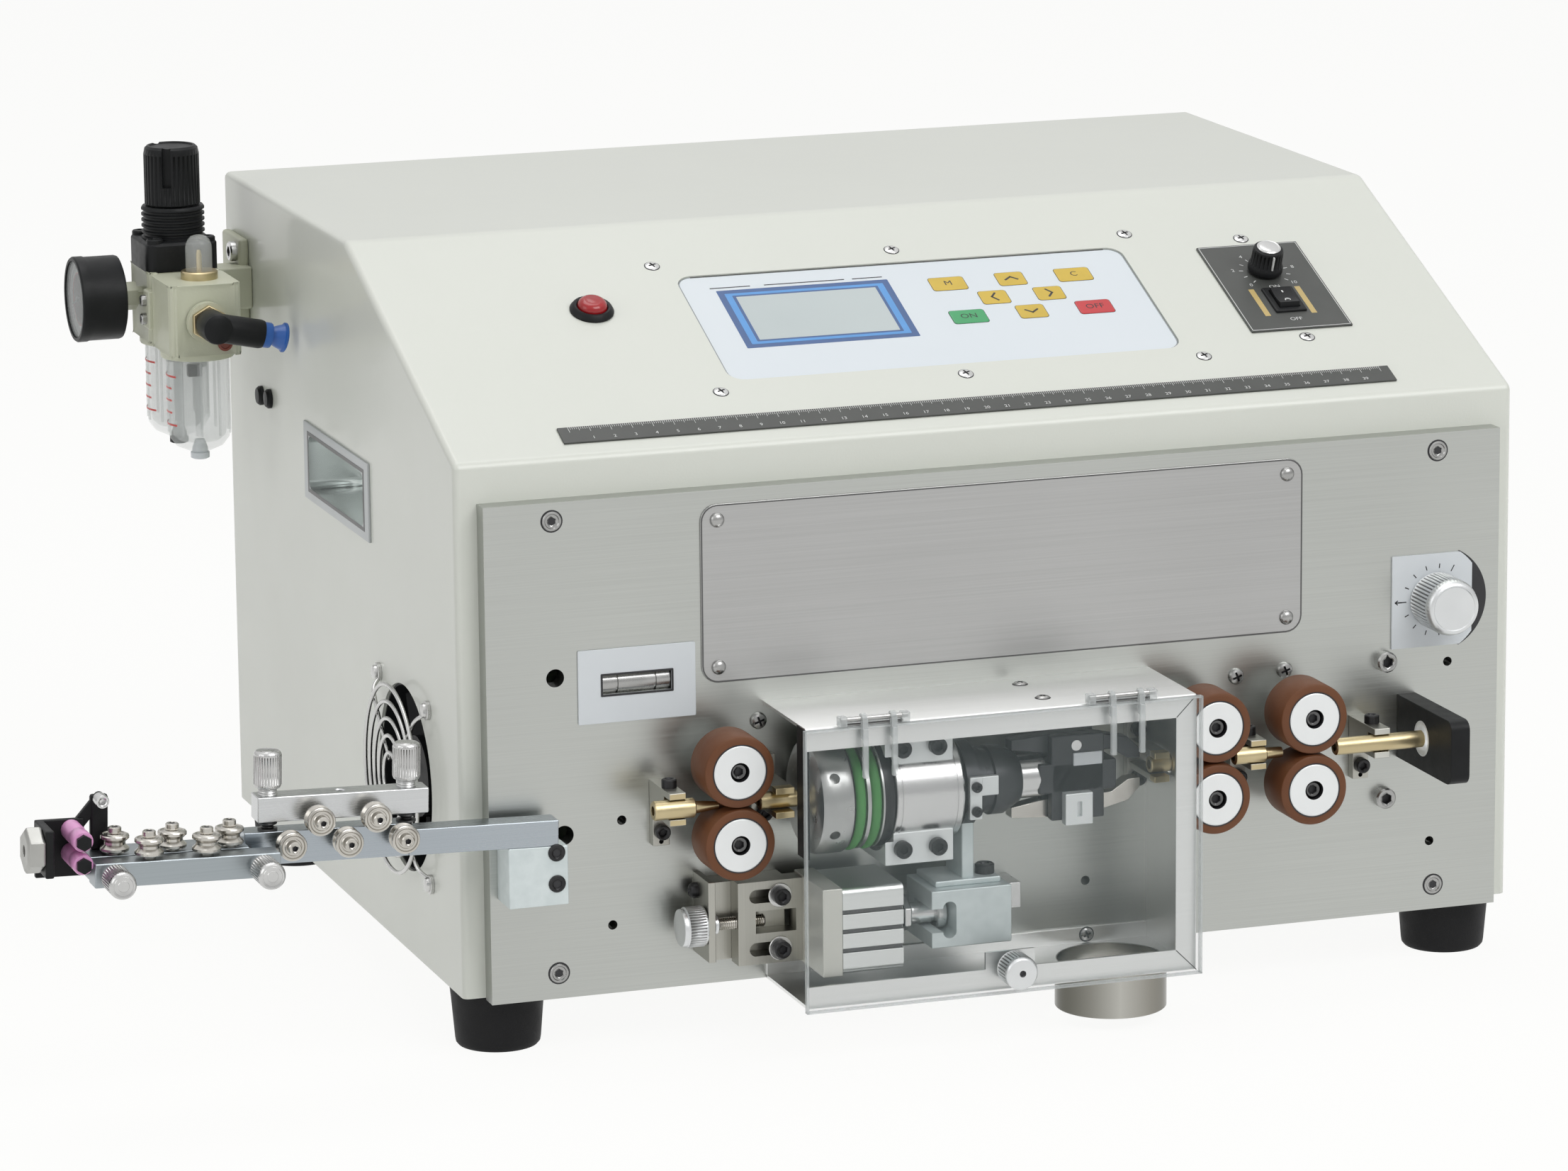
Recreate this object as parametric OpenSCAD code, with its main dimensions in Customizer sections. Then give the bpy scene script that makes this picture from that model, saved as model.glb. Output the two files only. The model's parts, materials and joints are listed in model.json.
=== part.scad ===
// Bench machine that feeds, cuts and strips magnet wire.
// X runs along the wire, to the right seen from the front. Y runs from the front to the back. Z is up.
// The origin is on the bench, at the centre of the four feet.

/* [Cabinet] */
// Width of the cabinet
cab_w = 520; // [505:1:580]
// Depth of the cabinet
cab_d = 400; // [380:1:480]
// Height of the cabinet without its feet
cab_h = 322; // [300:1:360]
// Height of the upright front below the sloping face
front_h = 248; // [244:1:256]
// Run of the sloping face, front to back
slope_run = 177; // [165:1:200]
// Thickness of the cover sheet
sheet_t = 1.5; // [1:0.1:2]
// Thickness of the chassis sheet
base_t = 2; // [1.5:0.1:3]
// Gap between sheets that slip into each other
slip = 0.2; // [0.1:0.05:0.3]

/* [Feet] */
// Height of a rubber foot
foot_h = 28; // [26:1:45]
// Diameter of a foot at the cabinet
foot_top_d = 44; // [40:1:45]
// Diameter of a foot at the bench
foot_base_d = 39; // [30:1:44]
// Distance of a foot's centre from the cabinet's sides and ends
foot_inset = 22.5; // [22:0.5:40]
// Radius of the hole for the bolt through each foot
foot_bolt_r = 3.3; // [2.5:0.1:5]

/* [Front plate] */
// Width of the front plate
plate_w = 499; // [495:1:503]
// Height of the front plate
plate_h = 231; // [228:1:236]
// Thickness of the front plate
plate_t = 10; // [8:0.5:12]
// Overlap of the plate on the cover around its opening
plate_lap = 14; // [8:1:20]
// Distance of the corner screws from the plate's side edges
plate_screw_in = 32; // [28:1:36]

/* [Wire line] */
// Distance of the wire line in front of the plate
wire_out = 28; // [28:0.5:30]
// Height of the wire line above the cabinet's underside
wire_up = 90.5; // [88:0.5:94]
// Bore for the wire in guides and spindle
wire_bore = 3; // [2:0.5:4]

/* [Feed rollers] */
// Diameter of a feed roller
roller_d = 33.4; // [30:0.2:34]
// Width of a feed roller
roller_w = 22; // [16:1:26]
// Gap between the upper and lower roller
nip_gap = 0.6; // [0.4:0.1:1]
// Diameter of the bright hub face
hub_d = 26; // [20:1:28]
// Diameter of a roller shaft
shaft_d = 10; // [8:1:12]
// Distance of the left pair from the cutter box
left_gap = 24.5; // [22:0.5:30]
// Distance of the first right pair from the cutter box
right_gap = 18.5; // [18.5:0.5:24]
// Distance between the two right pairs
pair_pitch = 48.5; // [46:0.5:52]
// Number of teeth on a roller gear
gear_teeth = 17; // [15:2:19]
// Width of a roller gear
gear_w = 8; // [6:1:10]
// Outer diameter of a shaft bearing
bearing_d = 22; // [20:1:24]
// Width of a shaft bearing
bearing_w = 6; // [5:0.5:7]
// Running clearance on a radius
run = 0.05; // [0.02:0.01:0.1]

/* [Cutter box] */
// Left edge of the box from the middle of the cabinet
box_left = -118; // [-122:1:-114]
// Width of the box
box_w = 190; // [188:1:196]
// Height of the box
box_h = 131; // [128:1:134]
// Depth of the box in front of the plate
box_deep = 59; // [58:1:66]
// Thickness of the box sheet
box_t = 1.5; // [1:0.1:2]
// Width of the folded lip round the window
lip = 10.5; // [6:0.5:11]
// Thickness of the clear window
pane_t = 3; // [2:0.5:5]
// Outer diameter of the chip chute
chute_d = 52; // [44:1:54]
// Length of the chip chute below the box
chute_l = 21; // [10:1:24]

/* [Spindle] */
// Diameter of the spindle's end cap
cap_d = 53; // [48:0.5:54]
// Diameter of the spindle housing
housing_d = 49; // [44:0.5:52]
// Diameter of the spindle shaft
spindle_d = 20; // [18:0.5:22]
// Thickness of a round belt
belt_d = 5; // [4:0.5:6]
// Distance between the two belts
belt_pitch = 7.5; // [7:0.5:9]
// Travel of the fork slide
fork_travel = 4.5; // [3:0.5:4.5]

/* [Air cylinder] */
// Height and depth of the air cylinder
cyl_s = 40; // [36:0.5:42]
// Length of the air cylinder
cyl_l = 39; // [36:0.5:41]
// Height of the cylinder's axis above the cabinet's underside
cyl_up = 31.5; // [28:0.5:33]
// Diameter of the cylinder's rod
rod_d = 10; // [8:0.5:12]

/* [Straightener] */
// Tilt of the arm, far end up
arm_tilt = 1.7; // [0:0.1:3]
// Diameter of a grooved roller
groove_d = 13; // [11:0.2:13.4]
// Width of a grooved roller
groove_w = 8; // [6:0.5:9]
// Distance of a roller's axis from the wire line
groove_off = 5.3; // [5:0.1:6]
// Distance between neighbouring rollers along the wire
groove_pitch = 13; // [12.5:0.1:13.5]
// Diameter of a roller stud
stud_d = 4; // [3:0.5:5]
// Height of the arm's square bar
arm_bar = 12; // [11:0.5:14]

/* [Air unit] */
// Distance of the unit's axis from the cabinet wall
air_out = 40; // [38:1:46]
// Distance between the two bodies
air_pitch = 42; // [41:0.5:46]
// Diameter of a clear bowl
bowl_d = 31; // [26:1:34]
// Diameter of the pressure gauge
gauge_d = 42; // [36:1:46]

/* [Controls] */
// Length of the control panel
panel_w = 225; // [200:1:228]
// Height of the control panel
panel_h = 90; // [84:1:96]
// Diameter of the dial knob
dial_d = 27; // [22:1:30]
// Diameter of the speed knob
speed_d = 17; // [14:1:20]
// Diameter of the red button
button_d = 14; // [10:0.5:15]

/* [Fan] */
// Side of the fan frame
fan_s = 92; // [88:1:96]
// Distance between the fan's screws
fan_holes = 82.5; // [80:0.5:84]

/* [Hidden] */
$fn = 48;
eps = 0.01;

// Main planes and lines
front_y = -cab_d / 2;
back_y = cab_d / 2;
side_x = cab_w / 2;
under_z = foot_h;
top_z = under_z + cab_h;
plate_y = front_y - plate_t;
plate_z0 = under_z - 1;
plate_z1 = plate_z0 + plate_h;
wire_y = plate_y - wire_out;
wire_z = under_z + wire_up;
slope_a = atan((cab_h - front_h) / slope_run);

// Feed pairs
axis_off = (roller_d + nip_gap) / 2;
box_right = box_left + box_w;
pair_x = [box_left - left_gap, box_right + right_gap, box_right + right_gap + pair_pitch];
gear_add = 1.5;
gear_ded = 2.1;
gear_tip = axis_off + gear_add;
gear_y0 = front_y + 5;
bearing_y0 = plate_y + 2;
post_d = 4;
post_off = (gear_tip + post_d / 2 + 0.6) * sqrt(0.5);
motor_s = 2 * (post_off + post_d / 2 + 2);
motor_y0 = gear_y0 + gear_w + 9;
motor_bore_l = 12;

// Cutter box
box_y = plate_y - box_deep;
box_z0 = under_z - 1;
box_z1 = box_z0 + box_h;
pane_y1 = box_y - 0.3;
pane_y0 = pane_y1 - pane_t;
pane_over = 1.5;
hinge_y = pane_y1 - pane_t / 2;
hinge_z = box_z1 + 3.2;
hinge_r = 2.6;
hinge_pin_r = 1.2;
hinge_x = [box_left + 32, box_right - 38];
hinge_l = 30;
knob_x = box_left + 98;
knob_z = box_z0 + 11.5;
knob_r = 8;
chute_x = box_right - 31;
chute_y = plate_y - box_deep / 2;

// Spindle stations along X, from the left edge of the box
cap_x0 = box_left + 8;
cap_x1 = cap_x0 + 17;
pulley_x1 = cap_x1 + 2 * belt_pitch;
ring_x1 = pulley_x1 + 5;
housing_x0 = ring_x1 + 1;
housing_x1 = housing_x0 + 33;
collar_x0 = housing_x1 + 1;
collar_l = 24;
cone_l = 8;
head_x0 = collar_x0 + collar_l + cone_l + fork_travel + 4;
head_l = 38;
blade_x = head_x0 + 52;
pivot_x = head_x0 + 18;
pivot_z = 15;
pivot_r = 2.5;
arm_w = 8;
belt_r = cap_d / 2 - 3;
belt_x = [cap_x1 + belt_pitch / 2, cap_x1 + belt_pitch * 3 / 2];
belt_motor_y = front_y + 62;
groove_gap = 0.3;
spindle_r = spindle_d / 2;
collar_r = spindle_r + 6;
cone_r = spindle_r + 1;

// Air cylinder, its rod and the slide with the fork
cyl_z = under_z + cyl_up;
cyl_x0 = box_left + 10.5;
cyl_x1 = cyl_x0 + cyl_l;
cyl_y1 = plate_y - 10.5;
cyl_y0 = cyl_y1 - cyl_s;
cyl_y = (cyl_y0 + cyl_y1) / 2;
piston_r = cyl_s / 2 - 6;
block_x0 = box_left + 64;
block_x1 = block_x0 + 39;
block_y0 = plate_y - 48;
block_y1 = plate_y - 14;
block_z0 = cyl_z - 13;
block_z1 = cyl_z + 14;
head_r = 8;
fork_x0 = collar_x0 + 2;
fork_t = 6;
rail_h = 12;
rail_y0 = block_y1 - 4;

// Adjuster to the left of the cylinder
slide_x0 = cyl_x0 - 31;
slide_y0 = plate_y - 22;
slide_t = 10;
slide_h = 39;
slide_z0 = cyl_z - slide_h / 2;
base_x0 = slide_x0 - 11;
base_y0 = slide_y0 + slide_t + slip;
wall_t = 3.4;
screw_y = slide_y0 + slide_t / 2;
screw_r = 3;
slot_up = 12.5;
slot_l = 19;
slot_h = 6.4;
clamp_x = slide_x0 + 20;
wall_screw = [(base_y0 + plate_y) / 2, cyl_z + 14];

// Guides along the wire line: bracket places and tubes as [start, end, radius]
tube_r = 4;
inlet_x = pair_x[0] - 29.5;
mid_x = box_left - 2;
exit_x = box_right - 8;
between_x = (pair_x[1] + pair_x[2]) / 2;
outlet_x = pair_x[2] + 38.3;
nip_reach = sqrt(pow(roller_d / 2, 2) - pow(axis_off - tube_r - 0.6, 2)) + 1;
guide_x = [inlet_x + 2.7, mid_x, exit_x, between_x, outlet_x];
bracket_w = [9, 12, 10, 9, 9];
bracket_h = 31;
out_block_x = pair_x[2] + 59;
out_block_t = 9.5;
out_block_l = 62;
out_block_h = 30.5;
tubes = [
    [inlet_x - 8.5, inlet_x + 11, tube_r + 0.5],
    [pair_x[0] + nip_reach, cap_x0 - 2, tube_r],
    [blade_x + 6, pair_x[1] - nip_reach, tube_r],
    [pair_x[1] + nip_reach, pair_x[2] - nip_reach, tube_r],
    [pair_x[2] + nip_reach + 2.5, out_block_x + 0.5, tube_r]];
guide_screw_up = 11.6;
clamp_guides = [0, 3, 4];
box_guides = [1, 2];
clamp_w = 8;
clamp_drop = 22.8;
clamp_screw_y = wire_y + 10.5;

// Straightener, in its own frame: the wire runs along X at Y = 0 and Z = 0
beam_y0 = groove_w / 2 + 5;
beam_y1 = beam_y0 + arm_bar;
beam_z1 = -4;
beam_z0 = beam_z1 - arm_bar;
beam_x1 = -50;
level_x = -151;
level_z1 = -1;
bar_joint_x = level_x + 2 * groove_pitch + 5;
level_end_x = level_x - 2 * groove_pitch - 19;
side_x0 = -230;
beam_end_x = side_x0 - 2 * groove_pitch - 12;
side_bar_z1 = -groove_w / 2 - 1;
upper_z0 = 3.4;
upper_h = 11.5;
upper_x0 = level_x - 39;
upper_x1 = level_x + 40;
thumb_x = [upper_x0 + 6, upper_x1 - 9];
front_y1 = -0.8;
front_y0 = -12.5;
front_x0 = side_x0 - 39;
front_x1 = side_x0 + 45;
front_thumb_x = [front_x0 + 8, front_x1 - 9];
front_thumb_z = side_bar_z1 - 5.5;
thumb_r = 6.3;
thumb_l = 17;
thumb_shank = 3;
bar_travel = 1.5;
stud_r = stud_d / 2;
eye_x = beam_end_x - 6;
rod_up = 5.2;
post_y = groove_off + groove_d / 2 + 0.8;
rod_r = 4.6;
arm_block_x0 = inlet_x - 74;
arm_block_w = 28;
arm_block_z0 = wire_z - 42;

// Air unit on the left wall
air_x = -side_x - air_out;
reg_y = front_y + 348;
lub_y = reg_y - air_pitch;
air_z0 = under_z + 251;
air_z1 = under_z + 286;
air_half_x = 18;
air_half_y = 19.5;
air_port_z = under_z + 268;
gauge_z = under_z + 272;
gauge_x1 = air_x - air_half_x - 10;
gauge_deep = 23;
bonnet_h = 13;
neck_h = 17;
neck_r = 15.5;
reg_knob_h = 46.5;
bowl_h = 54;
bowl_t = 2;

// Controls on the sloping face, as [x, distance up the slope]
panel_at = [0, 97];
button_at = [-160, 118];
speed_at = [176, 110];
rocker_at = [176, 84];
speed_plate_at = [176, 97];
ruler_at = [0, 16.5];
film_down = 0.7;
dial_at = [217, 150];
counter_at = [-178.5, 143.5];
name_at = [0.5, 182];
label_t = 1;
rocker_w = 10;
rocker_h = 15;

// Left wall
handle_y = front_y + 198;
handle_z = under_z + 203.5;
handle_l = 115;
handle_h = 38;
handle_rim = 9;
handle_deep = 30;
handle_t = 1.2;
fan_y = front_y + 90;
fan_z = under_z + 83.5;
fan_t = 25;
fan_r = fan_s / 2 - 3;
fan_hub_r = 19;
wire_r = 1;
guard_out = 7;

// A block between two corners
module block(a, b) {
    translate(a) cube(b - a);
}

// Round bars along X, Y and Z
module bar_x(x0, x1, r, y, z) {
    translate([x0, y, z]) rotate([0, 90, 0]) cylinder(h = x1 - x0, r = r);
}

module bar_y(y0, y1, r, x, z) {
    translate([x, y0, z]) rotate([-90, 0, 0]) cylinder(h = y1 - y0, r = r);
}

module bar_z(z0, z1, r, x, y) {
    translate([x, y, z0]) cylinder(h = z1 - z0, r = r);
}

// Cones along X and Z
module cone_x(x0, x1, r0, r1, y, z) {
    translate([x0, y, z]) rotate([0, 90, 0]) cylinder(h = x1 - x0, r1 = r0, r2 = r1);
}

// A profile in Y and Z, drawn out along X
module along_x(x0, x1) {
    translate([x0, 0, 0]) rotate([90, 0, 90]) linear_extrude(x1 - x0) children();
}

// A profile in X and Z, drawn out along Y
module along_y(y0, y1) {
    translate([0, y1, 0]) rotate([90, 0, 0]) linear_extrude(y1 - y0) children();
}

// A rectangle about the origin with round corners
module round_rect(w, h, r) {
    square([w - 2 * r, h], center = true);
    square([w, h - 2 * r], center = true);
    for (x = [-1, 1], y = [-1, 1]) translate([x * (w / 2 - r), y * (h / 2 - r)]) circle(r);
}

// A slot about the origin, long in X
module slot(l, h) {
    square([l - h, h], center = true);
    for (x = [-1, 1]) translate([x * (l - h) / 2, 0]) circle(h / 2);
}

// The sloping face: X to the right, Y up the slope, Z out of the face
module on_slope(at) {
    translate([at[0], front_y + at[1] * cos(slope_a), under_z + front_h + at[1] * sin(slope_a)])
        rotate([slope_a, 0, 0]) children();
}

// The straightener arm, tilted about the inlet of the wire
module on_arm() {
    translate([inlet_x, wire_y, wire_z]) rotate([0, arm_tilt, 0]) children();
}

// Screws, as [place, seat, head radius, head height]
screw_r_small = 2;
plate_screws = [for (x = [-1, 1], z = [11, 221.5]) [x * (plate_w / 2 - plate_screw_in), under_z + z]];
name_screws = [for (x = [-1, 1], z = [-1, 1]) [name_at[0] + x * 140, under_z + name_at[1] + z * 34.2]];
panel_screws = [for (x = [-120, 0, 119.5], s = [43.2, 152.6]) [x, s]];
speed_screws = [[176, 141.5], [176, 53]];
guide_screws = concat(
    [for (i = clamp_guides) [guide_x[i], wire_z - 16]],
    [for (i = box_guides, s = [-1, 1]) [guide_x[i], wire_z + s * guide_screw_up]]);
stop_screws = [[pair_x[2] + 52, under_z + 122.6], [pair_x[2] + 52, under_z + 56.5]];
roller_screws = [[pair_x[1] + 25, under_z + 121.5], [pair_x[2] + 1, under_z + 122.5]];
box_screws = [[box_left - 2.5, under_z + 121], [box_right - 32, box_z0 + 5.3]];
top_screw_x = box_left + 121;
top_screw_y = [plate_y - 12, plate_y - 41];
block_screws = [for (z = [17.5, 32]) [arm_block_x0 + 22.5, wire_z - z]];
clamp_screws = [for (z = [-1, 1]) [clamp_x, cyl_z + z * slot_up]];
housing_screws = [for (x = [8, 25], z = [-1, 1]) [housing_x0 - 4 + x, wire_z + z * 23.5]];
small_holes = [[-186.5, 80.1], [-191.5, 31.2], [223.8, 119.4], [215.4, 32.6], [box_right - 32, 30]];
housing_seat_y = wire_y - 19;

// A screw that enters along +Y: its head stands in front of the seat
module screw(at, seat, head_r, head_h, shank) {
    difference() {
        bar_y(seat - head_h, seat, head_r, at[0], at[1]);
        translate([at[0], seat - head_h / 2, at[1]]) rotate([90, 0, 0])
            cylinder(h = head_h, r = head_r * 0.55, $fn = 6);
    }
    bar_y(seat - eps, seat + shank, screw_r_small, at[0], at[1]);
}

// Holes for those screws
module screw_holes(points, y0, y1) {
    for (p = points) bar_y(y0, y1, screw_r_small + run, p[0], p[1]);
}

module cover_profile(t) {
    rise = t / cos(slope_a);
    top_run = (cab_h - t - front_h + rise) / tan(slope_a);
    reach = t > 0 ? 1 : 0;
    polygon([
        [front_y + t, under_z - reach],
        [front_y + t, under_z + front_h + t * tan(slope_a) - rise],
        [front_y + top_run, top_z - t],
        [back_y + reach, top_z - t],
        [back_y + reach, under_z - reach]]);
}

// Bent sheet: sides, top, sloping face and front strip
module cover() {
    color([0.87, 0.88, 0.82]) difference() {
        along_x(-side_x, side_x) cover_profile(0);
        along_x(-side_x + sheet_t, side_x - sheet_t) cover_profile(sheet_t);
        block([-plate_w / 2 + plate_lap, front_y - 1, under_z - 1],
            [plate_w / 2 - plate_lap, front_y + sheet_t + 1, plate_z1 - plate_lap]);
        screw_holes(plate_screws, front_y - 1, front_y + sheet_t + 1);
        for (s = [-1, 1]) translate([s * side_x, handle_y, handle_z])
            cube([4 * sheet_t, handle_l - 8, handle_h - 8], center = true);
        bar_x(-side_x - 1, -side_x + sheet_t + 1, fan_r + 1, fan_y, fan_z);
        on_slope(panel_at) translate([0, 0, -4 * sheet_t])
            linear_extrude(8 * sheet_t) round_rect(panel_w, panel_h, 8);
        on_slope(button_at) translate([0, 0, -5]) cylinder(h = 10, r = button_d / 2 + 1.5);
        on_slope(speed_at) translate([0, 0, -5]) cylinder(h = 10, r = 4.5);
        on_slope(rocker_at) cube([rocker_w + 5, rocker_h + 5, 10], center = true);
        for (p = concat(panel_screws, speed_screws)) on_slope(p)
            translate([0, 0, -5]) cylinder(h = 10, r = screw_r_small + run);
    }
}

// Bent sheet: base and rear wall, with vents and a hole for the mains inlet
module chassis() {
    color([0.8, 0.81, 0.77]) difference() {
        union() {
            block([-side_x + sheet_t + slip, front_y + sheet_t + slip, under_z],
                [side_x - sheet_t - slip, back_y, under_z + base_t]);
            block([-side_x + sheet_t + slip, back_y - base_t, under_z],
                [side_x - sheet_t - slip, back_y, top_z - sheet_t - slip]);
        }
        for (i = [0:9], s = [-1, 1]) translate([s * 110 + (i - 4.5) * 12, back_y - base_t / 2, under_z + 235])
            rotate([90, 0, 0]) linear_extrude(4 * base_t, center = true) rotate(90) slot(60, 5);
        block([inlet_at[0] - 24 - slip, back_y - 2 * base_t, inlet_at[1] - 14 - slip],
            [inlet_at[0] + 24 + slip, back_y + base_t, inlet_at[1] + 14 + slip]);
        for (x = [-1, 1], y = [-1, 1])
            bar_z(under_z - 1, under_z + base_t + 1, foot_bolt_r, x * (side_x - foot_inset),
                y * (cab_d / 2 - foot_inset));
    }
}

inlet_at = [150, under_z + 70];

// Thick plate that carries the feed and the cutter box
module front_plate() {
    color([0.72, 0.72, 0.71]) difference() {
        block([-plate_w / 2, plate_y, plate_z0], [plate_w / 2, front_y, plate_z1]);
        for (x = pair_x, s = [-1, 1]) {
            bar_y(bearing_y0, front_y + 1, bearing_d / 2 + 0.02, x, wire_z + s * axis_off);
            bar_y(plate_y - 1, front_y, shaft_d / 2 + 1.5, x, wire_z + s * axis_off);
        }
        block([belt_x[0] - belt_d, plate_y - 1, wire_z - belt_r - belt_d],
            [belt_x[1] + belt_d, front_y + 1, wire_z + belt_r + belt_d]);
        screw_holes(concat(plate_screws, name_screws, guide_screws, stop_screws, roller_screws, box_screws,
            block_screws), plate_y - 1, front_y + 1);
        for (h = small_holes) bar_y(plate_y - 1, front_y + 1, 2.2, h[0], under_z + h[1]);
        bar_y(plate_y - 1, front_y + 1, 4.2, -217, under_z + 149);
        bar_y(plate_y - 1, front_y + 1, 4.5, -214, under_z + 75.5);
        bar_y(plate_y - 1, front_y + 1, 4 + run, dial_at[0], under_z + dial_at[1]);
        translate([counter_at[0], 0, under_z + counter_at[1] + 0.5])
            cube([33, 3 * cab_d, 9], center = true);
    }
}

// All screws: plate, panels, brackets and box
module screws() {
    color([0.5, 0.5, 0.5]) {
        for (p = plate_screws) screw(p, plate_y, 4.6, 0.8, plate_t + sheet_t);
        for (p = name_screws) screw(p, plate_y - label_t, 3.4, 2.2, 6);
        for (p = concat(panel_screws, speed_screws)) on_slope(p) {
            cylinder(h = 0.8, r = 3.6);
            translate([0, 0, -3.2]) cylinder(h = 3.2, r = screw_r_small);
        }
        for (p = guide_screws) screw(p, plate_y - 5, 3.6, 4, 10);
        for (i = clamp_guides) translate([guide_x[i], clamp_screw_y, wire_z + tubes[i][2] + run + 3]) {
            difference() {
                cylinder(h = 4, r = 3.4);
                translate([0, 0, 2]) cylinder(h = 3, r = 1.8, $fn = 6);
            }
            translate([0, 0, -6]) cylinder(h = 6 + eps, r = screw_r_small);
        }
        for (p = stop_screws) screw(p, plate_y, 5, 5, 7);
        for (p = roller_screws) screw(p, plate_y, 3.6, 2.4, 7);
        screw(box_screws[0], plate_y, 3.9, 2.6, 7);
        screw(box_screws[1], plate_y - box_t, 3.2, 2, 8);
        for (y = top_screw_y) {
            bar_z(box_z1, box_z1 + 1.2, 3.2, top_screw_x, y);
            bar_z(box_z1 - box_t - 2, box_z1 + eps, screw_r_small, top_screw_x, y);
        }
        for (p = block_screws) screw(p, plate_y - arm_block_d, 4, 1, arm_block_d + 6);
        for (p = clamp_screws) {
            screw(p, slide_y0 - 1.4, 4, 4, slide_t + 6);
            difference() {
                bar_y(slide_y0 - 1.3, slide_y0 - 0.1, 5.6, p[0], p[1]);
                bar_y(slide_y0 - 2, slide_y0, screw_r_small + run, p[0], p[1]);
            }
        }
        for (p = housing_screws) screw(p, housing_seat_y, 4, 4, 10);
        bar_x(base_x0 - wall_t - 4, base_x0 - wall_t, 3.7, wall_screw[0], wall_screw[1]);
        bar_x(base_x0 - wall_t - eps, base_x0 + 8, screw_r_small, wall_screw[0], wall_screw[1]);
    }
}

arm_block_d = wire_out - beam_y0;

// Thin plates: name, counter and dial plate on the front, speed plate and ruler on the slope
module label_plates() {
    color([0.8, 0.8, 0.8]) {
        difference() {
            along_y(plate_y - label_t, plate_y) translate([name_at[0], under_z + name_at[1]])
                round_rect(296, 83, 8);
            screw_holes(name_screws, plate_y - 2, plate_y + 1);
        }
        along_y(plate_y - label_t, plate_y) translate([counter_at[0], under_z + counter_at[1]]) difference() {
            square([56, 34.4], center = true);
            translate([0, 0.5]) square([33, 9], center = true);
        }
        along_y(plate_y - label_t, plate_y) translate([dial_at[0], under_z + dial_at[1]]) difference() {
            intersection() {
                translate([-2, 0]) square([41, 44.5], center = true);
                translate([-3, 0]) circle(27);
            }
            circle(4 + run);
        }
        on_slope(speed_plate_at) linear_extrude(label_t) difference() {
            square([52, 75.5], center = true);
            translate(speed_at - speed_plate_at) circle(4.5);
            translate(rocker_at - speed_plate_at) square([rocker_w + 5, rocker_h + 5], center = true);
        }
        on_slope(ruler_at) linear_extrude(label_t) square([410, 12.5], center = true);
    }
}

// Membrane film on its carrier, with eight keys and the display behind its window
module control_panel() {
    color([0.85, 0.9, 0.93]) on_slope(panel_at) {
        difference() {
            union() {
                translate([0, 0, -sheet_t - 2]) linear_extrude(2) square([254, 124], center = true);
                translate([0, 0, -sheet_t - eps]) linear_extrude(sheet_t - film_down + eps)
                    round_rect(panel_w - 2 * slip, panel_h - 2 * slip, 8 - slip);
                for (k = key_places) translate([k[0], k[1], -film_down - eps])
                    linear_extrude(0.4) square([k[2], 10], center = true);
            }
            translate([display_at[0], display_at[1], -sheet_t - 3])
                linear_extrude(4) square([70, 38], center = true);
            for (p = panel_screws) translate([p[0] - panel_at[0], p[1] - panel_at[1], -8])
                cylinder(h = 16, r = screw_r_small + run);
        }
        translate([display_at[0], display_at[1], -sheet_t - 8]) linear_extrude(6) square([84, 48], center = true);
        translate([display_at[0], display_at[1], -sheet_t - 2 - eps])
            linear_extrude(2.2) square([69, 37], center = true);
    }
}

display_at = [-53, 6];
key_places = [[18, 24, 17], [50, 24.5, 12], [82, 24.5, 17], [36.5, 9.7, 12], [64.5, 9.9, 12],
    [18.5, -5.2, 17], [50.5, -4.5, 12], [82.5, -4.4, 17]];

// Bodies of the red button, the rocker switch and the speed potentiometer
module switch_bodies() {
    color([0.06, 0.06, 0.06]) {
        on_slope(button_at) difference() {
            union() {
                cylinder(h = 3, r = button_d / 2 + 2.7);
                translate([0, 0, -22]) cylinder(h = 22 + eps, r = button_d / 2 + 1.3);
            }
            translate([0, 0, -8]) cylinder(h = 20, r = button_d / 2 + run);
        }
        on_slope(rocker_at) difference() {
            union() {
                translate([0, 0, 1.6 + label_t - 0.6])
                    cube([rocker_w + 6, rocker_h + 6, 1.2], center = true);
                translate([0, 0, -9]) cube([rocker_w + 4.6, rocker_h + 4.6, 22], center = true);
            }
            translate([0, 0, 1]) cube([rocker_w + 0.8, rocker_h + 0.8, 14], center = true);
            translate([0, 0, 1]) rotate([0, 90, 0]) cylinder(h = rocker_w + 4, r = 1 + run, center = true);
        }
        on_slope(speed_at) {
            difference() {
                translate([0, 0, -sheet_t - 10]) cylinder(h = 10, r = 9);
                translate([0, 0, -sheet_t - 6]) cylinder(h = 10, r = 3 + run);
            }
            difference() {
                translate([0, 0, -sheet_t - eps]) cylinder(h = sheet_t + label_t + 1, r = 4.4);
                translate([0, 0, -sheet_t - 6]) cylinder(h = 20, r = 3 + run);
            }
        }
    }
}

// Four tapered feet
module rubber_feet() {
    color([0.07, 0.07, 0.07])
        for (x = [-1, 1], y = [-1, 1])
            translate([x * (side_x - foot_inset), y * (cab_d / 2 - foot_inset), 0])
                difference() {
                    cylinder(h = foot_h, d1 = foot_base_d, d2 = foot_top_d);
                    translate([0, 0, -1]) cylinder(h = foot_h + 2, r = foot_bolt_r);
                }
}

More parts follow.
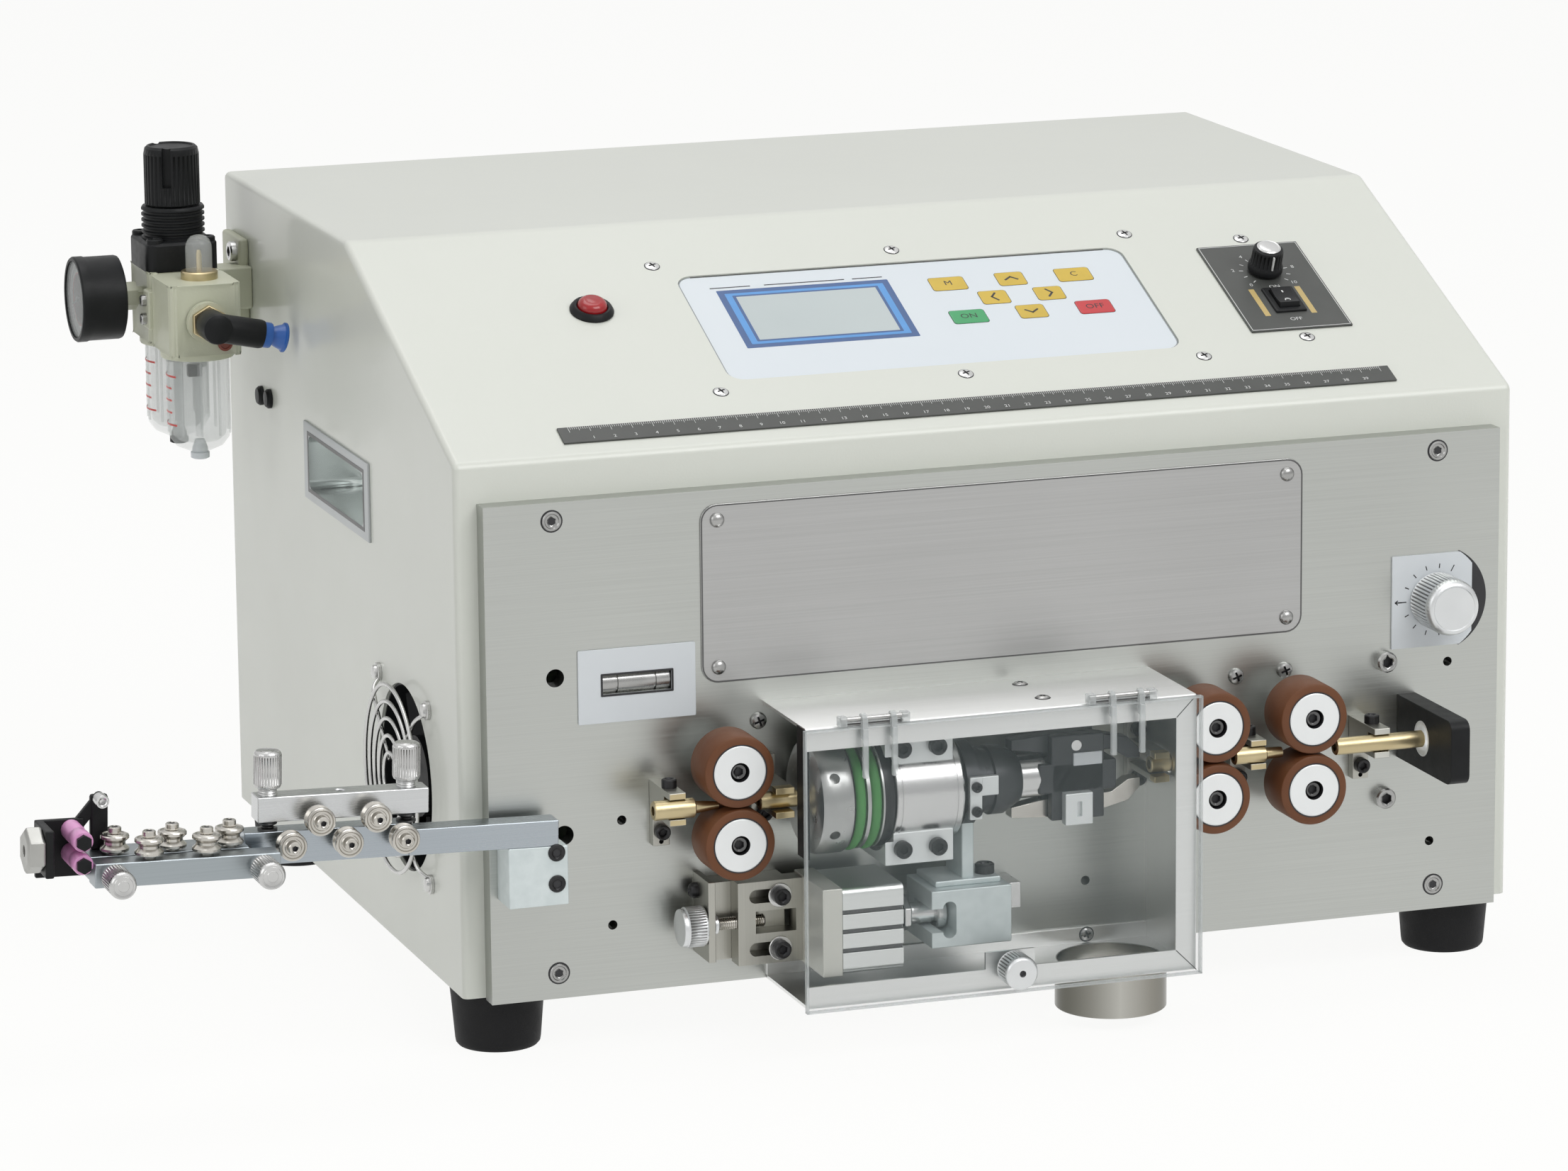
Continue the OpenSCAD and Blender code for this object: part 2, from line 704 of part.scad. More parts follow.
// Recessed handles, one in each side wall: a rim outside and a tray inside
module handle_trays() {
    color([0.6, 0.62, 0.63])
        for (s = [-1, 1]) scale_x(s) difference() {
            union() {
                block([-side_x - handle_t, handle_y - handle_l / 2, handle_z - handle_h / 2],
                    [-side_x, handle_y + handle_l / 2, handle_z + handle_h / 2]);
                block([-side_x - eps, handle_y - handle_l / 2 + 4.3, handle_z - handle_h / 2 + 4.3],
                    [-side_x + handle_deep, handle_y + handle_l / 2 - 4.3, handle_z + handle_h / 2 - 4.3]);
            }
            block([-side_x - 2 * handle_t, handle_y - handle_l / 2 + handle_rim,
                handle_z - handle_h / 2 + 6],
                [-side_x + handle_deep - handle_t, handle_y + handle_l / 2 - handle_rim,
                handle_z + handle_h / 2 - 6]);
        }
}

module scale_x(s) {
    mirror([s > 0 ? 1 : 0, 0, 0]) children();
}

// Square fan frame with a motor bracket, inside the left wall
module fan_frame() {
    x0 = -side_x + sheet_t;
    color([0.1, 0.1, 0.1]) {
        difference() {
            block([x0, fan_y - fan_s / 2, fan_z - fan_s / 2], [x0 + fan_t, fan_y + fan_s / 2, fan_z + fan_s / 2]);
            bar_x(x0 - 1, x0 + fan_t + 1, fan_r, fan_y, fan_z);
        }
        difference() {
            union() {
                bar_x(x0 + fan_t - 4, x0 + fan_t, fan_hub_r, fan_y, fan_z);
                for (a = [45:90:315]) translate([x0 + fan_t - 3, fan_y, fan_z]) rotate([a, 0, 0])
                    translate([0, 0, fan_hub_r - 1]) block([-0.5, -2, 0], [2.5, 2, fan_r - fan_hub_r + 2]);
            }
            bar_x(x0, x0 + fan_t + 1, 2 + run, fan_y, fan_z);
        }
    }
}

// Fan rotor: a hub on a pin, with seven pitched blades
module fan_rotor() {
    x0 = -side_x + sheet_t;
    color([0.14, 0.14, 0.14]) translate([x0, fan_y, fan_z]) rotate([0, 90, 0]) {
        translate([0, 0, 4]) cylinder(h = fan_t - 9, r = fan_hub_r);
        translate([0, 0, fan_t - 6]) cylinder(h = 6, r = 2);
        for (i = [0:6]) rotate(i * 360 / 7) translate([fan_hub_r - 1, 0, fan_t / 2 - 0.5]) rotate([35, 0, 0])
            translate([0, -9, -1]) cube([fan_r - fan_hub_r - 1, 18, 2]);
    }
}

// Finger guard: rings on four spokes that step down to ears under the screws
module fan_guard() {
    ear_r = fan_holes * sqrt(0.5);
    color([0.75, 0.75, 0.75]) translate([-side_x, fan_y, fan_z]) {
        for (r = [12:8:44]) translate([-guard_out, 0, 0]) rotate([0, 90, 0])
            rotate_extrude() translate([r - wire_r, -wire_r]) square(2 * wire_r);
        for (a = [45:90:315]) rotate([a, 0, 0]) {
            block([-guard_out + 0.4, -wire_r, 10], [-guard_out + 2.2, wire_r, ear_r - 6]);
            block([-guard_out + 0.4, -wire_r, ear_r - 8], [-0.2, wire_r, ear_r - 6]);
            difference() {
                union() {
                    block([-1.8, -wire_r, ear_r - 7], [-0.2, wire_r, ear_r]);
                    translate([-1.6, 0, ear_r]) rotate([0, 90, 0]) cylinder(h = 1.6, r = 4.5);
                    translate([-3.6, 0, ear_r]) rotate([0, 90, 0]) cylinder(h = 3, r = 3.4);
                }
                translate([-4.4, 0, ear_r]) rotate([0, 90, 0]) cylinder(h = 2, r = 1.6, $fn = 6);
            }
        }
    }
}

// Filter-regulator and lubricator bodies, joined by a clamp that is bolted to the wall
module air_unit_body() {
    color([0.78, 0.77, 0.68]) difference() {
        union() {
            for (y = [reg_y, lub_y])
                block([air_x - air_half_x, y - air_half_y, air_z0], [air_x + air_half_x, y + air_half_y, air_z1]);
            block([air_x - 12, lub_y + air_half_y - eps, air_z0 + 6],
                [air_x + 12, reg_y - air_half_y + eps, air_z1 - 6]);
            block([air_x, reg_y + 2, air_z0 + 10], [-side_x, reg_y + air_half_y - 0.5, air_z1 - 4]);
            block([-side_x - 5, reg_y + 8, air_z0 - 2], [-side_x, reg_y + 42, air_z1 + 9]);
            block([air_x - air_half_x, reg_y - air_half_y, air_z1 - eps],
                [air_x + air_half_x, reg_y + air_half_y, air_z1 + bonnet_h]);
            bar_z(air_z1 + bonnet_h - eps, air_z1 + bonnet_h + neck_h, neck_r, air_x, reg_y);
            bar_y(lub_y - air_half_y - 4, lub_y - air_half_y + eps, 10, air_x, air_port_z);
            bar_y(reg_y + air_half_y - eps, reg_y + air_half_y + 6, 10, air_x, air_port_z);
        }
        bar_y(lub_y - air_half_y - 5, lub_y - 5, 5, air_x, air_port_z);
        bar_y(reg_y + 5, reg_y + air_half_y + 7, 5, air_x, air_port_z);
        bar_z(air_z1 + bonnet_h + 2, air_z1 + bonnet_h + neck_h + 1, 4 + run, air_x, reg_y);
        bar_x(air_x - air_half_x - 1, air_x - 8, 4.5, reg_y, gauge_z);
    }
}

// Two clear bowls under the bodies and the sight dome on the lubricator
module air_bowls() {
    color([0.85, 0.9, 0.9, 0.5]) {
        for (y = [reg_y, lub_y]) translate([air_x, y, air_z0 - bowl_h]) rotate_extrude() polygon([
            [0, 0], [5, 0], [5, 4], [bowl_d / 2 - 4, 7], [bowl_d / 2, 13], [bowl_d / 2, bowl_h],
            [bowl_d / 2 - bowl_t, bowl_h], [bowl_d / 2 - bowl_t, 14], [bowl_d / 2 - 5, 9], [0, 7]]);
        translate([air_x + 2, lub_y, air_z1]) rotate_extrude() polygon(concat(
            [[0, 0], [9, 0], [9, 4], [6.5, 4], [6.5, 15]],
            [for (a = [15:15:90]) [6.5 * cos(a), 15 + 6.5 * sin(a)]]));
    }
}

// Dial gauge that screws into the regulator, facing away from the wall
module pressure_gauge() {
    color([0.08, 0.08, 0.08]) difference() {
        union() {
            bar_x(gauge_x1 - gauge_deep, gauge_x1, gauge_d / 2, reg_y, gauge_z);
            bar_x(gauge_x1 - eps, air_x - air_half_x + 8, 4.4, reg_y, gauge_z);
            bar_x(gauge_x1 - eps, air_x - air_half_x, 7, reg_y, gauge_z);
        }
        bar_x(gauge_x1 - gauge_deep - 1, gauge_x1 - gauge_deep + 3, gauge_d / 2 - 2, reg_y, gauge_z);
    }
}

// Push-in elbow on the outlet port, turned to the wall, with its collar and a plug
module air_fittings() {
    y1 = lub_y - air_half_y - 4;
    elbow_y = y1 - 13;
    color([0.1, 0.1, 0.12]) {
        bar_y(y1 - 3, y1, 9, air_x, air_port_z);
        bar_y(y1 - eps, y1 + 8, 4.8, air_x, air_port_z);
        bar_y(elbow_y - 8, y1 - 3 + eps, 7.5, air_x, air_port_z);
        translate([air_x, elbow_y, air_port_z]) rotate([0, 12, 0]) {
            bar_x(0, 24, 7, 0, 0);
            bar_x(24 - eps, 28, 6.2, 0, 0);
            cone_x(28 - eps, 34, 4, 6.5, 0, 0);
            bar_x(34 - eps, 35.5, 7.2, 0, 0);
        }
    }
}

// Beam of the straightener: square bar, narrow bar for the level rollers, wide end for the side rollers
module arm_beam() {
    color([0.7, 0.71, 0.72]) on_arm() difference() {
        union() {
            block([bar_joint_x, beam_y0, beam_z0], [beam_x1, beam_y1, beam_z1]);
            block([level_end_x, beam_y0 + 0.5, beam_z0], [bar_joint_x + eps, beam_y1, level_z1]);
            block([beam_end_x, 0.8, beam_z0], [level_end_x + eps, beam_y1, side_bar_z1]);
            for (i = [-2, 0, 2]) {
                level_stud(level_x + i * groove_pitch, -groove_off);
                side_stud(side_x0 + i * groove_pitch, groove_off);
            }
            for (x = thumb_x) bar_z(level_z1 - eps, level_z1 + 1, 4.5, x, beam_y0 + arm_bar / 2);
        }
        for (x = thumb_x) bar_z(beam_z0 - 1, level_z1 + 2, thumb_shank + 0.1, x, beam_y0 + arm_bar / 2);
        for (x = front_thumb_x) bar_y(0, beam_y1 + 1, thumb_shank + 0.1, x, front_thumb_z);
        for (x = [-58, -68]) {
            bar_z(beam_z1 - 5, beam_z1 + 1, 4, x, beam_y0 + arm_bar / 2);
        }
    }
}

// Stud with a head for a roller that turns about Y
module level_stud(x, z) {
    bar_y(-groove_w / 2 - 1.5, beam_y0 + 2, stud_r, x, z);
    bar_y(groove_w / 2 + 0.3, beam_y0 + 2, stud_r + 1.2, x, z);
    bar_y(-groove_w / 2 - 2, -groove_w / 2 - 0.3, stud_r + 1.2, x, z);
}

// Stud with a head for a roller that turns about Z
module side_stud(x, y) {
    bar_z(side_bar_z1 - 2, groove_w / 2 + 1.5, stud_r, x, y);
    bar_z(side_bar_z1 - 2, -groove_w / 2 - 0.3, stud_r + 1.2, x, y);
    bar_z(groove_w / 2 + 0.3, groove_w / 2 + 4, stud_r + 1.2, x, y);
}

// Grooved straightening roller about Z
module groove_roller() {
    r = groove_d / 2;
    w = groove_w / 2;
    color([0.6, 0.6, 0.6]) rotate_extrude() polygon([
        [stud_r + run, -w], [r - 1, -w], [r, -w + 1], [r, -w + 2], [r - 1.7, -0.6], [r - 1.7, 0.6],
        [r, w - 2], [r, w - 1], [r - 1, w], [stud_r + run, w]]);
}

module level_roller(i) {
    on_arm() translate([level_x + (i - 3) * groove_pitch, 0, i % 2 == 1 ? -groove_off : groove_off])
        rotate([90, 0, 0]) groove_roller();
}

module side_roller(i) {
    on_arm() translate([side_x0 + (i - 3) * groove_pitch, i % 2 == 1 ? groove_off : -groove_off, 0])
        groove_roller();
}

// Knurled head on a threaded shank, pointing along -Z from its seat
module thumbscrew(shank) {
    translate([0, 0, 3 - eps]) cylinder(h = thumb_l, r = thumb_r);
    cylinder(h = 3, r = thumb_r - 2);
    translate([0, 0, -shank]) cylinder(h = shank + eps, r = thumb_shank);
}

// Upper roller bar with its two rollers' studs and its two thumbscrews
module upper_bar() {
    color([0.72, 0.73, 0.74]) on_arm() {
        block([upper_x0, beam_y0, upper_z0], [upper_x1, beam_y1, upper_z0 + upper_h]);
        for (i = [-1, 1]) level_stud(level_x + i * groove_pitch, groove_off);
        for (x = thumb_x) translate([x, beam_y0 + arm_bar / 2, upper_z0 + upper_h - eps])
            thumbscrew(upper_h + 12);
    }
}

// Front roller bar with its two rollers' studs and its two thumbscrews
module front_bar() {
    color([0.66, 0.68, 0.7]) on_arm() {
        block([front_x0, front_y0, beam_z0], [front_x1, front_y1, side_bar_z1]);
        for (i = [-1, 1]) side_stud(side_x0 + i * groove_pitch, -groove_off);
        for (x = front_thumb_x) translate([x, front_y0 + eps, front_thumb_z]) rotate([90, 0, 0])
            thumbscrew(front_y1 - front_y0 + 12);
    }
}

// End guide: bracket, eye nut, two ceramic rods and a lever with its screw
module end_guide() {
    color([0.15, 0.15, 0.16]) on_arm() difference() {
        union() {
            block([eye_x - 16, 12, beam_z0], [beam_end_x, 15, 10]);
            block([eye_x - 16, -8, -11.5], [eye_x - 12, 13, 10]);
            for (z = [-1, 1]) bar_y(-12, 13, rod_r, eye_x, z * rod_up);
            for (z = [-1, 1]) bar_y(-14.5, -12 + eps, rod_r - 1, eye_x, z * rod_up);
            translate([eye_x - 24, 0, 0]) rotate([0, 90, 0]) cylinder(h = 8 + eps, r = 10.5, $fn = 6);
            block([beam_end_x + 3, post_y, side_bar_z1], [beam_end_x + 11, post_y + 4, 20]);
            bar_y(post_y - 6, post_y + 3, 3.2, beam_end_x + 7, 18);
            translate([beam_end_x + 7, 0, 18]) rotate([0, 220, 0])
                block([-2, post_y + 0.5, 0], [2, post_y + 3.5, 18]);
        }
        bar_x(eye_x - 30, eye_x - 8, 2.5, 0, 0);
    }
}

// Bent steel box: top, right wall and floor with a lip round the window, open at the left, and a chip chute
module cutter_box() {
    color([0.74, 0.74, 0.73]) difference() {
        union() {
            block([box_left, box_y, box_z1 - box_t], [box_right, plate_y, box_z1]);
            block([box_right - box_t, box_y, box_z0], [box_right, plate_y, box_z1]);
            block([box_left, box_y, box_z0], [box_right, plate_y, box_z0 + box_t]);
            block([box_left, box_y, box_z1 - lip], [box_right, box_y + box_t, box_z1]);
            block([box_right - lip, box_y, box_z0], [box_right, box_y + box_t, box_z1]);
            block([box_left, box_y, box_z0], [box_right, box_y + box_t, box_z0 + lip]);
            block([knob_x - 12, box_y, box_z0], [knob_x + 12, box_y + box_t, knob_z + 7]);
            block([box_left, plate_y - box_t, box_z0], [box_right, plate_y, box_z0 + 9]);
            block([box_left, box_y + eps, box_z0 + 70], [box_left + box_t, box_y + 12, box_z1 - eps]);
            bar_z(box_z0 - chute_l, box_z0 + eps, chute_d / 2, chute_x, chute_y);
            for (x = hinge_x) {
                block([x - hinge_l / 2, box_y, box_z1 - eps], [x + hinge_l / 2, hinge_y + 9, box_z1 + 1]);
                for (s = [-1, 1]) block([x + s * hinge_l / 2 - 2, hinge_y - 1.5, box_z1 - eps],
                    [x + s * hinge_l / 2 + 2, hinge_y + 3, hinge_z + 1.5]);
                bar_x(x - hinge_l / 2, x + hinge_l / 2, hinge_pin_r, hinge_y, hinge_z);
            }
        }
        bar_z(box_z0 - chute_l - 1, box_z0 + 2 * box_t, chute_d / 2 - 1, chute_x, chute_y);
        bar_x(box_right - 2 * box_t, box_right + 1, tube_r + 1, wire_y, wire_z);
        bar_y(box_y - 1, box_y + 2 * box_t, 3.2, knob_x, knob_z);
        screw_holes([box_screws[1]], plate_y - 2 * box_t, plate_y + 1);
        for (y = top_screw_y) bar_z(box_z1 - 2 * box_t, box_z1 + 2, screw_r_small + run, top_screw_x, y);
    }
}

// Clear window with two hinge straps over its top edge
module window_pane() {
    color([0.85, 0.9, 0.92, 0.4]) difference() {
        union() {
            block([box_left - pane_over, pane_y0, box_z0 - 1], [box_right + pane_over, pane_y1, box_z1 - 0.5]);
            for (x = hinge_x, s = [-1, 1]) {
                difference() {
                    union() {
                        bar_x(x + s * 7 - 3, x + s * 7 + 3, hinge_r, hinge_y, hinge_z);
                        block([x + s * 7 - 3, pane_y0 - 1.5, box_z1 - 6], [x + s * 7 + 3, hinge_y, hinge_z]);
                    }
                    bar_x(x - hinge_l, x + hinge_l, hinge_pin_r + run, hinge_y, hinge_z);
                }
                block([x + s * 7 - 2, pane_y0 - 2.5, box_z1 - 24], [x + s * 7 + 2, pane_y0 + eps, box_z1 - 2]);
            }
        }
        bar_y(pane_y0 - 1, pane_y1 + 1, 3 + run, knob_x, knob_z);
    }
}

// Knurled knob whose shank holds the window to the box
module window_knob() {
    color([0.75, 0.75, 0.75]) {
        bar_y(pane_y0 - 13, pane_y0 - 0.2, knob_r, knob_x, knob_z);
        bar_y(pane_y0 - 0.3, box_y + box_t + 2, 3, knob_x, knob_z);
    }
}

// Spindle housing between two clamps on the plate
module spindle_housing() {
    color([0.7, 0.7, 0.7]) difference() {
        union() {
            bar_x(housing_x0, housing_x1, housing_d / 2, wire_y, wire_z);
            for (s = [-1, 1])
                block([housing_x0 - 4, housing_seat_y, wire_z + s * 23.5 - 7.5],
                    [housing_x1 - 4, plate_y, wire_z + s * 23.5 + 7.5]);
        }
        bar_x(housing_x0 - 5, housing_x1 + 1, spindle_r + run, wire_y, wire_z);
        screw_holes(housing_screws, housing_seat_y - 1, housing_seat_y + 11);
        bar_x(housing_x0 - 5, housing_x0, cap_d / 2 + 1, wire_y, wire_z);
    }
}

// Rotor: end cap, belt pulley, hollow shaft and carrier with the arms' pins
module spindle() {
    color([0.55, 0.56, 0.57]) difference() {
        union() {
            bar_x(cap_x0, cap_x1, cap_d / 2, wire_y, wire_z);
            bar_x(cap_x1 - eps, ring_x1, cap_d / 2 - 1, wire_y, wire_z);
            bar_x(ring_x1 - eps, head_x0 + 4, spindle_r, wire_y, wire_z);
            translate([head_x0, wire_y, wire_z]) {
                block([0, -10, -7], [head_l, 10, 7]);
                for (s = [-1, 1]) {
                    block([6, s > 0 ? arm_w / 2 + 0.6 : -10, -20], [32, s > 0 ? 10 : -arm_w / 2 - 0.6, 20]);
                    bar_y(-10, 10, pivot_r, pivot_x - head_x0, s * pivot_z);
                }
            }
        }
        for (x = belt_x) translate([x, wire_y, wire_z]) rotate([0, 90, 0]) rotate_extrude() {
            translate([belt_r, 0]) circle(belt_d / 2 + groove_gap);
            translate([belt_r, -belt_d / 2 - groove_gap]) square([10, belt_d + 2 * groove_gap]);
        }
        for (a = [0:60:300]) translate([(cap_x0 + cap_x1) / 2, wire_y, wire_z]) rotate([a, 0, 0])
            translate([0, 0, cap_d / 2 - 5]) cylinder(h = 10, r = 2.5);
        bar_x(cap_x0 - 1, blade_x, wire_bore / 2, wire_y, wire_z);
    }
}

// Blade arm: rides on the cone at its tail, swings on the carrier's pin and holds a blade at its nose
module blade_arm(s) {
    tail_x = collar_x0 + collar_l + 5;
    tail_z = collar_r - (collar_r - cone_r) * (5 / cone_l) + 0.5;
    color([0.16, 0.16, 0.17]) translate([0, wire_y, wire_z]) mirror([0, 0, s > 0 ? 0 : 1])
        difference() {
            along_y(-arm_w / 2, arm_w / 2) polygon([
                [tail_x, tail_z], [tail_x + 3, tail_z - 0.3], [head_x0 + 4, 11], [pivot_x, 10.5],
                [head_x0 + head_l, 10], [blade_x - 6, 5], [blade_x, 4.6], [blade_x, 9], [blade_x - 6, 15],
                [pivot_x + 6, 20], [pivot_x - 6, 20], [tail_x, tail_z + 5]]);
            bar_y(-arm_w, arm_w, pivot_r + run, pivot_x, pivot_z);
        }
}

// Block on its rail, with a T-slot for the rod, a fork and the collar with the cone
module fork_slide() {
    color([0.6, 0.66, 0.72]) difference() {
        union() {
            block([block_x0, block_y0, block_z0], [block_x1, block_y1, block_z1]);
            block([fork_x0, wire_y - 11, block_z1 - eps], [fork_x0 + fork_t, wire_y + 11, wire_z]);
            bar_x(fork_x0, fork_x0 + fork_t, collar_r + 4, wire_y, wire_z);
            bar_x(collar_x0, collar_x0 + collar_l, collar_r, wire_y, wire_z);
            cone_x(collar_x0 + collar_l - eps, collar_x0 + collar_l + cone_l, collar_r, cone_r, wire_y, wire_z);
        }
        bar_x(collar_x0 - 1, collar_x0 + collar_l + cone_l + 1, spindle_r + 0.3, wire_y, wire_z);
        block([block_x0 - 1, block_y0 - 1, cyl_z - rod_d / 2 - 0.6],
            [block_x0 + 7, cyl_y + rod_d / 2 + 1, cyl_z + rod_d / 2 + 0.6]);
        block([block_x0 + 6, block_y0 - 1, cyl_z - head_r - 0.6],
            [block_x0 + 12, cyl_y + head_r + 1, cyl_z + head_r + 0.6]);
        block([block_x0 - 1, rail_y0, cyl_z - rail_h / 2 - slip], [block_x1 + 1, block_y1 + 1,
            cyl_z + rail_h / 2 + slip]);
    }
}

// Piston, rod, lock nut and the head that sits in the T-slot
module cylinder_rod() {
    color([0.72, 0.72, 0.72]) {
        bar_x(cyl_x0 + 14, cyl_x0 + 22, piston_r, cyl_y, cyl_z);
        bar_x(cyl_x0 + 22 - eps, block_x0 + 7, rod_d / 2, cyl_y, cyl_z);
        bar_x(block_x0 + 6.6, block_x0 + 11.4, head_r, cyl_y, cyl_z);
        translate([cyl_x1 + 5, cyl_y, cyl_z]) rotate([0, 90, 0]) cylinder(h = 4, r = 8, $fn = 6);
    }
}

// Compact air cylinder: grooved body on an end plate
module air_cylinder() {
    color([0.8, 0.8, 0.78]) difference() {
        block([cyl_x0, cyl_y0, cyl_z - cyl_s / 2], [cyl_x1, cyl_y1, cyl_z + cyl_s / 2]);
        bar_x(cyl_x0 + 9, cyl_x1 - 6, piston_r + run, cyl_y, cyl_z);
        bar_x(cyl_x0 + 9, cyl_x1 + 1, rod_d / 2 + run, cyl_y, cyl_z);
        for (z = [-9, 0, 9]) block([cyl_x0 + 9.5, cyl_y0 - 1, cyl_z + z - 1], [cyl_x1 + 1, cyl_y0 + 1.5, cyl_z + z + 1]);
    }
}

// Slide plate with two slots and a window, bolted to the end of the cylinder
module slide_plate() {
    color([0.62, 0.61, 0.56]) difference() {
        block([slide_x0, slide_y0, slide_z0], [cyl_x0, slide_y0 + slide_t, slide_z0 + slide_h]);
        for (z = [-1, 1]) along_y(slide_y0 - 1, slide_y0 + slide_t + 1)
            translate([clamp_x - 5, cyl_z + z * slot_up]) slot(slot_l, slot_h);
        block([slide_x0 + 8.5, slide_y0 - 1, cyl_z - 5], [cyl_x0 - 3, slide_y0 + slide_t + 1, cyl_z + 5.5]);
        bar_x(slide_x0 - 1, slide_x0 + 9, screw_r + run, screw_y, cyl_z);
    }
}

// Knurled knob on the threaded rod that moves the slide plate
module adjuster_knob() {
    color([0.7, 0.69, 0.64]) {
        bar_x(base_x0 - wall_t - 12.3, base_x0 - wall_t - 0.3, 9.4, screw_y, cyl_z);
        bar_x(base_x0 - wall_t - 1, slide_x0 + 14, screw_r, screw_y, cyl_z);
        bar_x(base_x0 + 0.3, base_x0 + 2.3, screw_r + 1.5, screw_y, cyl_z);
    }
}

// Pieces bolted to the plate: guide brackets, adjuster bracket, slide rail and arm block
module plate_brackets() {
    color([0.66, 0.67, 0.67]) {
        for (i = clamp_guides) difference() {
            x = guide_x[i];
            w = clamp_w / 2;
            r = tubes[i][2] + run;
            union() {
                block([x - w, plate_y - 5, wire_z - clamp_drop], [x + w, plate_y, wire_z]);
                block([x - w, wire_y - 2, wire_z - r - 3], [x + w, plate_y, wire_z + r + 3]);
            }
            block([x - w - 1, wire_y - 3, wire_z - r], [x + w + 1, wire_y + r + 2, wire_z + r]);
            bar_z(wire_z + r - 4, wire_z + r + 4, screw_r_small + run, x, clamp_screw_y);
            screw_holes(guide_screws, plate_y - 6, plate_y + 1);
        }
        for (i = box_guides) difference() {
            x = guide_x[i];
            w = bracket_w[i] / 2;
            r = tubes[i][2];
            union() {
                block([x - w, plate_y - 5, wire_z - bracket_h / 2], [x + w, plate_y, wire_z + bracket_h / 2]);
                for (s = [-1, 1]) translate([0, 0, wire_z + s * (r + run + 1.5)])
                    block([x - w * 0.75, wire_y - 8, -1.5], [x + w * 0.75, plate_y, 1.5]);
            }
            screw_holes(guide_screws, plate_y - 6, plate_y + 1);
        }
        difference() {
            union() {
                block([base_x0, base_y0, slide_z0 + 1], [cyl_x0 - 5, plate_y, slide_z0 + slide_h - 1]);
                block([base_x0 - wall_t, slide_y0 - 0.6, slide_z0 + 3],
                    [base_x0 + eps, plate_y, slide_z0 + slide_h + 2]);
            }
            bar_x(base_x0 - wall_t - 1, base_x0 + 1, screw_r + run, screw_y, cyl_z);
            bar_x(base_x0 - eps, cyl_x0, screw_r + 2, screw_y, cyl_z);
            screw_holes(clamp_screws, slide_y0, plate_y - 3);
            bar_x(base_x0 - wall_t - 1, base_x0 + 9, screw_r_small + run, wall_screw[0], wall_screw[1]);
        }
        block([block_x0 - 8, rail_y0 + slip, cyl_z - rail_h / 2], [block_x1 + 16, plate_y, cyl_z + rail_h / 2]);
        difference() {
            block([arm_block_x0, plate_y - arm_block_d, arm_block_z0],
                [arm_block_x0 + arm_block_w, plate_y, wire_z - 8]);
            on_arm() block([-120, -60, beam_z0], [20, 60, 40]);
            screw_holes(block_screws, plate_y - arm_block_d - 1, plate_y + 1);
        }
    }
}

// Brass guide tubes along the wire line, the first one with a long tip
module wire_guides() {
    color([0.75, 0.6, 0.32]) difference() {
        union() {
            for (t = tubes) bar_x(t[0], t[1], t[2], wire_y, wire_z);
            cone_x(tubes[0][1] - eps, pair_x[0] - 7, 3, 1.8, wire_y, wire_z);
        }
        bar_x(tubes[0][0] - 1, tubes[4][1] + 1, wire_bore / 2, wire_y, wire_z);
        cone_x(tubes[0][0] - eps, tubes[0][0] + 3, 3.4, wire_bore / 2, wire_y, wire_z);
    }
}

// Black outlet block with a round hole for the cut wires
module outlet_block() {
    color([0.08, 0.08, 0.09]) difference() {
        along_x(out_block_x, out_block_x + out_block_t) translate([plate_y - out_block_l / 2, wire_z]) union() {
            translate([-2.5, 0]) round_rect(out_block_l - 5, out_block_h, 5);
            translate([out_block_l / 4, 0]) square([out_block_l / 2, out_block_h], center = true);
        }
        bar_x(out_block_x - 1, out_block_x + out_block_t + 1, 8.5, wire_y, wire_z);
    }
}

// Feed motors behind the lower rollers and the belt motor behind the spindle
module drive_motors() {
    color([0.2, 0.2, 0.22]) {
        for (x = pair_x) {
            z = wire_z - axis_off;
            difference() {
                block([x - motor_s / 2, motor_y0, z - motor_s / 2], [x + motor_s / 2, motor_y0 + 48, z + motor_s / 2]);
                bar_y(motor_y0 - 1, motor_y0 + motor_bore_l, shaft_d / 2 + run, x, z);
            }
            for (a = [-1, 1], b = [-1, 1])
                bar_y(front_y, motor_y0 + eps, post_d / 2, x + a * post_off, z + b * post_off);
        }
        block([ring_x1 + 4, belt_motor_y - 26, wire_z - 26], [ring_x1 + 68, belt_motor_y + 26, wire_z + 26]);
        block([ring_x1 + 10, belt_motor_y - 20, under_z + base_t], [ring_x1 + 60, belt_motor_y + 20, wire_z - 25]);
        difference() {
            bar_x(cap_x1, ring_x1 + 5, cap_d / 2 - 1, belt_motor_y, wire_z);
            for (x = belt_x) translate([x, belt_motor_y, wire_z]) rotate([0, 90, 0]) rotate_extrude() {
                translate([belt_r, 0]) circle(belt_d / 2 + groove_gap);
                translate([belt_r, -belt_d / 2 - groove_gap]) square([10, belt_d + 2 * groove_gap]);
            }
        }
    }
}

// Ball bearings of the six roller shafts
module shaft_bearings() {
    color([0.7, 0.7, 0.7])
        for (x = pair_x, s = [-1, 1]) difference() {
            bar_y(bearing_y0, bearing_y0 + bearing_w, bearing_d / 2, x, wire_z + s * axis_off);
            bar_y(bearing_y0 - 1, bearing_y0 + bearing_w + 1, shaft_d / 2 + run, x, wire_z + s * axis_off);
        }
}

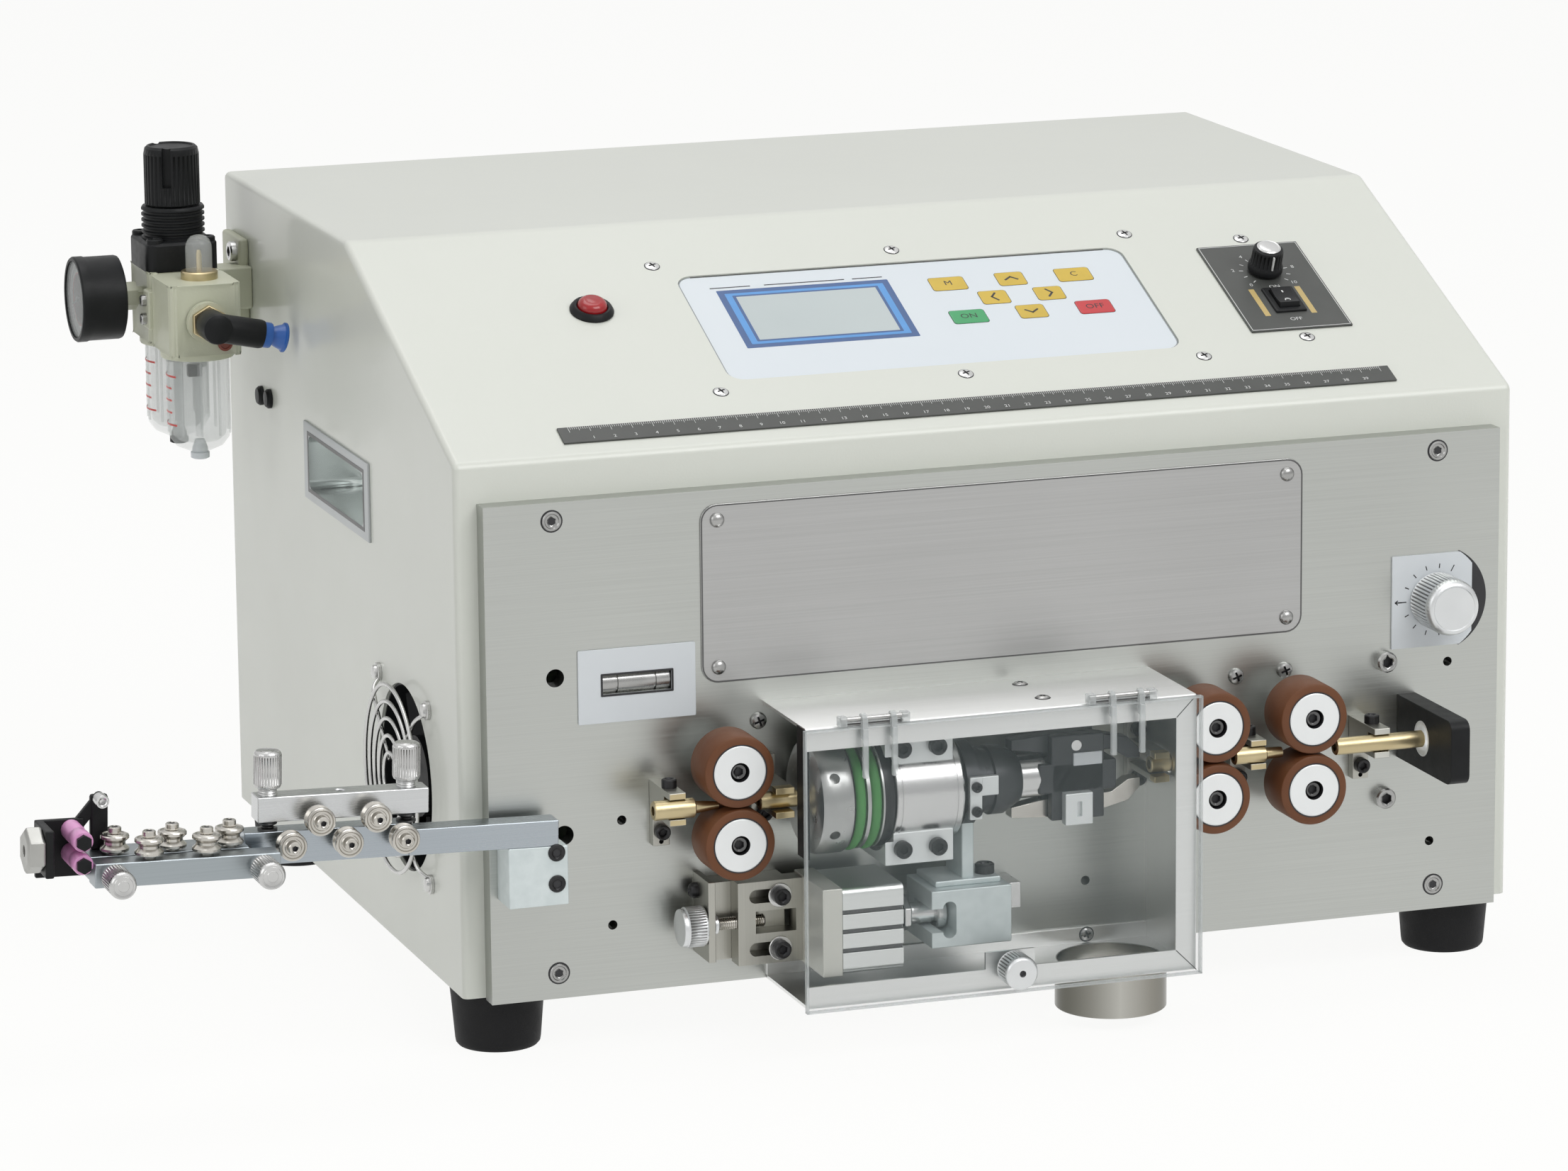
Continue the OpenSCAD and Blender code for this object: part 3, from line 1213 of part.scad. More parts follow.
// Power supply, driver board, air valve and mains inlet
module electronics() {
    color([0.5, 0.52, 0.5]) {
        block([20, 40, under_z + base_t], [180, 140, under_z + base_t + 50]);
        block([-120, 40, under_z + base_t], [-10, 150, under_z + base_t + 20]);
        block([-200, 100, under_z + base_t], [-150, 130, under_z + base_t + 45]);
        block([inlet_at[0] - 24, back_y - 22, inlet_at[1] - 14], [inlet_at[0] + 24, back_y - base_t, inlet_at[1] + 14]);
        block([inlet_at[0] - 24, back_y - base_t - eps, inlet_at[1] - 14], [inlet_at[0] + 24, back_y, inlet_at[1] + 14]);
        difference() {
            block([inlet_at[0] - 30, back_y, inlet_at[1] - 18], [inlet_at[0] + 30, back_y + 2, inlet_at[1] + 18]);
            block([inlet_at[0] - 20, back_y + 1, inlet_at[1] - 10], [inlet_at[0] + 8, back_y + 3, inlet_at[1] + 10]);
        }
    }
}

// Two round belts from the belt motor to the spindle
module drive_belts() {
    color([0.25, 0.55, 0.25]) for (x = belt_x) translate([x, 0, wire_z]) {
        for (s = [-1, 1]) bar_y(wire_y, belt_motor_y, belt_d / 2, 0, s * belt_r);
        translate([0, wire_y, 0]) half_ring(180);
        translate([0, belt_motor_y, 0]) half_ring(0);
    }
}

module half_ring(turn) {
    rotate([turn, 0, 0]) rotate([0, 90, 0]) rotate_extrude(angle = 180)
        translate([belt_r, 0]) circle(belt_d / 2);
}

// Outline of a gear with straight-sided teeth
function gear_points(r, n) = [
    for (i = [0:n - 1], p = [[-gear_ded, -0.30], [gear_add, -0.12], [gear_add, 0.12], [-gear_ded, 0.30]])
        (r + p[0]) * [cos((i + p[1]) * 360 / n), sin((i + p[1]) * 360 / n)]];

// Feed roller: tyre and hub on a shaft with a gear; lower shafts run on into their motors
module feed_roller(pair, up) {
    s = up ? 1 : -1;
    shaft_end = up ? gear_y0 + gear_w + 3 : motor_y0 + motor_bore_l - 0.5;
    color([0.5, 0.25, 0.16]) translate([pair_x[pair], 0, wire_z + s * axis_off]) {
        difference() {
            bar_y(wire_y - roller_w / 2, wire_y + roller_w / 2, roller_d / 2, 0, 0);
            bar_y(wire_y - roller_w / 2 - 1, wire_y - roller_w / 2 + 5, 4.5, 0, 0);
        }
        difference() {
            bar_y(wire_y - roller_w / 2 + 1.5, wire_y, 3.8, 0, 0);
            translate([0, wire_y - roller_w / 2 + 4, 0]) rotate([90, 0, 0]) cylinder(h = 5, r = 2.2, $fn = 6);
        }
        bar_y(wire_y + roller_w / 2 - eps, wire_y + roller_w / 2 + 5, shaft_d / 2 + 3, 0, 0);
        bar_y(wire_y, shaft_end, shaft_d / 2, 0, 0);
        along_y(gear_y0, gear_y0 + gear_w) rotate(up ? -90 : 90 + 180 / gear_teeth)
            polygon(gear_points(axis_off, gear_teeth));
    }
}

// Knurled dial knob on its spindle
module dial_knob() {
    color([0.78, 0.78, 0.78]) {
        bar_y(plate_y - 23, plate_y - label_t - 0.4, dial_d / 2, dial_at[0], under_z + dial_at[1]);
        bar_y(plate_y - 4, front_y + 6, 4, dial_at[0], under_z + dial_at[1]);
    }
}

// Fluted speed knob with a bright cap
module speed_knob() {
    color([0.08, 0.08, 0.08]) on_slope(speed_at) {
        translate([0, 0, label_t + 1.3]) cylinder(h = 13, r1 = speed_d / 2, r2 = speed_d / 2 - 1.5);
        translate([0, 0, -sheet_t - 5]) cylinder(h = 12, r = 3);
    }
}

// Rocker on a pin across its frame
module rocker() {
    color([0.07, 0.07, 0.07]) on_slope(rocker_at) translate([0, 0, 1]) rotate([0, 90, 0]) {
        intersection() {
            cylinder(h = rocker_w, r = rocker_h / 2, center = true);
            translate([1, 0, 0]) cube([10, 40, 40], center = true);
        }
        cylinder(h = rocker_w + 3, r = 1, center = true);
    }
}

// Cap of the red button
module red_button() {
    color([0.75, 0.05, 0.07]) on_slope(button_at) {
        translate([0, 0, -3.5]) cylinder(h = 8.5, r = button_d / 2);
        translate([0, 0, 5 - eps]) cylinder(h = 1.5, r1 = button_d / 2, r2 = button_d / 2 - 2);
    }
}

// Regulator knob over the threaded neck
module regulator_knob() {
    z0 = air_z1 + bonnet_h + neck_h;
    color([0.07, 0.07, 0.07]) {
        bar_z(z0 + 0.4, z0 + reg_knob_h - neck_h, 13.6, air_x, reg_y);
        bar_z(z0 - neck_h + 4, z0 + 1, 4, air_x, reg_y);
    }
}

// Parts with one module each
cover();
chassis();
front_plate();
screws();
label_plates();
control_panel();
switch_bodies();
rubber_feet();
handle_trays();
fan_frame();
fan_guard();
air_unit_body();
air_bowls();
pressure_gauge();
air_fittings();
arm_beam();
end_guide();
cutter_box();
spindle_housing();
wire_guides();
plate_brackets();
outlet_block();
drive_motors();
shaft_bearings();
electronics();
drive_belts();
feed_roller(0, true);  // feed_roller_left_upper
feed_roller(0, false);  // feed_roller_left_lower
feed_roller(1, true);  // feed_roller_middle_upper
feed_roller(1, false);  // feed_roller_middle_lower
feed_roller(2, true);  // feed_roller_right_upper
feed_roller(2, false);  // feed_roller_right_lower
level_roller(1);  // level_roller_1
level_roller(2);  // level_roller_2
level_roller(3);  // level_roller_3
level_roller(4);  // level_roller_4
level_roller(5);  // level_roller_5
side_roller(1);  // side_roller_1
side_roller(2);  // side_roller_2
side_roller(3);  // side_roller_3
side_roller(4);  // side_roller_4
side_roller(5);  // side_roller_5
spindle();
blade_arm(1);  // blade_arm_upper
blade_arm(-1);  // blade_arm_lower
fork_slide();
cylinder_rod();
slide_plate();
air_cylinder();
adjuster_knob();
window_pane();
window_knob();
dial_knob();
speed_knob();
rocker();
red_button();
regulator_knob();
fan_rotor();
upper_bar();
front_bar();
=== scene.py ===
"""Looks of a bench machine that straightens, feeds, cuts and strips wire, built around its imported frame."""
import json
import math

import bpy
from mathutils import Matrix, Vector

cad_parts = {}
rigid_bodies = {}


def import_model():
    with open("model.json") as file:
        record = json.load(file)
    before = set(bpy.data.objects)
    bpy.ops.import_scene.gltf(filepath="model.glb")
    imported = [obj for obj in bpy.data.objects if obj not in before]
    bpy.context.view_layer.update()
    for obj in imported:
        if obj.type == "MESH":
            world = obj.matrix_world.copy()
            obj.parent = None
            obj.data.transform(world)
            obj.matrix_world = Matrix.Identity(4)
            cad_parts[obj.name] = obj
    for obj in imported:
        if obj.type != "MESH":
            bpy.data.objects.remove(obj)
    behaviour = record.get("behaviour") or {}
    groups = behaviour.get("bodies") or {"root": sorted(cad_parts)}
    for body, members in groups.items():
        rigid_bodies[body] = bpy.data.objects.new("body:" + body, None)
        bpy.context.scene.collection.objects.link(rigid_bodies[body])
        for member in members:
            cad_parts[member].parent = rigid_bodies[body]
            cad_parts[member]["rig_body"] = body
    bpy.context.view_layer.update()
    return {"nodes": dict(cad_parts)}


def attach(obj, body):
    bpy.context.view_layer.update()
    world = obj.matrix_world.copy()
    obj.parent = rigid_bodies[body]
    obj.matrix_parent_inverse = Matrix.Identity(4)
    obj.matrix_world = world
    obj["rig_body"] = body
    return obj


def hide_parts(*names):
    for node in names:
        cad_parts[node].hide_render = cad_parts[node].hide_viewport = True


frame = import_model()

# Studio. The machine stands on a wide pale floor under a large soft lamp in front, a weaker one above and
# one at the left. The camera is a long lens, a little above the bench and to the left of the machine.
MM = 0.001
scene = bpy.context.scene
scene.view_settings.view_transform = "Standard"

camera_turn = math.radians(-18.9026)
camera_rise = math.radians(12.5465)
camera_roll = math.radians(-0.5491)
backward = Vector((math.sin(camera_turn) * math.cos(camera_rise),
                   -math.cos(camera_turn) * math.cos(camera_rise),
                   math.sin(camera_rise)))
level = Vector((math.cos(camera_turn), math.sin(camera_turn), 0))
upright = backward.cross(level)
right = level * math.cos(camera_roll) + upright * math.sin(camera_roll)
up = upright * math.cos(camera_roll) - level * math.sin(camera_roll)
bpy.ops.object.camera_add()
camera = bpy.context.object
camera.data.lens = 157.46
camera.data.sensor_width = 36
camera.data.clip_end = 60
camera.matrix_world = Matrix.Translation((-1.0953, -3.0951, 0.8897)) @ Matrix((
    (right.x, up.x, backward.x, 0), (right.y, up.y, backward.y, 0),
    (right.z, up.z, backward.z, 0), (0, 0, 0, 1)))
scene.camera = camera


class Shade:
    """A socket of a shader, so that shader maths reads as a plain expression."""

    def __init__(self, tree, socket=None):
        self.tree = tree
        self.socket = socket

    def node(self, kind, settings=None, sockets=None, out=0):
        made = self.tree.nodes.new(kind)
        for name, value in (settings or {}).items():
            if name == "stops":
                ramp = made.color_ramp.elements
                while len(ramp) < len(value):
                    ramp.new(0.5)
                for stop, (place, colour) in zip(ramp, value):
                    stop.position = place
                    stop.color = colour
            else:
                setattr(made, name, value)
        for name, value in (sockets or {}).items():
            if isinstance(value, Shade):
                self.tree.links.new(value.socket, made.inputs[name])
            else:
                made.inputs[name].default_value = value
        return Shade(self.tree, made.outputs[out])

    def sum(self, operation, first, second):
        return self.node("ShaderNodeMath", {"operation": operation}, {0: first, 1: second})

    def __add__(self, other):
        return self.sum("ADD", self, other)

    def __radd__(self, other):
        return self.sum("ADD", other, self)

    def __sub__(self, other):
        return self.sum("SUBTRACT", self, other)

    def __rsub__(self, other):
        return self.sum("SUBTRACT", other, self)

    def __mul__(self, other):
        return self.sum("MULTIPLY", self, other)

    def __rmul__(self, other):
        return self.sum("MULTIPLY", other, self)

    def blend(self, low, high):
        return self.node("ShaderNodeMix", {"data_type": "RGBA"}, {0: self, 6: low, 7: high}, out=2)


def seen(tree):
    """1 where a ray comes from the camera, a mirror or a clear piece, and 0 elsewhere."""
    rays = tree.nodes.new("ShaderNodeLightPath")
    by_eye = Shade(tree, rays.outputs["Is Camera Ray"])
    by_gloss = Shade(tree, rays.outputs["Is Glossy Ray"])
    by_glass = Shade(tree, rays.outputs["Is Transmission Ray"])
    return by_eye.sum("MAXIMUM", by_eye, by_gloss.sum("MAXIMUM", by_gloss, by_glass))


world = bpy.data.worlds.new("studio_air")
world.use_nodes = True
scene.world = world
air = world.node_tree
air.nodes.clear()
sky = Shade(air)
height = sky.node("ShaderNodeSeparateXYZ", None, {0: sky.node("ShaderNodeTexCoord")}, out=2)
room = sky.node("ShaderNodeValToRGB", {"stops": [
    (0.0, (0.62, 0.62, 0.62, 1)), (0.12, (0.6, 0.6, 0.6, 1)),
    (0.45, (0.85, 0.85, 0.85, 1)), (1.0, (1, 1, 1, 1))]}, {0: height})
dim = sky.node("ShaderNodeBackground", None, {"Color": (1, 1, 1, 1), "Strength": 0.36})
bright = sky.node("ShaderNodeBackground", None, {"Color": room, "Strength": 1.0})
mixed = sky.node("ShaderNodeMixShader", None, {0: seen(air), 1: dim, 2: bright})
air.links.new(mixed.socket, air.nodes.new("ShaderNodeOutputWorld").inputs[0])

bpy.ops.object.select_all(action="DESELECT")
bpy.ops.mesh.primitive_plane_add(size=40, location=(0, 0, 0))
floor = bpy.context.object
floor.name = "floor"
pale = bpy.data.materials.new("pale_floor")
pale.use_nodes = True
pale.node_tree.nodes.clear()
ground = Shade(pale.node_tree)
lit = ground.node("ShaderNodeBsdfDiffuse", None, {"Color": (0.93, 0.93, 0.92, 1)})
glow = ground.node("ShaderNodeEmission", None, {"Color": (1, 1, 0.99, 1), "Strength": 1.0})
veil = ground.node("ShaderNodeMixShader", None, {0: seen(pale.node_tree) * 0.93, 1: lit, 2: glow})
pale.node_tree.links.new(veil.socket, pale.node_tree.nodes.new("ShaderNodeOutputMaterial").inputs[0])
floor.data.materials.append(pale)


def lamp(name, place, aim, width, height, power):
    """A flat soft lamp that faces a point."""
    bpy.ops.object.light_add(type="AREA", location=place)
    light = bpy.context.object
    light.name = name
    light.data.shape = "RECTANGLE"
    light.data.size = width
    light.data.size_y = height
    light.data.energy = power
    light.rotation_euler = (Vector(aim) - Vector(place)).to_track_quat("-Z", "Y").to_euler()
    return light


lamp("front_lamp", (0.9, -2.3, 2.4), (0, 0, 0.2), 2.2, 1.6, 44)
lamp("top_lamp", (-0.2, 0.4, 2.8), (0, 0, 0.2), 2.0, 1.6, 22)
lamp("left_lamp", (-2.6, -0.9, 1.3), (0, 0, 0.2), 1.4, 1.4, 8)

# Cover. One folded sheet of steel, 1.5 mm thick, with soft bends, powder coated in a warm off-white.
# It is open below and behind, and is cut out for the handles, the fan, the panel and the switches.
SIDE_X = 260
FRONT_Y = -200
BACK_Y = 200
UNDER_Z = 28
TOP_Z = 350
SLOPE_Z = 276
SLOPE_RUN = 177
SHEET = 1.5
slope_turn = math.atan((TOP_Z - SLOPE_Z) / SLOPE_RUN)


def only(piece):
    """Makes one piece the only one selected."""
    bpy.ops.object.select_all(action="DESELECT")
    piece.select_set(True)
    bpy.context.view_layer.objects.active = piece


def smooth(piece, angle):
    """Shades a piece smooth across edges flatter than an angle."""
    only(piece)
    bpy.ops.object.shade_smooth_by_angle(angle=math.radians(angle))


def shift(x, y, z):
    """A move in millimetres."""
    return Matrix.Translation(Vector((x, y, z)) * MM)


def swing(degrees, axis):
    return Matrix.Rotation(math.radians(degrees), 4, axis)


def move(piece, place):
    """Moves a piece within its object, which stays at the origin."""
    piece.data.transform(place)


def settle(piece, name):
    """Names a new piece and puts its place into its mesh, so that its object sits at the origin."""
    piece.name = name
    piece.data.name = name
    only(piece)
    bpy.ops.object.transform_apply(location=True, rotation=True, scale=True)
    return piece


def block(name, low, high):
    """A rough block between two corners, in millimetres."""
    bpy.ops.object.select_all(action="DESELECT")
    middle = [(a + b) / 2 * MM for a, b in zip(low, high)]
    size = [(b - a) * MM for a, b in zip(low, high)]
    bpy.ops.mesh.primitive_cube_add(size=1, location=middle, scale=size)
    return settle(bpy.context.object, name)


def choose(piece, kind, test):
    """Goes into edit mode with the edges or faces selected that pass a test of middle and direction."""
    only(piece)
    bpy.ops.object.mode_set(mode="EDIT")
    bpy.ops.mesh.select_mode(type=kind)
    bpy.ops.mesh.select_all(action="DESELECT")
    bpy.ops.object.mode_set(mode="OBJECT")
    mesh = piece.data
    if kind == "FACE":
        for face in mesh.polygons:
            face.select = test(face.center / MM, face.normal)
    else:
        for edge in mesh.edges:
            a, b = (mesh.vertices[i].co / MM for i in edge.vertices)
            edge.select = test((a + b) / 2, (b - a).normalized())
    bpy.ops.object.mode_set(mode="EDIT")


def done():
    bpy.ops.object.mode_set(mode="OBJECT")


def rounded(piece, width, segments, test):
    """Rounds the edges that pass a test."""
    choose(piece, "EDGE", test)
    bpy.ops.mesh.bevel(offset=width * MM, segments=segments, affect="EDGES")
    done()


def sunk(piece, border, depth, test):
    """Insets the faces that pass a test and moves them out, or in where the depth is negative."""
    choose(piece, "FACE", test)
    bpy.ops.mesh.inset(thickness=border * MM, depth=depth * MM)
    done()


def apply(piece, modifier):
    only(piece)
    bpy.ops.object.modifier_apply(modifier=modifier.name)


def even(piece, angle=50):
    """Smooths the bends of a piece and keeps its flat faces flat."""
    smooth(piece, angle)
    flat = piece.modifiers.new("flat", "WEIGHTED_NORMAL")
    flat.weight = 100
    flat.keep_sharp = True
    apply(piece, flat)
    return piece


def soften(piece, width, segments=2, angle=35):
    """Eases the sharp edges of a piece."""
    easing = piece.modifiers.new("easing", "BEVEL")
    easing.width = width * MM
    easing.segments = segments
    easing.limit_method = "ANGLE"
    easing.angle_limit = math.radians(angle)
    apply(piece, easing)
    return even(piece)


def carve(piece, tool, operation="DIFFERENCE"):
    """Cuts a tool out of a piece, or adds it, and throws the tool away."""
    was_even = piece.data.has_custom_normals
    if was_even:
        only(piece)
        bpy.ops.mesh.customdata_custom_splitnormals_clear()
    cut = piece.modifiers.new("cut", "BOOLEAN")
    cut.operation = operation
    cut.solver = "EXACT"
    cut.object = tool
    cut.material_mode = "TRANSFER" if tool.data.materials else "INDEX"
    apply(piece, cut)
    bpy.data.objects.remove(tool)
    return even(piece) if was_even else piece


def turned(name, steps, at=(0, 0, 0), along=(0, 0, 1), sides=48):
    """A turned piece: a disc whose end face is pushed out and scaled, step by step (radius, height)."""
    bpy.ops.object.select_all(action="DESELECT")
    radius, height = steps[0]
    bpy.ops.mesh.primitive_circle_add(vertices=sides, radius=radius * MM, fill_type="NGON",
                                      location=(0, 0, height * MM))
    piece = bpy.context.object
    settle(piece, name)
    bpy.ops.object.mode_set(mode="EDIT")
    bpy.ops.mesh.select_all(action="SELECT")
    for next_radius, next_height in steps[1:]:
        rise = (next_height - height) * MM
        bpy.ops.mesh.extrude_region_move(TRANSFORM_OT_translate={"value": (0, 0, rise)})
        if next_radius != radius:
            wider = next_radius / radius
            bpy.ops.transform.resize(value=(wider, wider, 1), center_override=(0, 0, next_height * MM))
        radius, height = next_radius, next_height
    bpy.ops.mesh.select_all(action="SELECT")
    bpy.ops.mesh.normals_make_consistent(inside=False)
    done()
    turn = Vector(along).to_track_quat("Z", "Y").to_matrix().to_4x4()
    move(piece, Matrix.Translation(Vector(at) * MM) @ turn)
    bpy.ops.object.shade_smooth_by_angle(angle=math.radians(35))
    return piece


def drill(piece, radius, low, high, *where, **how):
    """Cuts a round hole between two heights along its axis, placed and turned as a turned piece is."""
    return carve(piece, turned("hole", [(radius, low), (radius, high)], *where, **how))


def copy_of(piece, name, place):
    """A copy with its own mesh, moved by a matrix."""
    twin = piece.copy()
    twin.data = piece.data.copy()
    twin.name = name
    scene.collection.objects.link(twin)
    move(twin, place)
    return twin


def unite(name, pieces):
    """Several pieces as one object, each with its own finish."""
    only(pieces[0])
    for piece in pieces:
        piece.select_set(True)
    bpy.ops.object.join()
    whole = bpy.context.object
    whole.name = name
    whole.data.name = name
    return whole


def coat(piece, finish):
    """Gives a piece one finish all over."""
    piece.data.materials.clear()
    piece.data.materials.append(finish)
    return piece


def fasten(piece, body, slot, *nodes):
    """Fixes a finished piece to a body of the frame and hides the plain nodes it stands for."""
    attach(piece, body)
    if nodes:
        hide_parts(*nodes)
    return piece


def finish(name, plain, vary=None):
    """A material: plain values on the shader's sockets, and what varies over the surface linked to them."""
    made = bpy.data.materials.new(name)
    made.use_nodes = True
    shader = made.node_tree.nodes["Principled BSDF"]
    for socket, value in plain.items():
        shader.inputs[socket].default_value = value
    if vary:
        for socket, value in vary(Shade(made.node_tree)).items():
            made.node_tree.links.new(value.socket, shader.inputs[socket])
    return made


def noise(shade, scale, detail=3.0, stretch=(1, 1, 1)):
    """Soft random spots on the piece's own coordinates, stretched along an axis where asked."""
    place = shade.node("ShaderNodeTexCoord", out=3)
    place = shade.node("ShaderNodeMapping", None, {"Vector": place, "Scale": stretch})
    return shade.node("ShaderNodeTexNoise", None, {"Vector": place, "Scale": scale, "Detail": detail})


def bump(shade, height, strength, depth):
    return shade.node("ShaderNodeBump", None, {"Strength": strength, "Distance": depth, "Height": height})


def speckled(name, plain, spots, dark, light, rough=None, grain=None):
    """A material whose colour varies a little over the surface, and where asked its roughness and grain."""
    def vary(s):
        links = {"Base Color": noise(s, spots).blend(dark + (1,), light + (1,))}
        if rough:
            smoothest, spots_of_rough, spread = rough
            links["Roughness"] = smoothest + noise(s, spots_of_rough) * spread
        if grain:
            grains, strength, depth = grain
            links["Normal"] = bump(s, noise(s, grains, 2), strength, depth)
        return links

    return finish(name, plain, vary)


def slope_at(x, up_slope, out=0):
    """Places a piece on the sloping face: X to the right, Y up the slope, Z out of the face."""
    y = FRONT_Y + up_slope * math.cos(slope_turn) - out * math.sin(slope_turn)
    z = SLOPE_Z + up_slope * math.sin(slope_turn) + out * math.cos(slope_turn)
    return shift(x, y, z) @ Matrix.Rotation(slope_turn, 4, "X")


cream = finish("cream_powder_coat", {"Coat Weight": 0.3, "Coat Roughness": 0.1}, lambda s: {
    "Base Color": noise(s, 5, 4).blend((0.69, 0.71, 0.65, 1), (0.745, 0.765, 0.705, 1)),
    "Roughness": 0.30 + noise(s, 40) * 0.14,
    "Normal": bump(s, noise(s, 900, 2), 0.12, 0.0004)})

cover = block("cover_sheet", (-SIDE_X, FRONT_Y, UNDER_Z), (SIDE_X, BACK_Y, TOP_Z))
bpy.ops.object.mode_set(mode="EDIT")
bpy.ops.mesh.select_all(action="SELECT")
bpy.ops.mesh.bisect(plane_co=(0, FRONT_Y * MM, SLOPE_Z * MM), use_fill=True, clear_outer=True,
                    plane_no=(0, -math.sin(slope_turn), math.cos(slope_turn)))
done()
rounded(cover, 3, 4, lambda middle, way: middle.z > UNDER_Z + 1 and middle.y < BACK_Y - 1)
choose(cover, "FACE", lambda middle, normal: normal.z < -0.9 or normal.y > 0.9)
bpy.ops.mesh.delete(type="FACE")
done()
sheet = cover.modifiers.new("sheet", "SOLIDIFY")
sheet.thickness = SHEET * MM
sheet.offset = -1
apply(cover, sheet)

PANEL_W = 225
PANEL_H = 90
PANEL_UP = 97
BUTTON_X = -160
BUTTON_UP = 118
SPEED_X = 176
POT_UP = 110
ROCKER_UP = 84
carve(cover, block("front_opening", (-235.5, FRONT_Y - 5, UNDER_Z - 5), (235.5, FRONT_Y + 8, 244)))
HANDLE_Y = -2
HANDLE_Z = 231.5
for side in (-1, 1):
    carve(cover, block("handle_hole", (side * SIDE_X - 8, HANDLE_Y - 53.5, HANDLE_Z - 15),
                       (side * SIDE_X + 8, HANDLE_Y + 53.5, HANDLE_Z + 15)))
FAN_Y = -110
FAN_Z = 111.5
drill(cover, 44, -6, 6, (-SIDE_X, FAN_Y, FAN_Z), (1, 0, 0), 96)
panel_hole = block("panel_hole", (-PANEL_W / 2, -PANEL_H / 2, -6), (PANEL_W / 2, PANEL_H / 2, 6))
rounded(panel_hole, 8, 6, lambda middle, way: abs(way.z) > 0.9)
move(panel_hole, slope_at(0, PANEL_UP))
carve(cover, panel_hole)
for x, up_slope, radius in ((BUTTON_X, BUTTON_UP, 8.5), (SPEED_X, POT_UP, 4.5)):
    hole = turned("switch_hole", [(radius, -6), (radius, 6)])
    move(hole, slope_at(x, up_slope))
    carve(cover, hole)
rocker_hole = block("rocker_hole", (-7.5, -10, -6), (7.5, 10, 6))
move(rocker_hole, slope_at(SPEED_X, ROCKER_UP))
carve(cover, rocker_hole)
coat(even(cover, 25), cream)
fasten(cover, "machine", "cream_paint", "cover")

# Chassis. A folded base and rear wall in the same coating, which the cover slips over. The rear wall is
# slotted for air and holds the mains inlet.
coat(frame["nodes"]["chassis"], cream)

# Front plate. Thick stainless steel, brushed along the wire line and bolted through the cover.
# All the feed and cutting gear is mounted on it.
PLATE_Y = -210


def brushed(name, dark, light, rough, along="X"):
    """Steel that is brushed along one axis, with broad cloudy patches."""
    stretch = {"X": (9, 1500, 1500), "Y": (1500, 9, 1500), "Z": (1500, 1500, 9)}[along]

    def vary(s):
        lines = noise(s, 1.0, 4, stretch)
        clouds = noise(s, 7, 2)
        return {"Base Color": (lines * 0.6 + clouds * 0.4).blend(dark, light),
                "Roughness": rough + lines * 0.16 + clouds * 0.08,
                "Normal": bump(s, lines, 0.10, 0.0002)}

    return finish(name, {"Metallic": 1.0}, vary)


def eased(node, width, finish_of, slot, segments=2, angle=35):
    """A copy of a plain node with its edges eased, which stands for it."""
    source = frame["nodes"][node]
    body = source["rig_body"]
    piece = source.copy()
    piece.data = source.data.copy()
    piece.name = node + "_eased"
    piece.parent = None
    for key in list(piece.keys()):
        del piece[key]
    scene.collection.objects.link(piece)
    only(piece)
    bpy.ops.object.mode_set(mode="EDIT")
    bpy.ops.mesh.select_all(action="SELECT")
    bpy.ops.mesh.remove_doubles(threshold=0.000002)
    bpy.ops.mesh.dissolve_limited(angle_limit=math.radians(0.5))
    done()
    soften(piece, width, segments, angle)
    coat(piece, finish_of)
    return fasten(piece, body, slot, node)


plate_steel = brushed("plate_steel", (0.39, 0.40, 0.382, 1), (0.585, 0.60, 0.572, 1), 0.2)
eased("front_plate", 0.6, plate_steel, "plate_steel")

# Feet. Four tapered rubber feet, moulded with a soft rim at the bench and screwed to the chassis.
black_rubber = speckled("black_rubber", {"Specular IOR Level": 0.2}, 60, (0.007, 0.007, 0.008),
                        (0.018, 0.018, 0.019), rough=(0.45, 120, 0.25), grain=(1500, 0.2, 0.0004))
foot = turned("foot", [(16.5, 0.2), (18.5, 0), (19.5, 1.2), (19.8, 3), (21.4, 22), (22, 27.4), (21.2, 28)],
              sides=64)
drill(foot, 3.3, -3, 32, sides=32)
feet = [copy_of(foot, "foot", shift(x * 237.5, y * 177.5, 0))
        for x in (-1, 1) for y in (-1, 1)]
bpy.data.objects.remove(foot)
fasten(coat(unite("feet", feet), black_rubber), "machine", "black_rubber", "rubber_feet")

# Plates on the front. The name plate is brushed steel with round corners and an engraved border, left bare.
# The counter plate and the dial plate are white film on aluminium.
label_steel = brushed("label_steel", (0.36, 0.36, 0.355, 1), (0.54, 0.54, 0.535, 1), 0.2)
dark_edge = speckled("dark_edge", {"Metallic": 1.0, "Roughness": 0.4}, 50, (0.10, 0.10, 0.10),
                     (0.16, 0.16, 0.16))


def tablet(name, w, h, t, corner, edge=0.25):
    """A thin plate about the origin in X and Y, with round corners and an eased rim."""
    piece = block(name, (-w / 2, -h / 2, 0), (w / 2, h / 2, t))
    if corner:
        rounded(piece, corner, 6, lambda middle, way: abs(way.z) > 0.9)
    if edge:
        soften(piece, edge, 1, 60)
    return piece


def frame_line(name, w, h, line, t, corner, out):
    """A thin flat line that runs round a plate's border, its top at the height out."""
    ring = tablet(name, w, h, t, corner, 0)
    move(ring, shift(0, 0, out - t))
    inner = tablet("inner", w - 2 * line, h - 2 * line, t * 4, max(corner - line, 0), 0)
    move(inner, shift(0, 0, out - 2.5 * t))
    return carve(ring, inner)


def on_plate(x, z, out=0):
    """Places a piece on the front plate: X to the right, Y up, Z towards the front."""
    return shift(x, PLATE_Y - out, z) @ swing(90, "X")


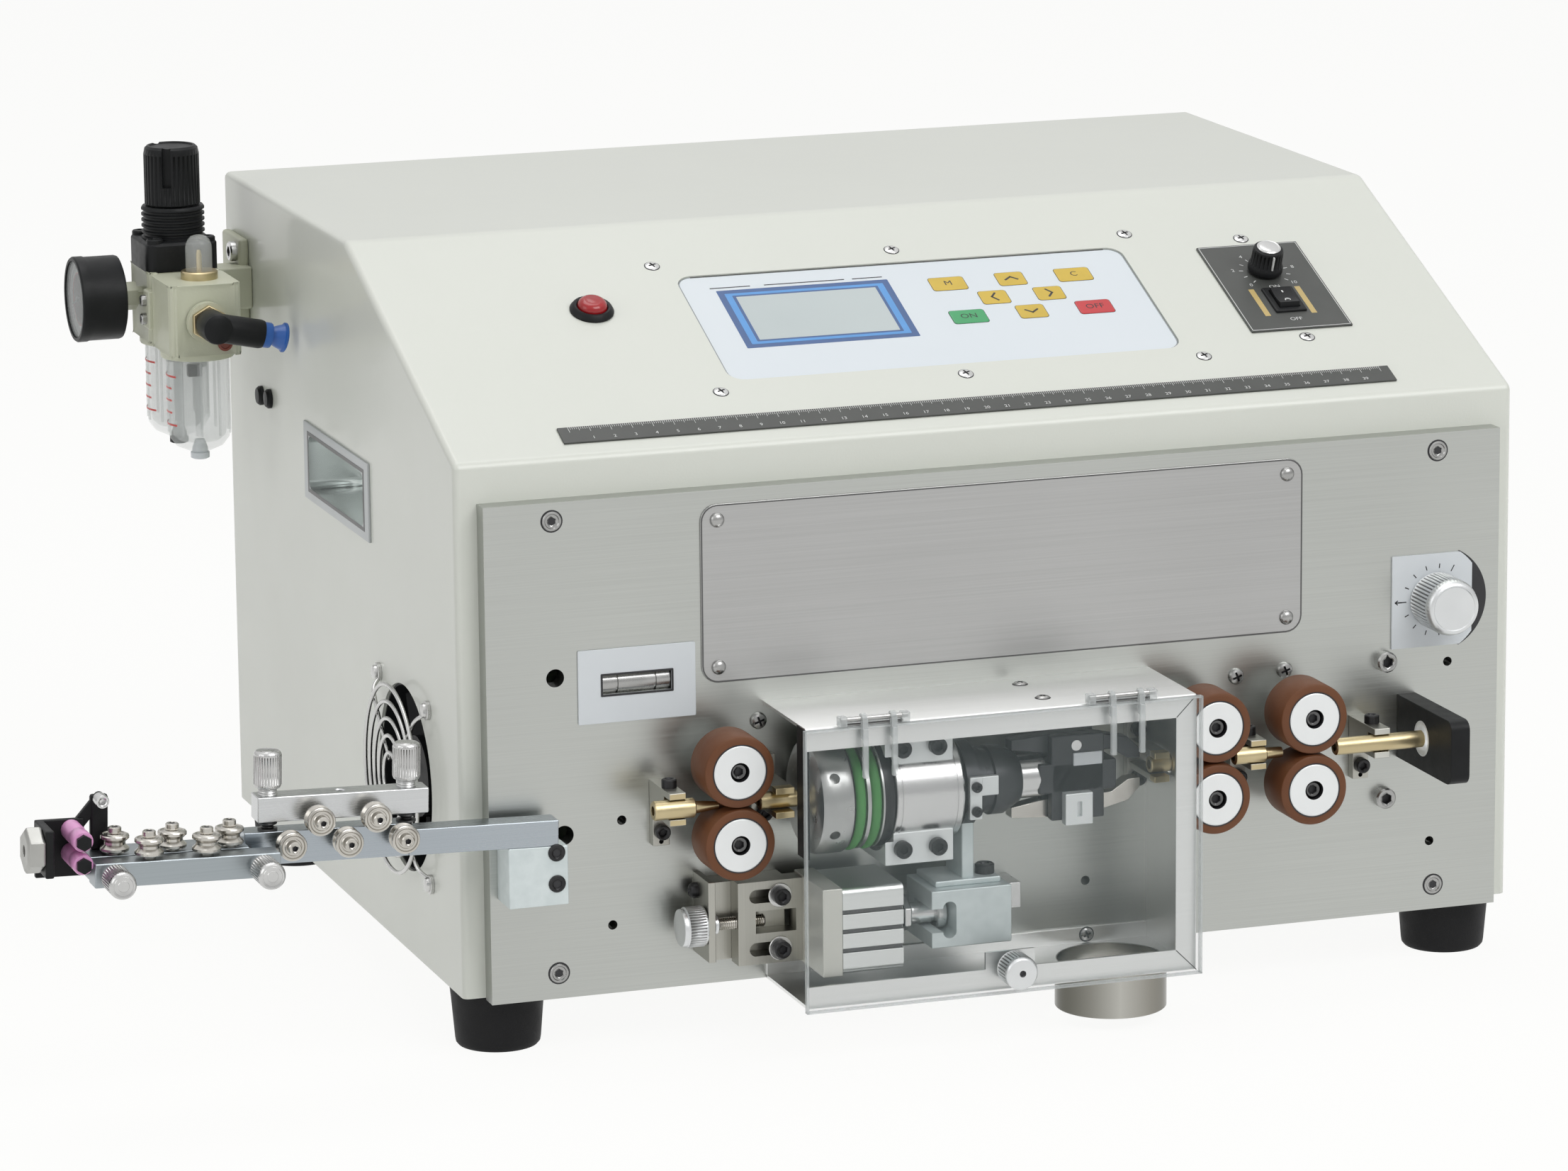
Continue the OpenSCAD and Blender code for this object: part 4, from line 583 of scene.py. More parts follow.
NAME_X = 0.5
NAME_Z = 210
name_plate = coat(tablet("name_plate", 296, 83, 1, 8, 0.3), label_steel)
border = coat(frame_line("name_border", 295.6, 82.6, 0.7, 0.3, 7.8, 1.02), dark_edge)
name_plate = unite("name_plate", [name_plate, border])
move(name_plate, on_plate(NAME_X, NAME_Z))
fasten(name_plate, "machine", "label_film", "label_plates")

white_film = speckled("white_film", {"Roughness": 0.42}, 25, (0.66, 0.70, 0.73), (0.74, 0.775, 0.80),
                      grain=(1200, 0.08, 0.0002))
# Black print; the same colour also paints shade inside screw sockets, cross cuts, holes and recesses, in
# rings round screw heads and in the crescent beside the dial plate.
black_ink = speckled("black_ink", {"Roughness": 0.5}, 90, (0.014, 0.014, 0.016), (0.03, 0.03, 0.034))
bright_metal = speckled("bright_metal", {"Metallic": 1.0}, 45, (0.58, 0.58, 0.575), (0.72, 0.72, 0.715),
                        rough=(0.16, 130, 0.16))
screw_metal = speckled("screw_metal", {"Metallic": 1.0}, 90, (0.30, 0.30, 0.295), (0.48, 0.48, 0.47),
                       rough=(0.2, 180, 0.16))
COUNTER_X = -178.5
COUNTER_Z = 171.5
counter = tablet("counter_plate", 56, 34.4, 1, 0.8)
carve(counter, block("window", (-16.5, -4, -3), (16.5, 5, 3)))
coat(counter, white_film)
rim = coat(frame_line("counter_rim", 34.6, 10.6, 0.9, 0.4, 0.4, 1.25), black_ink)
move(rim, shift(0, 0.5, 0))
drum = turned("counter_drum", [(6, -16), (6, -9.6), (5.4, -9.4), (5.4, -8.8), (6, -8.6), (6, 8.6), (5.4, 8.8),
                               (5.4, 9.4), (6, 9.6), (6, 16)], (0, 0.5, -6), (1, 0, 0), 40)
coat(drum, screw_metal)
counter = unite("counter_plate", [counter, rim, drum])
move(counter, on_plate(COUNTER_X, COUNTER_Z))
fasten(counter, "machine", "label_film", "label_plates")

DIAL_X = 217
DIAL_Z = 178
dial_plate = block("dial_plate", (-22.5, -22.25, 0), (18.5, 22.25, 1))
round_edge = turned("round_edge", [(27, -4), (27, 4)], (-3, 0, 0), sides=128)
carve(round_edge, block("left_part", (-40, -40, -3), (2, 40, 3)), "UNION")
carve(dial_plate, round_edge, "INTERSECT")
drill(dial_plate, 4.05, -4, 4)
coat(dial_plate, white_film)
# A black sliver just beyond the plate's curved edge: painted shadow of the plate.
crescent = turned("crescent", [(25.5, 0), (25.5, 0.6)], (0.5, 0, 0), sides=128)
carve(crescent, block("keep", (12, -40, -2), (40, 40, 2)), "INTERSECT")
coat(crescent, black_ink)
marks = []
for step in range(11):
    turn = math.radians(60 + step * 24)
    mark = block("mark", (15.2, -0.25, 1), (17.4 if step % 5 else 18.6, 0.25, 1.06))
    move(mark, Matrix.Rotation(turn, 4, "Z"))
    marks.append(coat(mark, black_ink))
arrow = block("arrow", (-21, -0.3, 1), (-17.6, 0.3, 1.06))
marks.append(coat(arrow, black_ink))
for lean in (-1, 1):
    barb = block("barb", (0, -0.25, 1), (1.8, 0.25, 1.06))
    move(barb, shift(-21, 0, 0) @ swing(lean * 35, "Z"))
    marks.append(coat(barb, black_ink))
dial_plate = unite("dial_plate", [dial_plate, crescent] + marks)
move(dial_plate, on_plate(DIAL_X, DIAL_Z))
fasten(dial_plate, "machine", "label_film", "label_plates")

# Ruler. A dark printed strip below the panel, with a white line for each millimetre and a number for each
# ten, used to measure the cut length.
def words(text, size, place, ink):
    """Small printed characters, made a flat mesh before they are placed."""
    bpy.ops.object.select_all(action="DESELECT")
    bpy.ops.object.text_add()
    letters = bpy.context.object
    letters.data.body = text
    letters.data.size = size * MM
    letters.data.align_x = "CENTER"
    letters.data.align_y = "CENTER"
    letters.data.resolution_u = 3
    only(letters)
    bpy.ops.object.convert(target="MESH")
    letters = bpy.context.object
    move(letters, place)
    return coat(letters, ink)


# Dark print on the ruler and speed plate; the same colour also paints the shadow strip at the top of the
# panel film.
dark_print = speckled("dark_print", {"Roughness": 0.45}, 60, (0.045, 0.048, 0.044), (0.072, 0.076, 0.071),
                      grain=(1300, 0.06, 0.0002))
white_ink = speckled("white_ink", {"Roughness": 0.5}, 80, (0.62, 0.63, 0.62), (0.74, 0.75, 0.74))
RULER_UP = 16.5
ruler = coat(tablet("ruler", 410, 12.5, 1, 0.4, 0.2), dark_print)
tick = block("tick", (-0.5, -0.5, 1.0), (0.5, 0.5, 1.05))
ticks = []
for step in range(401):
    deep = 4.2 if step % 10 == 0 else (3.0 if step % 5 == 0 else 1.9)
    ticks.append(copy_of(tick, "tick", shift(step - 200, 6.0 - deep / 2, 0)
                         @ Matrix.Diagonal((0.2, deep, 1, 1))))
bpy.data.objects.remove(tick)
ticks = coat(unite("ruler_lines", ticks), white_ink)
numbers = [words(str(n), 3.0, shift((n * 10) - 200, -3.4, 1.05), white_ink)
           for n in range(1, 40)]
ruler = unite("ruler", [ruler, ticks] + numbers)
move(ruler, slope_at(0, RULER_UP))
fasten(ruler, "machine", "label_film", "label_plates")

# Control panel. A printed film on a carrier plate behind the cover's cut-out, with domed keys and a display
# in a blue printed frame. The keys are part of the film.
film = speckled("panel_film", {"Roughness": 0.36, "Coat Weight": 0.15}, 9, (0.70, 0.755, 0.80),
                (0.77, 0.82, 0.855), grain=(1300, 0.06, 0.0002))
# A grey-blue line round the rim of the film: painted shade at the edge of the cover's cut-out.
film_rim = speckled("film_rim", {"Roughness": 0.5}, 60, (0.24, 0.265, 0.28), (0.34, 0.365, 0.38))


def ink(name, colour, rough=0.4):
    """A printed colour with a little unevenness."""
    low = tuple(c * 0.86 for c in colour) + (1,)
    high = tuple(min(c * 1.1, 1) for c in colour) + (1,)
    return finish(name, {"Roughness": rough, "Coat Weight": 0.15}, lambda s: {
        "Base Color": noise(s, 70).blend(low, high), "Normal": bump(s, noise(s, 1300, 2), 0.06, 0.0002)})


blue_ink = ink("blue_ink", (0.05, 0.115, 0.29))
light_blue_ink = ink("light_blue_ink", (0.10, 0.33, 0.72))
yellow_ink = ink("yellow_ink", (0.66, 0.46, 0.05))
green_ink = ink("green_ink", (0.045, 0.36, 0.13))
red_ink = ink("red_ink", (0.56, 0.028, 0.034))
screen_glass = finish("screen_glass", {"Roughness": 0.14, "Coat Weight": 0.3}, lambda s: {
    "Base Color": noise(s, 14, 2).blend((0.50, 0.565, 0.57, 1), (0.60, 0.66, 0.66, 1))})
base = coat(tablet("panel_film", PANEL_W - 0.4, PANEL_H - 0.4, 1.2, 7.8, 0.15), film)
move(base, shift(0, 0, -1.9))
# The dark line round the film's rim is painted shade at the cut-out's edge.
painted_edge_line = coat(frame_line("film_edge", PANEL_W - 0.6, PANEL_H - 0.6, 0.6, 0.2, 7.6, -0.66), film_rim)
carrier = coat(tablet("carrier", 254, 124, 2, 3, 0), dark_print)
move(carrier, shift(0, 0, -3.6))
# A dark strip just under the top edge of the cut-out: painted shadow of the cover's edge on the film.
shadow_gap = block("shadow_gap", (8 - PANEL_W / 2, PANEL_H / 2 - 1.0, -0.7),
                   (PANEL_W / 2 - 8, PANEL_H / 2 - 0.2, -0.6))
panel_bits = [base, painted_edge_line, carrier, coat(shadow_gap, dark_print)]
DISPLAY_X = -53
DISPLAY_UP = 6.5
for w, h, out, ink_of in ((85.5, 50, -0.62, blue_ink), (79, 44, -0.58, light_blue_ink),
                          (72.5, 40, -0.56, blue_ink)):
    bit = coat(tablet("display_frame", w, h, 0.3, 0.5, 0), ink_of)
    move(bit, shift(DISPLAY_X, DISPLAY_UP, out - 0.3))
    panel_bits.append(bit)
screen = coat(tablet("screen", 69.5, 37.5, 0.3, 0.3, 0), screen_glass)
move(screen, shift(DISPLAY_X, DISPLAY_UP, -0.53 - 0.3))
panel_bits.append(screen)
for left, far in ((-98, -78), (-71, -31), (-27, -12)):
    panel_bits.append(coat(block("rule", (left, 33.6, -0.75), (far, 34.3, -0.64)), black_ink))
KEYS = ((18, 24, 17.5, yellow_ink, "M"), (50, 24.5, 14, yellow_ink, "up"), (82, 24.5, 17.5, yellow_ink, "C"),
        (36.5, 9.7, 14, yellow_ink, "left"), (64.5, 9.9, 14, yellow_ink, "right"),
        (18.5, -5.2, 17.5, green_ink, "ON"), (50.5, -4.5, 14, yellow_ink, "down"),
        (82.5, -4.4, 17.5, red_ink, "OFF"))
KEY_H = 11.2
for x, y, w, ink_of, sign in KEYS:
    key = tablet("key", w, KEY_H, 0.5, 1.6, 0)
    sunk(key, 0.7, 0.22, lambda middle, normal: normal.z > 0.9)
    soften(key, 0.12, 1, 20)
    move(key, shift(x, y, -1.0))
    panel_bits.append(coat(key, ink_of))
    ring = coat(frame_line("key_ring", w + 0.4, KEY_H + 0.4, 0.35, 0.2, 1.7, -0.6), black_ink)
    move(ring, shift(x, y, 0))
    panel_bits.append(ring)
    if sign in ("up", "down", "left", "right"):
        turn = {"up": 0, "left": 90, "down": 180, "right": 270}[sign]
        for lean in (-1, 1):
            stroke = block("stroke", (-0.5, -4.3, -0.3), (0.5, 0.5, -0.24))
            move(stroke, shift(x, y, 0) @ swing(turn, "Z") @ shift(0, 1.3, 0) @ swing(lean * 52, "Z"))
            panel_bits.append(coat(stroke, black_ink))
    else:
        panel_bits.append(words(sign, 5.4, shift(x, y, -0.24), black_ink))
panel = unite("control_panel_film", panel_bits)
move(panel, slope_at(0, PANEL_UP))
fasten(panel, "machine", "panel_film", "control_panel")

# Speed plate. A dark grey plate with a pale border, a scale for the speed knob and two gold stripes beside
# the rocker switch.
gold_ink = ink("gold_ink", (0.56, 0.42, 0.16))
speed_bits = []
plate = tablet("speed_plate", 52, 75.5, 1, 0.5, 0.2)
drill(plate, 4.5, -4, 4, (0, 13, 0))
carve(plate, block("rocker_gap", (-7.5, -23, -4), (7.5, -3, 4)))
speed_bits.append(coat(plate, dark_print))
speed_bits.append(coat(frame_line("speed_border", 50.6, 74, 0.35, 0.2, 0.4, 1.04), white_ink))
for x in (-12.8, 11):
    speed_bits.append(coat(block("stripe", (x - 1.4, -25.5, 0.9), (x + 1.4, -1.8, 1.05)), gold_ink))
for step in range(11):
    turn = math.radians(225 - step * 27)
    mark = block("mark", (10.6, -0.22, 0.95), (12.6, 0.22, 1.05))
    move(mark, shift(0, 13, 0) @ Matrix.Rotation(turn, 4, "Z"))
    speed_bits.append(coat(mark, white_ink))
    if step % 2 == 0:
        number_place = shift(15.6 * math.cos(turn), 13 + 15.6 * math.sin(turn), 1.05)
        speed_bits.append(words(str(step), 3.4, number_place, white_ink))
speed_bits.append(words("ON", 3.6, shift(0, -0.6, 1.05), white_ink))
speed_bits.append(words("OFF", 3.6, shift(0, -29.5, 1.05), white_ink))
speed_plate = unite("speed_plate", speed_bits)
move(speed_plate, slope_at(SPEED_X, 97))
fasten(speed_plate, "machine", "label_film", "label_plates")

# Switch bodies. A round bezel holds the red lamp button, a square frame the rocker, and the speed knob sits
# on the threaded neck of its potentiometer. All are black moulded plastic.
black_plastic = speckled("black_plastic", {"Specular IOR Level": 0.18}, 70, (0.007, 0.0075, 0.008),
                         (0.016, 0.017, 0.018), rough=(0.32, 160, 0.2), grain=(1600, 0.14, 0.0003))
bezel = turned("button_bezel", [(7.05, -8), (8.3, -8), (8.3, 0), (10.4, 0), (10.5, 0.8), (9.4, 2.6),
                                (8.6, 3.1), (7.6, 3.0), (7.05, 2.4), (7.05, -7.9)], sides=64)
move(bezel, slope_at(BUTTON_X, BUTTON_UP))
nut = turned("pot_neck", [(3.05, -8), (9, -8), (9, -1.6), (4.4, -1.5), (4.4, 0), (4.1, 0.25), (4.4, 0.5),
                          (4.1, 0.75), (4.4, 1), (4.1, 1.3), (4.3, 1.6), (3.05, 1.6), (3.05, -7.9)], sides=40)
move(nut, slope_at(SPEED_X, POT_UP))
surround = block("rocker_frame", (-8, -10.5, 0), (8, 10.5, 2.2))
soften(surround, 0.7, 3)
carve(surround, block("well", (-5.4, -7.9, -3), (5.4, 7.9, 6)))
body = carve(block("rocker_body", (-7.3, -9.8, -18), (7.3, 9.8, 0.2)),
             block("well", (-5.4, -7.9, -6), (5.4, 7.9, 6)))
surround = unite("rocker_frame", [surround, body])
move(surround, slope_at(SPEED_X, ROCKER_UP))
fasten(coat(unite("switch_bodies_moulded", [bezel, nut, surround]), black_plastic), "machine",
       "black_plastic", "switch_bodies")

# Red button. A clear red domed lens over a lamp, pressed in against a spring.
red_lens = finish("red_lens", {"Roughness": 0.24, "Coat Weight": 0.25, "Coat Roughness": 0.05}, lambda s: {
    "Base Color": noise(s, 120, 2).blend((0.24, 0.003, 0.006, 1), (0.45, 0.010, 0.014, 1))})
lens = turned("red_lens", [(6.98, -3.5), (6.98, 3.4), (6.5, 4.6), (5.6, 5.6), (4.2, 6.3), (2.4, 6.6),
                           (0.6, 6.7)], sides=56)
sunk(lens, 0.3, -0.1, lambda middle, normal: normal.z > 0.985)
move(lens, slope_at(BUTTON_X, BUTTON_UP))
fasten(coat(lens, red_lens), "red_button", "red_plastic", "red_button")

# Rocker. A black rocker with a bar and a ring printed on its two halves.
rocker = turned("rocker_cap", [(7.5, -5), (7.5, 5)], (0, 0, 0), (1, 0, 0), 96)
carve(rocker, block("keep", (-20, -20, -6), (20, 20, 4)), "INTERSECT")
dish = turned("dish", [(26, -8), (26, 8)], (0, 0, 28.6), (1, 0, 0), 160)
carve(rocker, dish)
soften(rocker, 0.35, 2)
coat(rocker, black_plastic)
stroke = coat(block("on_mark", (-0.35, 2.6, 2.80), (0.35, 5.4, 2.96)), white_ink)
ring = turned("off_mark", [(1.5, 0), (1.5, 0.12), (1.0, 0.12), (1.0, 0)], (0, -4, 2.86), sides=28)
coat(ring, white_ink)
rocker = unite("rocker_cap", [rocker, stroke, ring])
move(rocker, slope_at(SPEED_X, ROCKER_UP, 1))
fasten(rocker, "rocker", "black_plastic", "rocker")

# Speed knob. A fluted black knob with a bright cap and a white pointer line.
knob = turned("speed_knob", [(8.4, 2.3), (8.5, 3), (8.3, 5), (7.6, 6), (7.4, 13), (7.0, 14), (5.9, 14.2)],
              sides=72)
sunk(knob, 0.1, -0.5, lambda middle, normal: abs(normal.z) < 0.3 and middle.z > 6 and
       int(math.degrees(math.atan2(middle.y, middle.x)) / 5 + 100) % 3 == 0)
coat(knob, black_plastic)
cap = coat(turned("knob_cap", [(5.8, 14.0), (5.8, 14.8), (5.2, 15.3), (4.6, 15.2), (4.4, 15.3), (0.8, 15.3)],
                  sides=56), bright_metal)
pin = coat(turned("knob_pin", [(3, -6), (3, 2.6)], sides=32), bright_metal)
line = coat(block("pointer", (-0.35, -8.35, 6.4), (0.35, -7.2, 13.4)), white_ink)
knob = unite("speed_knob_moulded", [knob, cap, pin, line])
move(knob, slope_at(SPEED_X, POT_UP))
fasten(knob, "speed_knob", "black_plastic", "speed_knob")

# Handles. A recessed grip in each side wall: a bright pressed tray with a flat rim that snaps into the cover.
tray_metal = speckled("tray_metal", {"Metallic": 0.7}, 18, (0.36, 0.38, 0.385), (0.52, 0.54, 0.545),
                      rough=(0.3, 60, 0.14))
tray_inside = speckled("tray_inside", {"Metallic": 0.9}, 18, (0.80, 0.83, 0.82), (0.90, 0.93, 0.92),
                       rough=(0.1, 60, 0.08))
for side, end in ((-1, "left"), (1, "right")):
    tray = block("tray", (-1.2, -57.5, -19), (0.2, 57.5, 19))
    soften(tray, 0.5, 2)
    well = block("well", (0, -53.2, -14.7), (30, 53.2, 14.7))
    carve(tray, well, "UNION")
    hollow = block("hollow", (-3, -48.5, -13), (28.8, 48.5, 13))
    rounded(hollow, 4, 4, lambda middle, way: middle.x > 20 or abs(way.x) > 0.9)
    coat(tray, tray_metal)
    carve(tray, coat(hollow, tray_inside))
    smooth(tray, 30)
    grip = coat(carve(block("rim_line", (-1.3, -50.4, -14.9), (-0.9, 50.4, 14.9)),
                      block("gap", (-4, -48.6, -13.1), (4, 48.6, 13.1))), dark_edge)
    tray = unite("handle_" + end, [tray, grip])
    if side > 0:
        move(tray, Matrix.Rotation(math.pi, 4, "Z"))
    move(tray, shift(side * SIDE_X, HANDLE_Y, HANDLE_Z))
    fasten(tray, "machine", "grey_plastic", "handle_trays")

# Fan. A square moulded frame and a rotor inside the left wall, behind a finger guard of bent bright wire
# that is screwed on at four ears.
coat(frame["nodes"]["fan_frame"], black_plastic)
coat(frame["nodes"]["fan_rotor"], black_plastic)
guard_wire = speckled("guard_wire", {"Metallic": 1.0}, 60, (0.50, 0.50, 0.49), (0.66, 0.66, 0.65),
                      rough=(0.2, 150, 0.15))
guard = []
for radius in (12, 20, 28, 36, 44):
    bpy.ops.object.select_all(action="DESELECT")
    bpy.ops.mesh.primitive_torus_add(major_radius=radius * MM, minor_radius=1.0 * MM, major_segments=72,
                                     minor_segments=8, location=(0, 0, 7 * MM))
    guard.append(settle(bpy.context.object, "ring"))
for quarter in range(4):
    turn = swing(45 + 90 * quarter, "Z")
    bpy.ops.curve.primitive_bezier_curve_add()
    leg = bpy.context.object
    points = leg.data.splines[0].bezier_points
    points.add(2)
    for point, (x, z) in zip(points, ((10, 5.4), (44, 5.4), (50, 4.6), (55, 1.2))):
        point.co = (x * MM, 0, z * MM)
        point.handle_left_type = "AUTO"
        point.handle_right_type = "AUTO"
    leg.data.bevel_depth = 1.0 * MM
    leg.data.bevel_resolution = 2
    leg.data.resolution_u = 6
    leg.data.use_fill_caps = True
    only(leg)
    bpy.ops.object.convert(target="MESH")
    leg = settle(bpy.context.object, "leg")
    move(leg, turn)
    ear = turned("ear", [(4.5, 0.1), (4.5, 1.6), (4.1, 1.9), (3.5, 1.9), (3.5, 2.6), (3.0, 3.4), (1.8, 3.8),
                         (0.5, 3.9)], (58.3, 0, 0))
    move(ear, turn)
    guard += [leg, ear]
guard = unite("fan_guard_wire", guard)
smooth(guard, 50)
move(guard, shift(-SIDE_X, FAN_Y, FAN_Z) @ swing(-90, "Y"))
fasten(coat(guard, guard_wire), "machine", "bright_steel", "fan_guard")

# Air unit. A filter-regulator and an oiler share a pair of cast bodies in ivory, clamped together and bolted
# to the left wall by a bracket. The regulator has a square black bonnet with a threaded neck.
AIR_X = -300
REG_Y = 148
LUB_Y = 106
AIR_LOW = 279
AIR_HIGH = 314
ivory_cast = finish("ivory_cast", {"Coat Weight": 0.1}, lambda s: {
    "Base Color": noise(s, 22).blend((0.54, 0.555, 0.43, 1), (0.63, 0.645, 0.51, 1)),
    "Roughness": 0.38 + noise(s, 90) * 0.2,
    "Normal": bump(s, noise(s, 700, 3), 0.2, 0.0005)})
air_bits = []
for y in (REG_Y, LUB_Y):
    body = block("air_body", (AIR_X - 18, y - 19.5, AIR_LOW), (AIR_X + 18, y + 19.5, AIR_HIGH))
    rounded(body, 3.5, 3, lambda middle, way: abs(way.z) > 0.9)
    choose(body, "FACE", lambda middle, normal: normal.x < -0.9 or abs(normal.y) > 0.95)
    bpy.ops.mesh.inset(thickness=3 * MM, depth=-1.2 * MM, use_individual=True)
    done()
    soften(body, 0.7, 2, 25)
    air_bits.append(coat(body, ivory_cast))
    foot_ring = turned("bowl_ring", [(17.6, AIR_LOW - 3), (18, AIR_LOW - 2.4), (18, AIR_LOW),
                                     (17.2, AIR_LOW + 0.8)], (AIR_X, y, 0), sides=56)
    drill(foot_ring, 15.6, AIR_LOW - 5, AIR_LOW, (AIR_X, y, 0), sides=56)
    air_bits.append(coat(foot_ring, ivory_cast))
middle_y = (REG_Y + LUB_Y) / 2
for low, high, ease in (((AIR_X - 12, middle_y - 4, AIR_LOW + 6), (AIR_X + 12, middle_y + 4, AIR_HIGH - 6),
                         0.8), ((AIR_X, REG_Y + 2, AIR_LOW + 10), (-SIDE_X, REG_Y + 19, AIR_HIGH - 4), 1.2),
                        ((-SIDE_X - 5, REG_Y + 8, AIR_LOW - 2), (-SIDE_X, REG_Y + 42, AIR_HIGH + 9), 1.5)):
    air_bits.append(coat(soften(block("bracket", low, high), ease, 2), ivory_cast))
clamp = soften(block("clamp", (AIR_X - 20, middle_y - 5.5, AIR_LOW + 8),
                     (AIR_X - 11, middle_y + 5.5, AIR_HIGH - 8)), 1, 2)
air_bits.append(coat(clamp, ivory_cast))


def hex_socket(name, r, h, finish_of, hole=None, sides=40):
    """A cap screw head about Z with a hexagon socket in its top, its walls coloured black as painted shade.
    """
    head = coat(turned(name, [(r, 0), (r, h - r * 0.14), (r * 0.86, h)], sides=sides), finish_of)
    hole = hole or r * 0.55
    carve(head, coat(turned("socket", [(hole, h * 0.45), (hole, h + 2)], sides=6), black_ink))
    return head


for z in (AIR_LOW + 13, AIR_HIGH - 13):
    bolt = hex_socket("clamp_bolt", 2.8, 2.6, screw_metal)
    move(bolt, shift(AIR_X - 20, middle_y, z) @ swing(-90, "Y"))
    air_bits.append(bolt)
bolt = hex_socket("bracket_bolt", 5, 3.4, bright_metal)
move(bolt, shift(-SIDE_X - 5, REG_Y + 16, AIR_HIGH + 2) @ swing(-90, "Y"))
air_bits.append(bolt)
red_ring = ink("red_ring", (0.22, 0.05, 0.03))
ring = turned("oil_screw", [(3.6, 0), (3.6, 1.2), (2.5, 1.3), (2.2, 0.7)], (AIR_X + 9, LUB_Y - 19.3, 284.6),
              (0, -1, 0), 36)
air_bits.append(coat(ring, red_ring))
for y, way in ((LUB_Y - 19.5, -1), (REG_Y + 19.5, 1)):
    port = turned("port", [(5, 0), (10, 0), (10, 4 if way < 0 else 6), (5.05, 4 if way < 0 else 6),
                           (5.05, -6)], (AIR_X, y, 296), (0, way, 0), 48)
    air_bits.append(coat(port, ivory_cast))
bonnet = block("bonnet", (AIR_X - 18, REG_Y - 19.5, AIR_HIGH - 0.5),
               (AIR_X + 18, REG_Y + 19.5, AIR_HIGH + 13))
rounded(bonnet, 5, 3, lambda middle, way: abs(way.z) > 0.9)
choose(bonnet, "FACE", lambda middle, normal: normal.z > 0.9)
bpy.ops.mesh.inset(thickness=1.5 * MM)
bpy.ops.transform.translate(value=(0, 0, 1.2 * MM))
done()
soften(bonnet, 0.6, 2, 25)
black_bits = [bonnet]
for x in (-1, 1):
    for y in (-1, 1):
        boss = hex_socket("bonnet_screw", 4.2, 4, black_plastic, 2.0)
        move(boss, shift(AIR_X + x * 13, REG_Y + y * 14.5, AIR_HIGH + 12))
        black_bits.append(boss)
ridges = [(15.5, 327)]
for ring in range(5):
    low = 329 + ring * 2.8
    ridges += [(15.5, low), (14.4, low + 0.5), (14.4, low + 1.5), (15.5, low + 2.0)]
ridges += [(15.5, 343), (14.8, 344), (4.1, 344), (4.1, 340)]
black_bits.append(turned("neck", ridges, (AIR_X, REG_Y, 0), sides=64))
air_bits.append(coat(unite("bonnet", black_bits), black_plastic))
for y, z in ((121, 249), (137, 247.7)):
    plug = turned("wall_plug", [(4.8, 0), (4.8, 1.6), (3.8, 2.8), (0.6, 3)], (-SIDE_X, y, z), (-1, 0, 0), 32)
    air_bits.append(coat(plug, black_plastic))
fasten(unite("air_unit_cast", air_bits), "machine", "ivory_cast", "air_unit_body")

# Regulator knob. A black ribbed cap with two slots, which is lifted and turned to set the air pressure.
reg_knob = turned("regulator_cap", [(13.2, 344.6), (13.6, 345.2), (13.6, 369.5), (13.0, 372.4), (11.8, 373.5),
                                    (10.8, 373.5), (10.4, 372.8)], (AIR_X, REG_Y, 0), sides=72)
sunk(reg_knob, 0.12, -0.55, lambda middle, normal: abs(normal.z) < 0.1 and middle.z < 369 and
       int(math.degrees(math.atan2(middle.y - REG_Y, middle.x - AIR_X)) / 5 + 100) % 2 == 0)
for turn in (25, 155):
    slot = block("slot", (-2, -2.2, -10), (6, 2.2, 10))
    move(slot, shift(AIR_X, REG_Y, 364) @ swing(turn + 90, "Z") @ shift(12.5, 0, 0))
    carve(reg_knob, slot)
stem = turned("regulator_stem", [(4, 331), (4, 345)], (AIR_X, REG_Y, 0), sides=32)
reg_knob = unite("regulator_cap", [reg_knob, stem])
fasten(coat(reg_knob, black_plastic), "regulator_knob", "black_plastic", "regulator_knob")

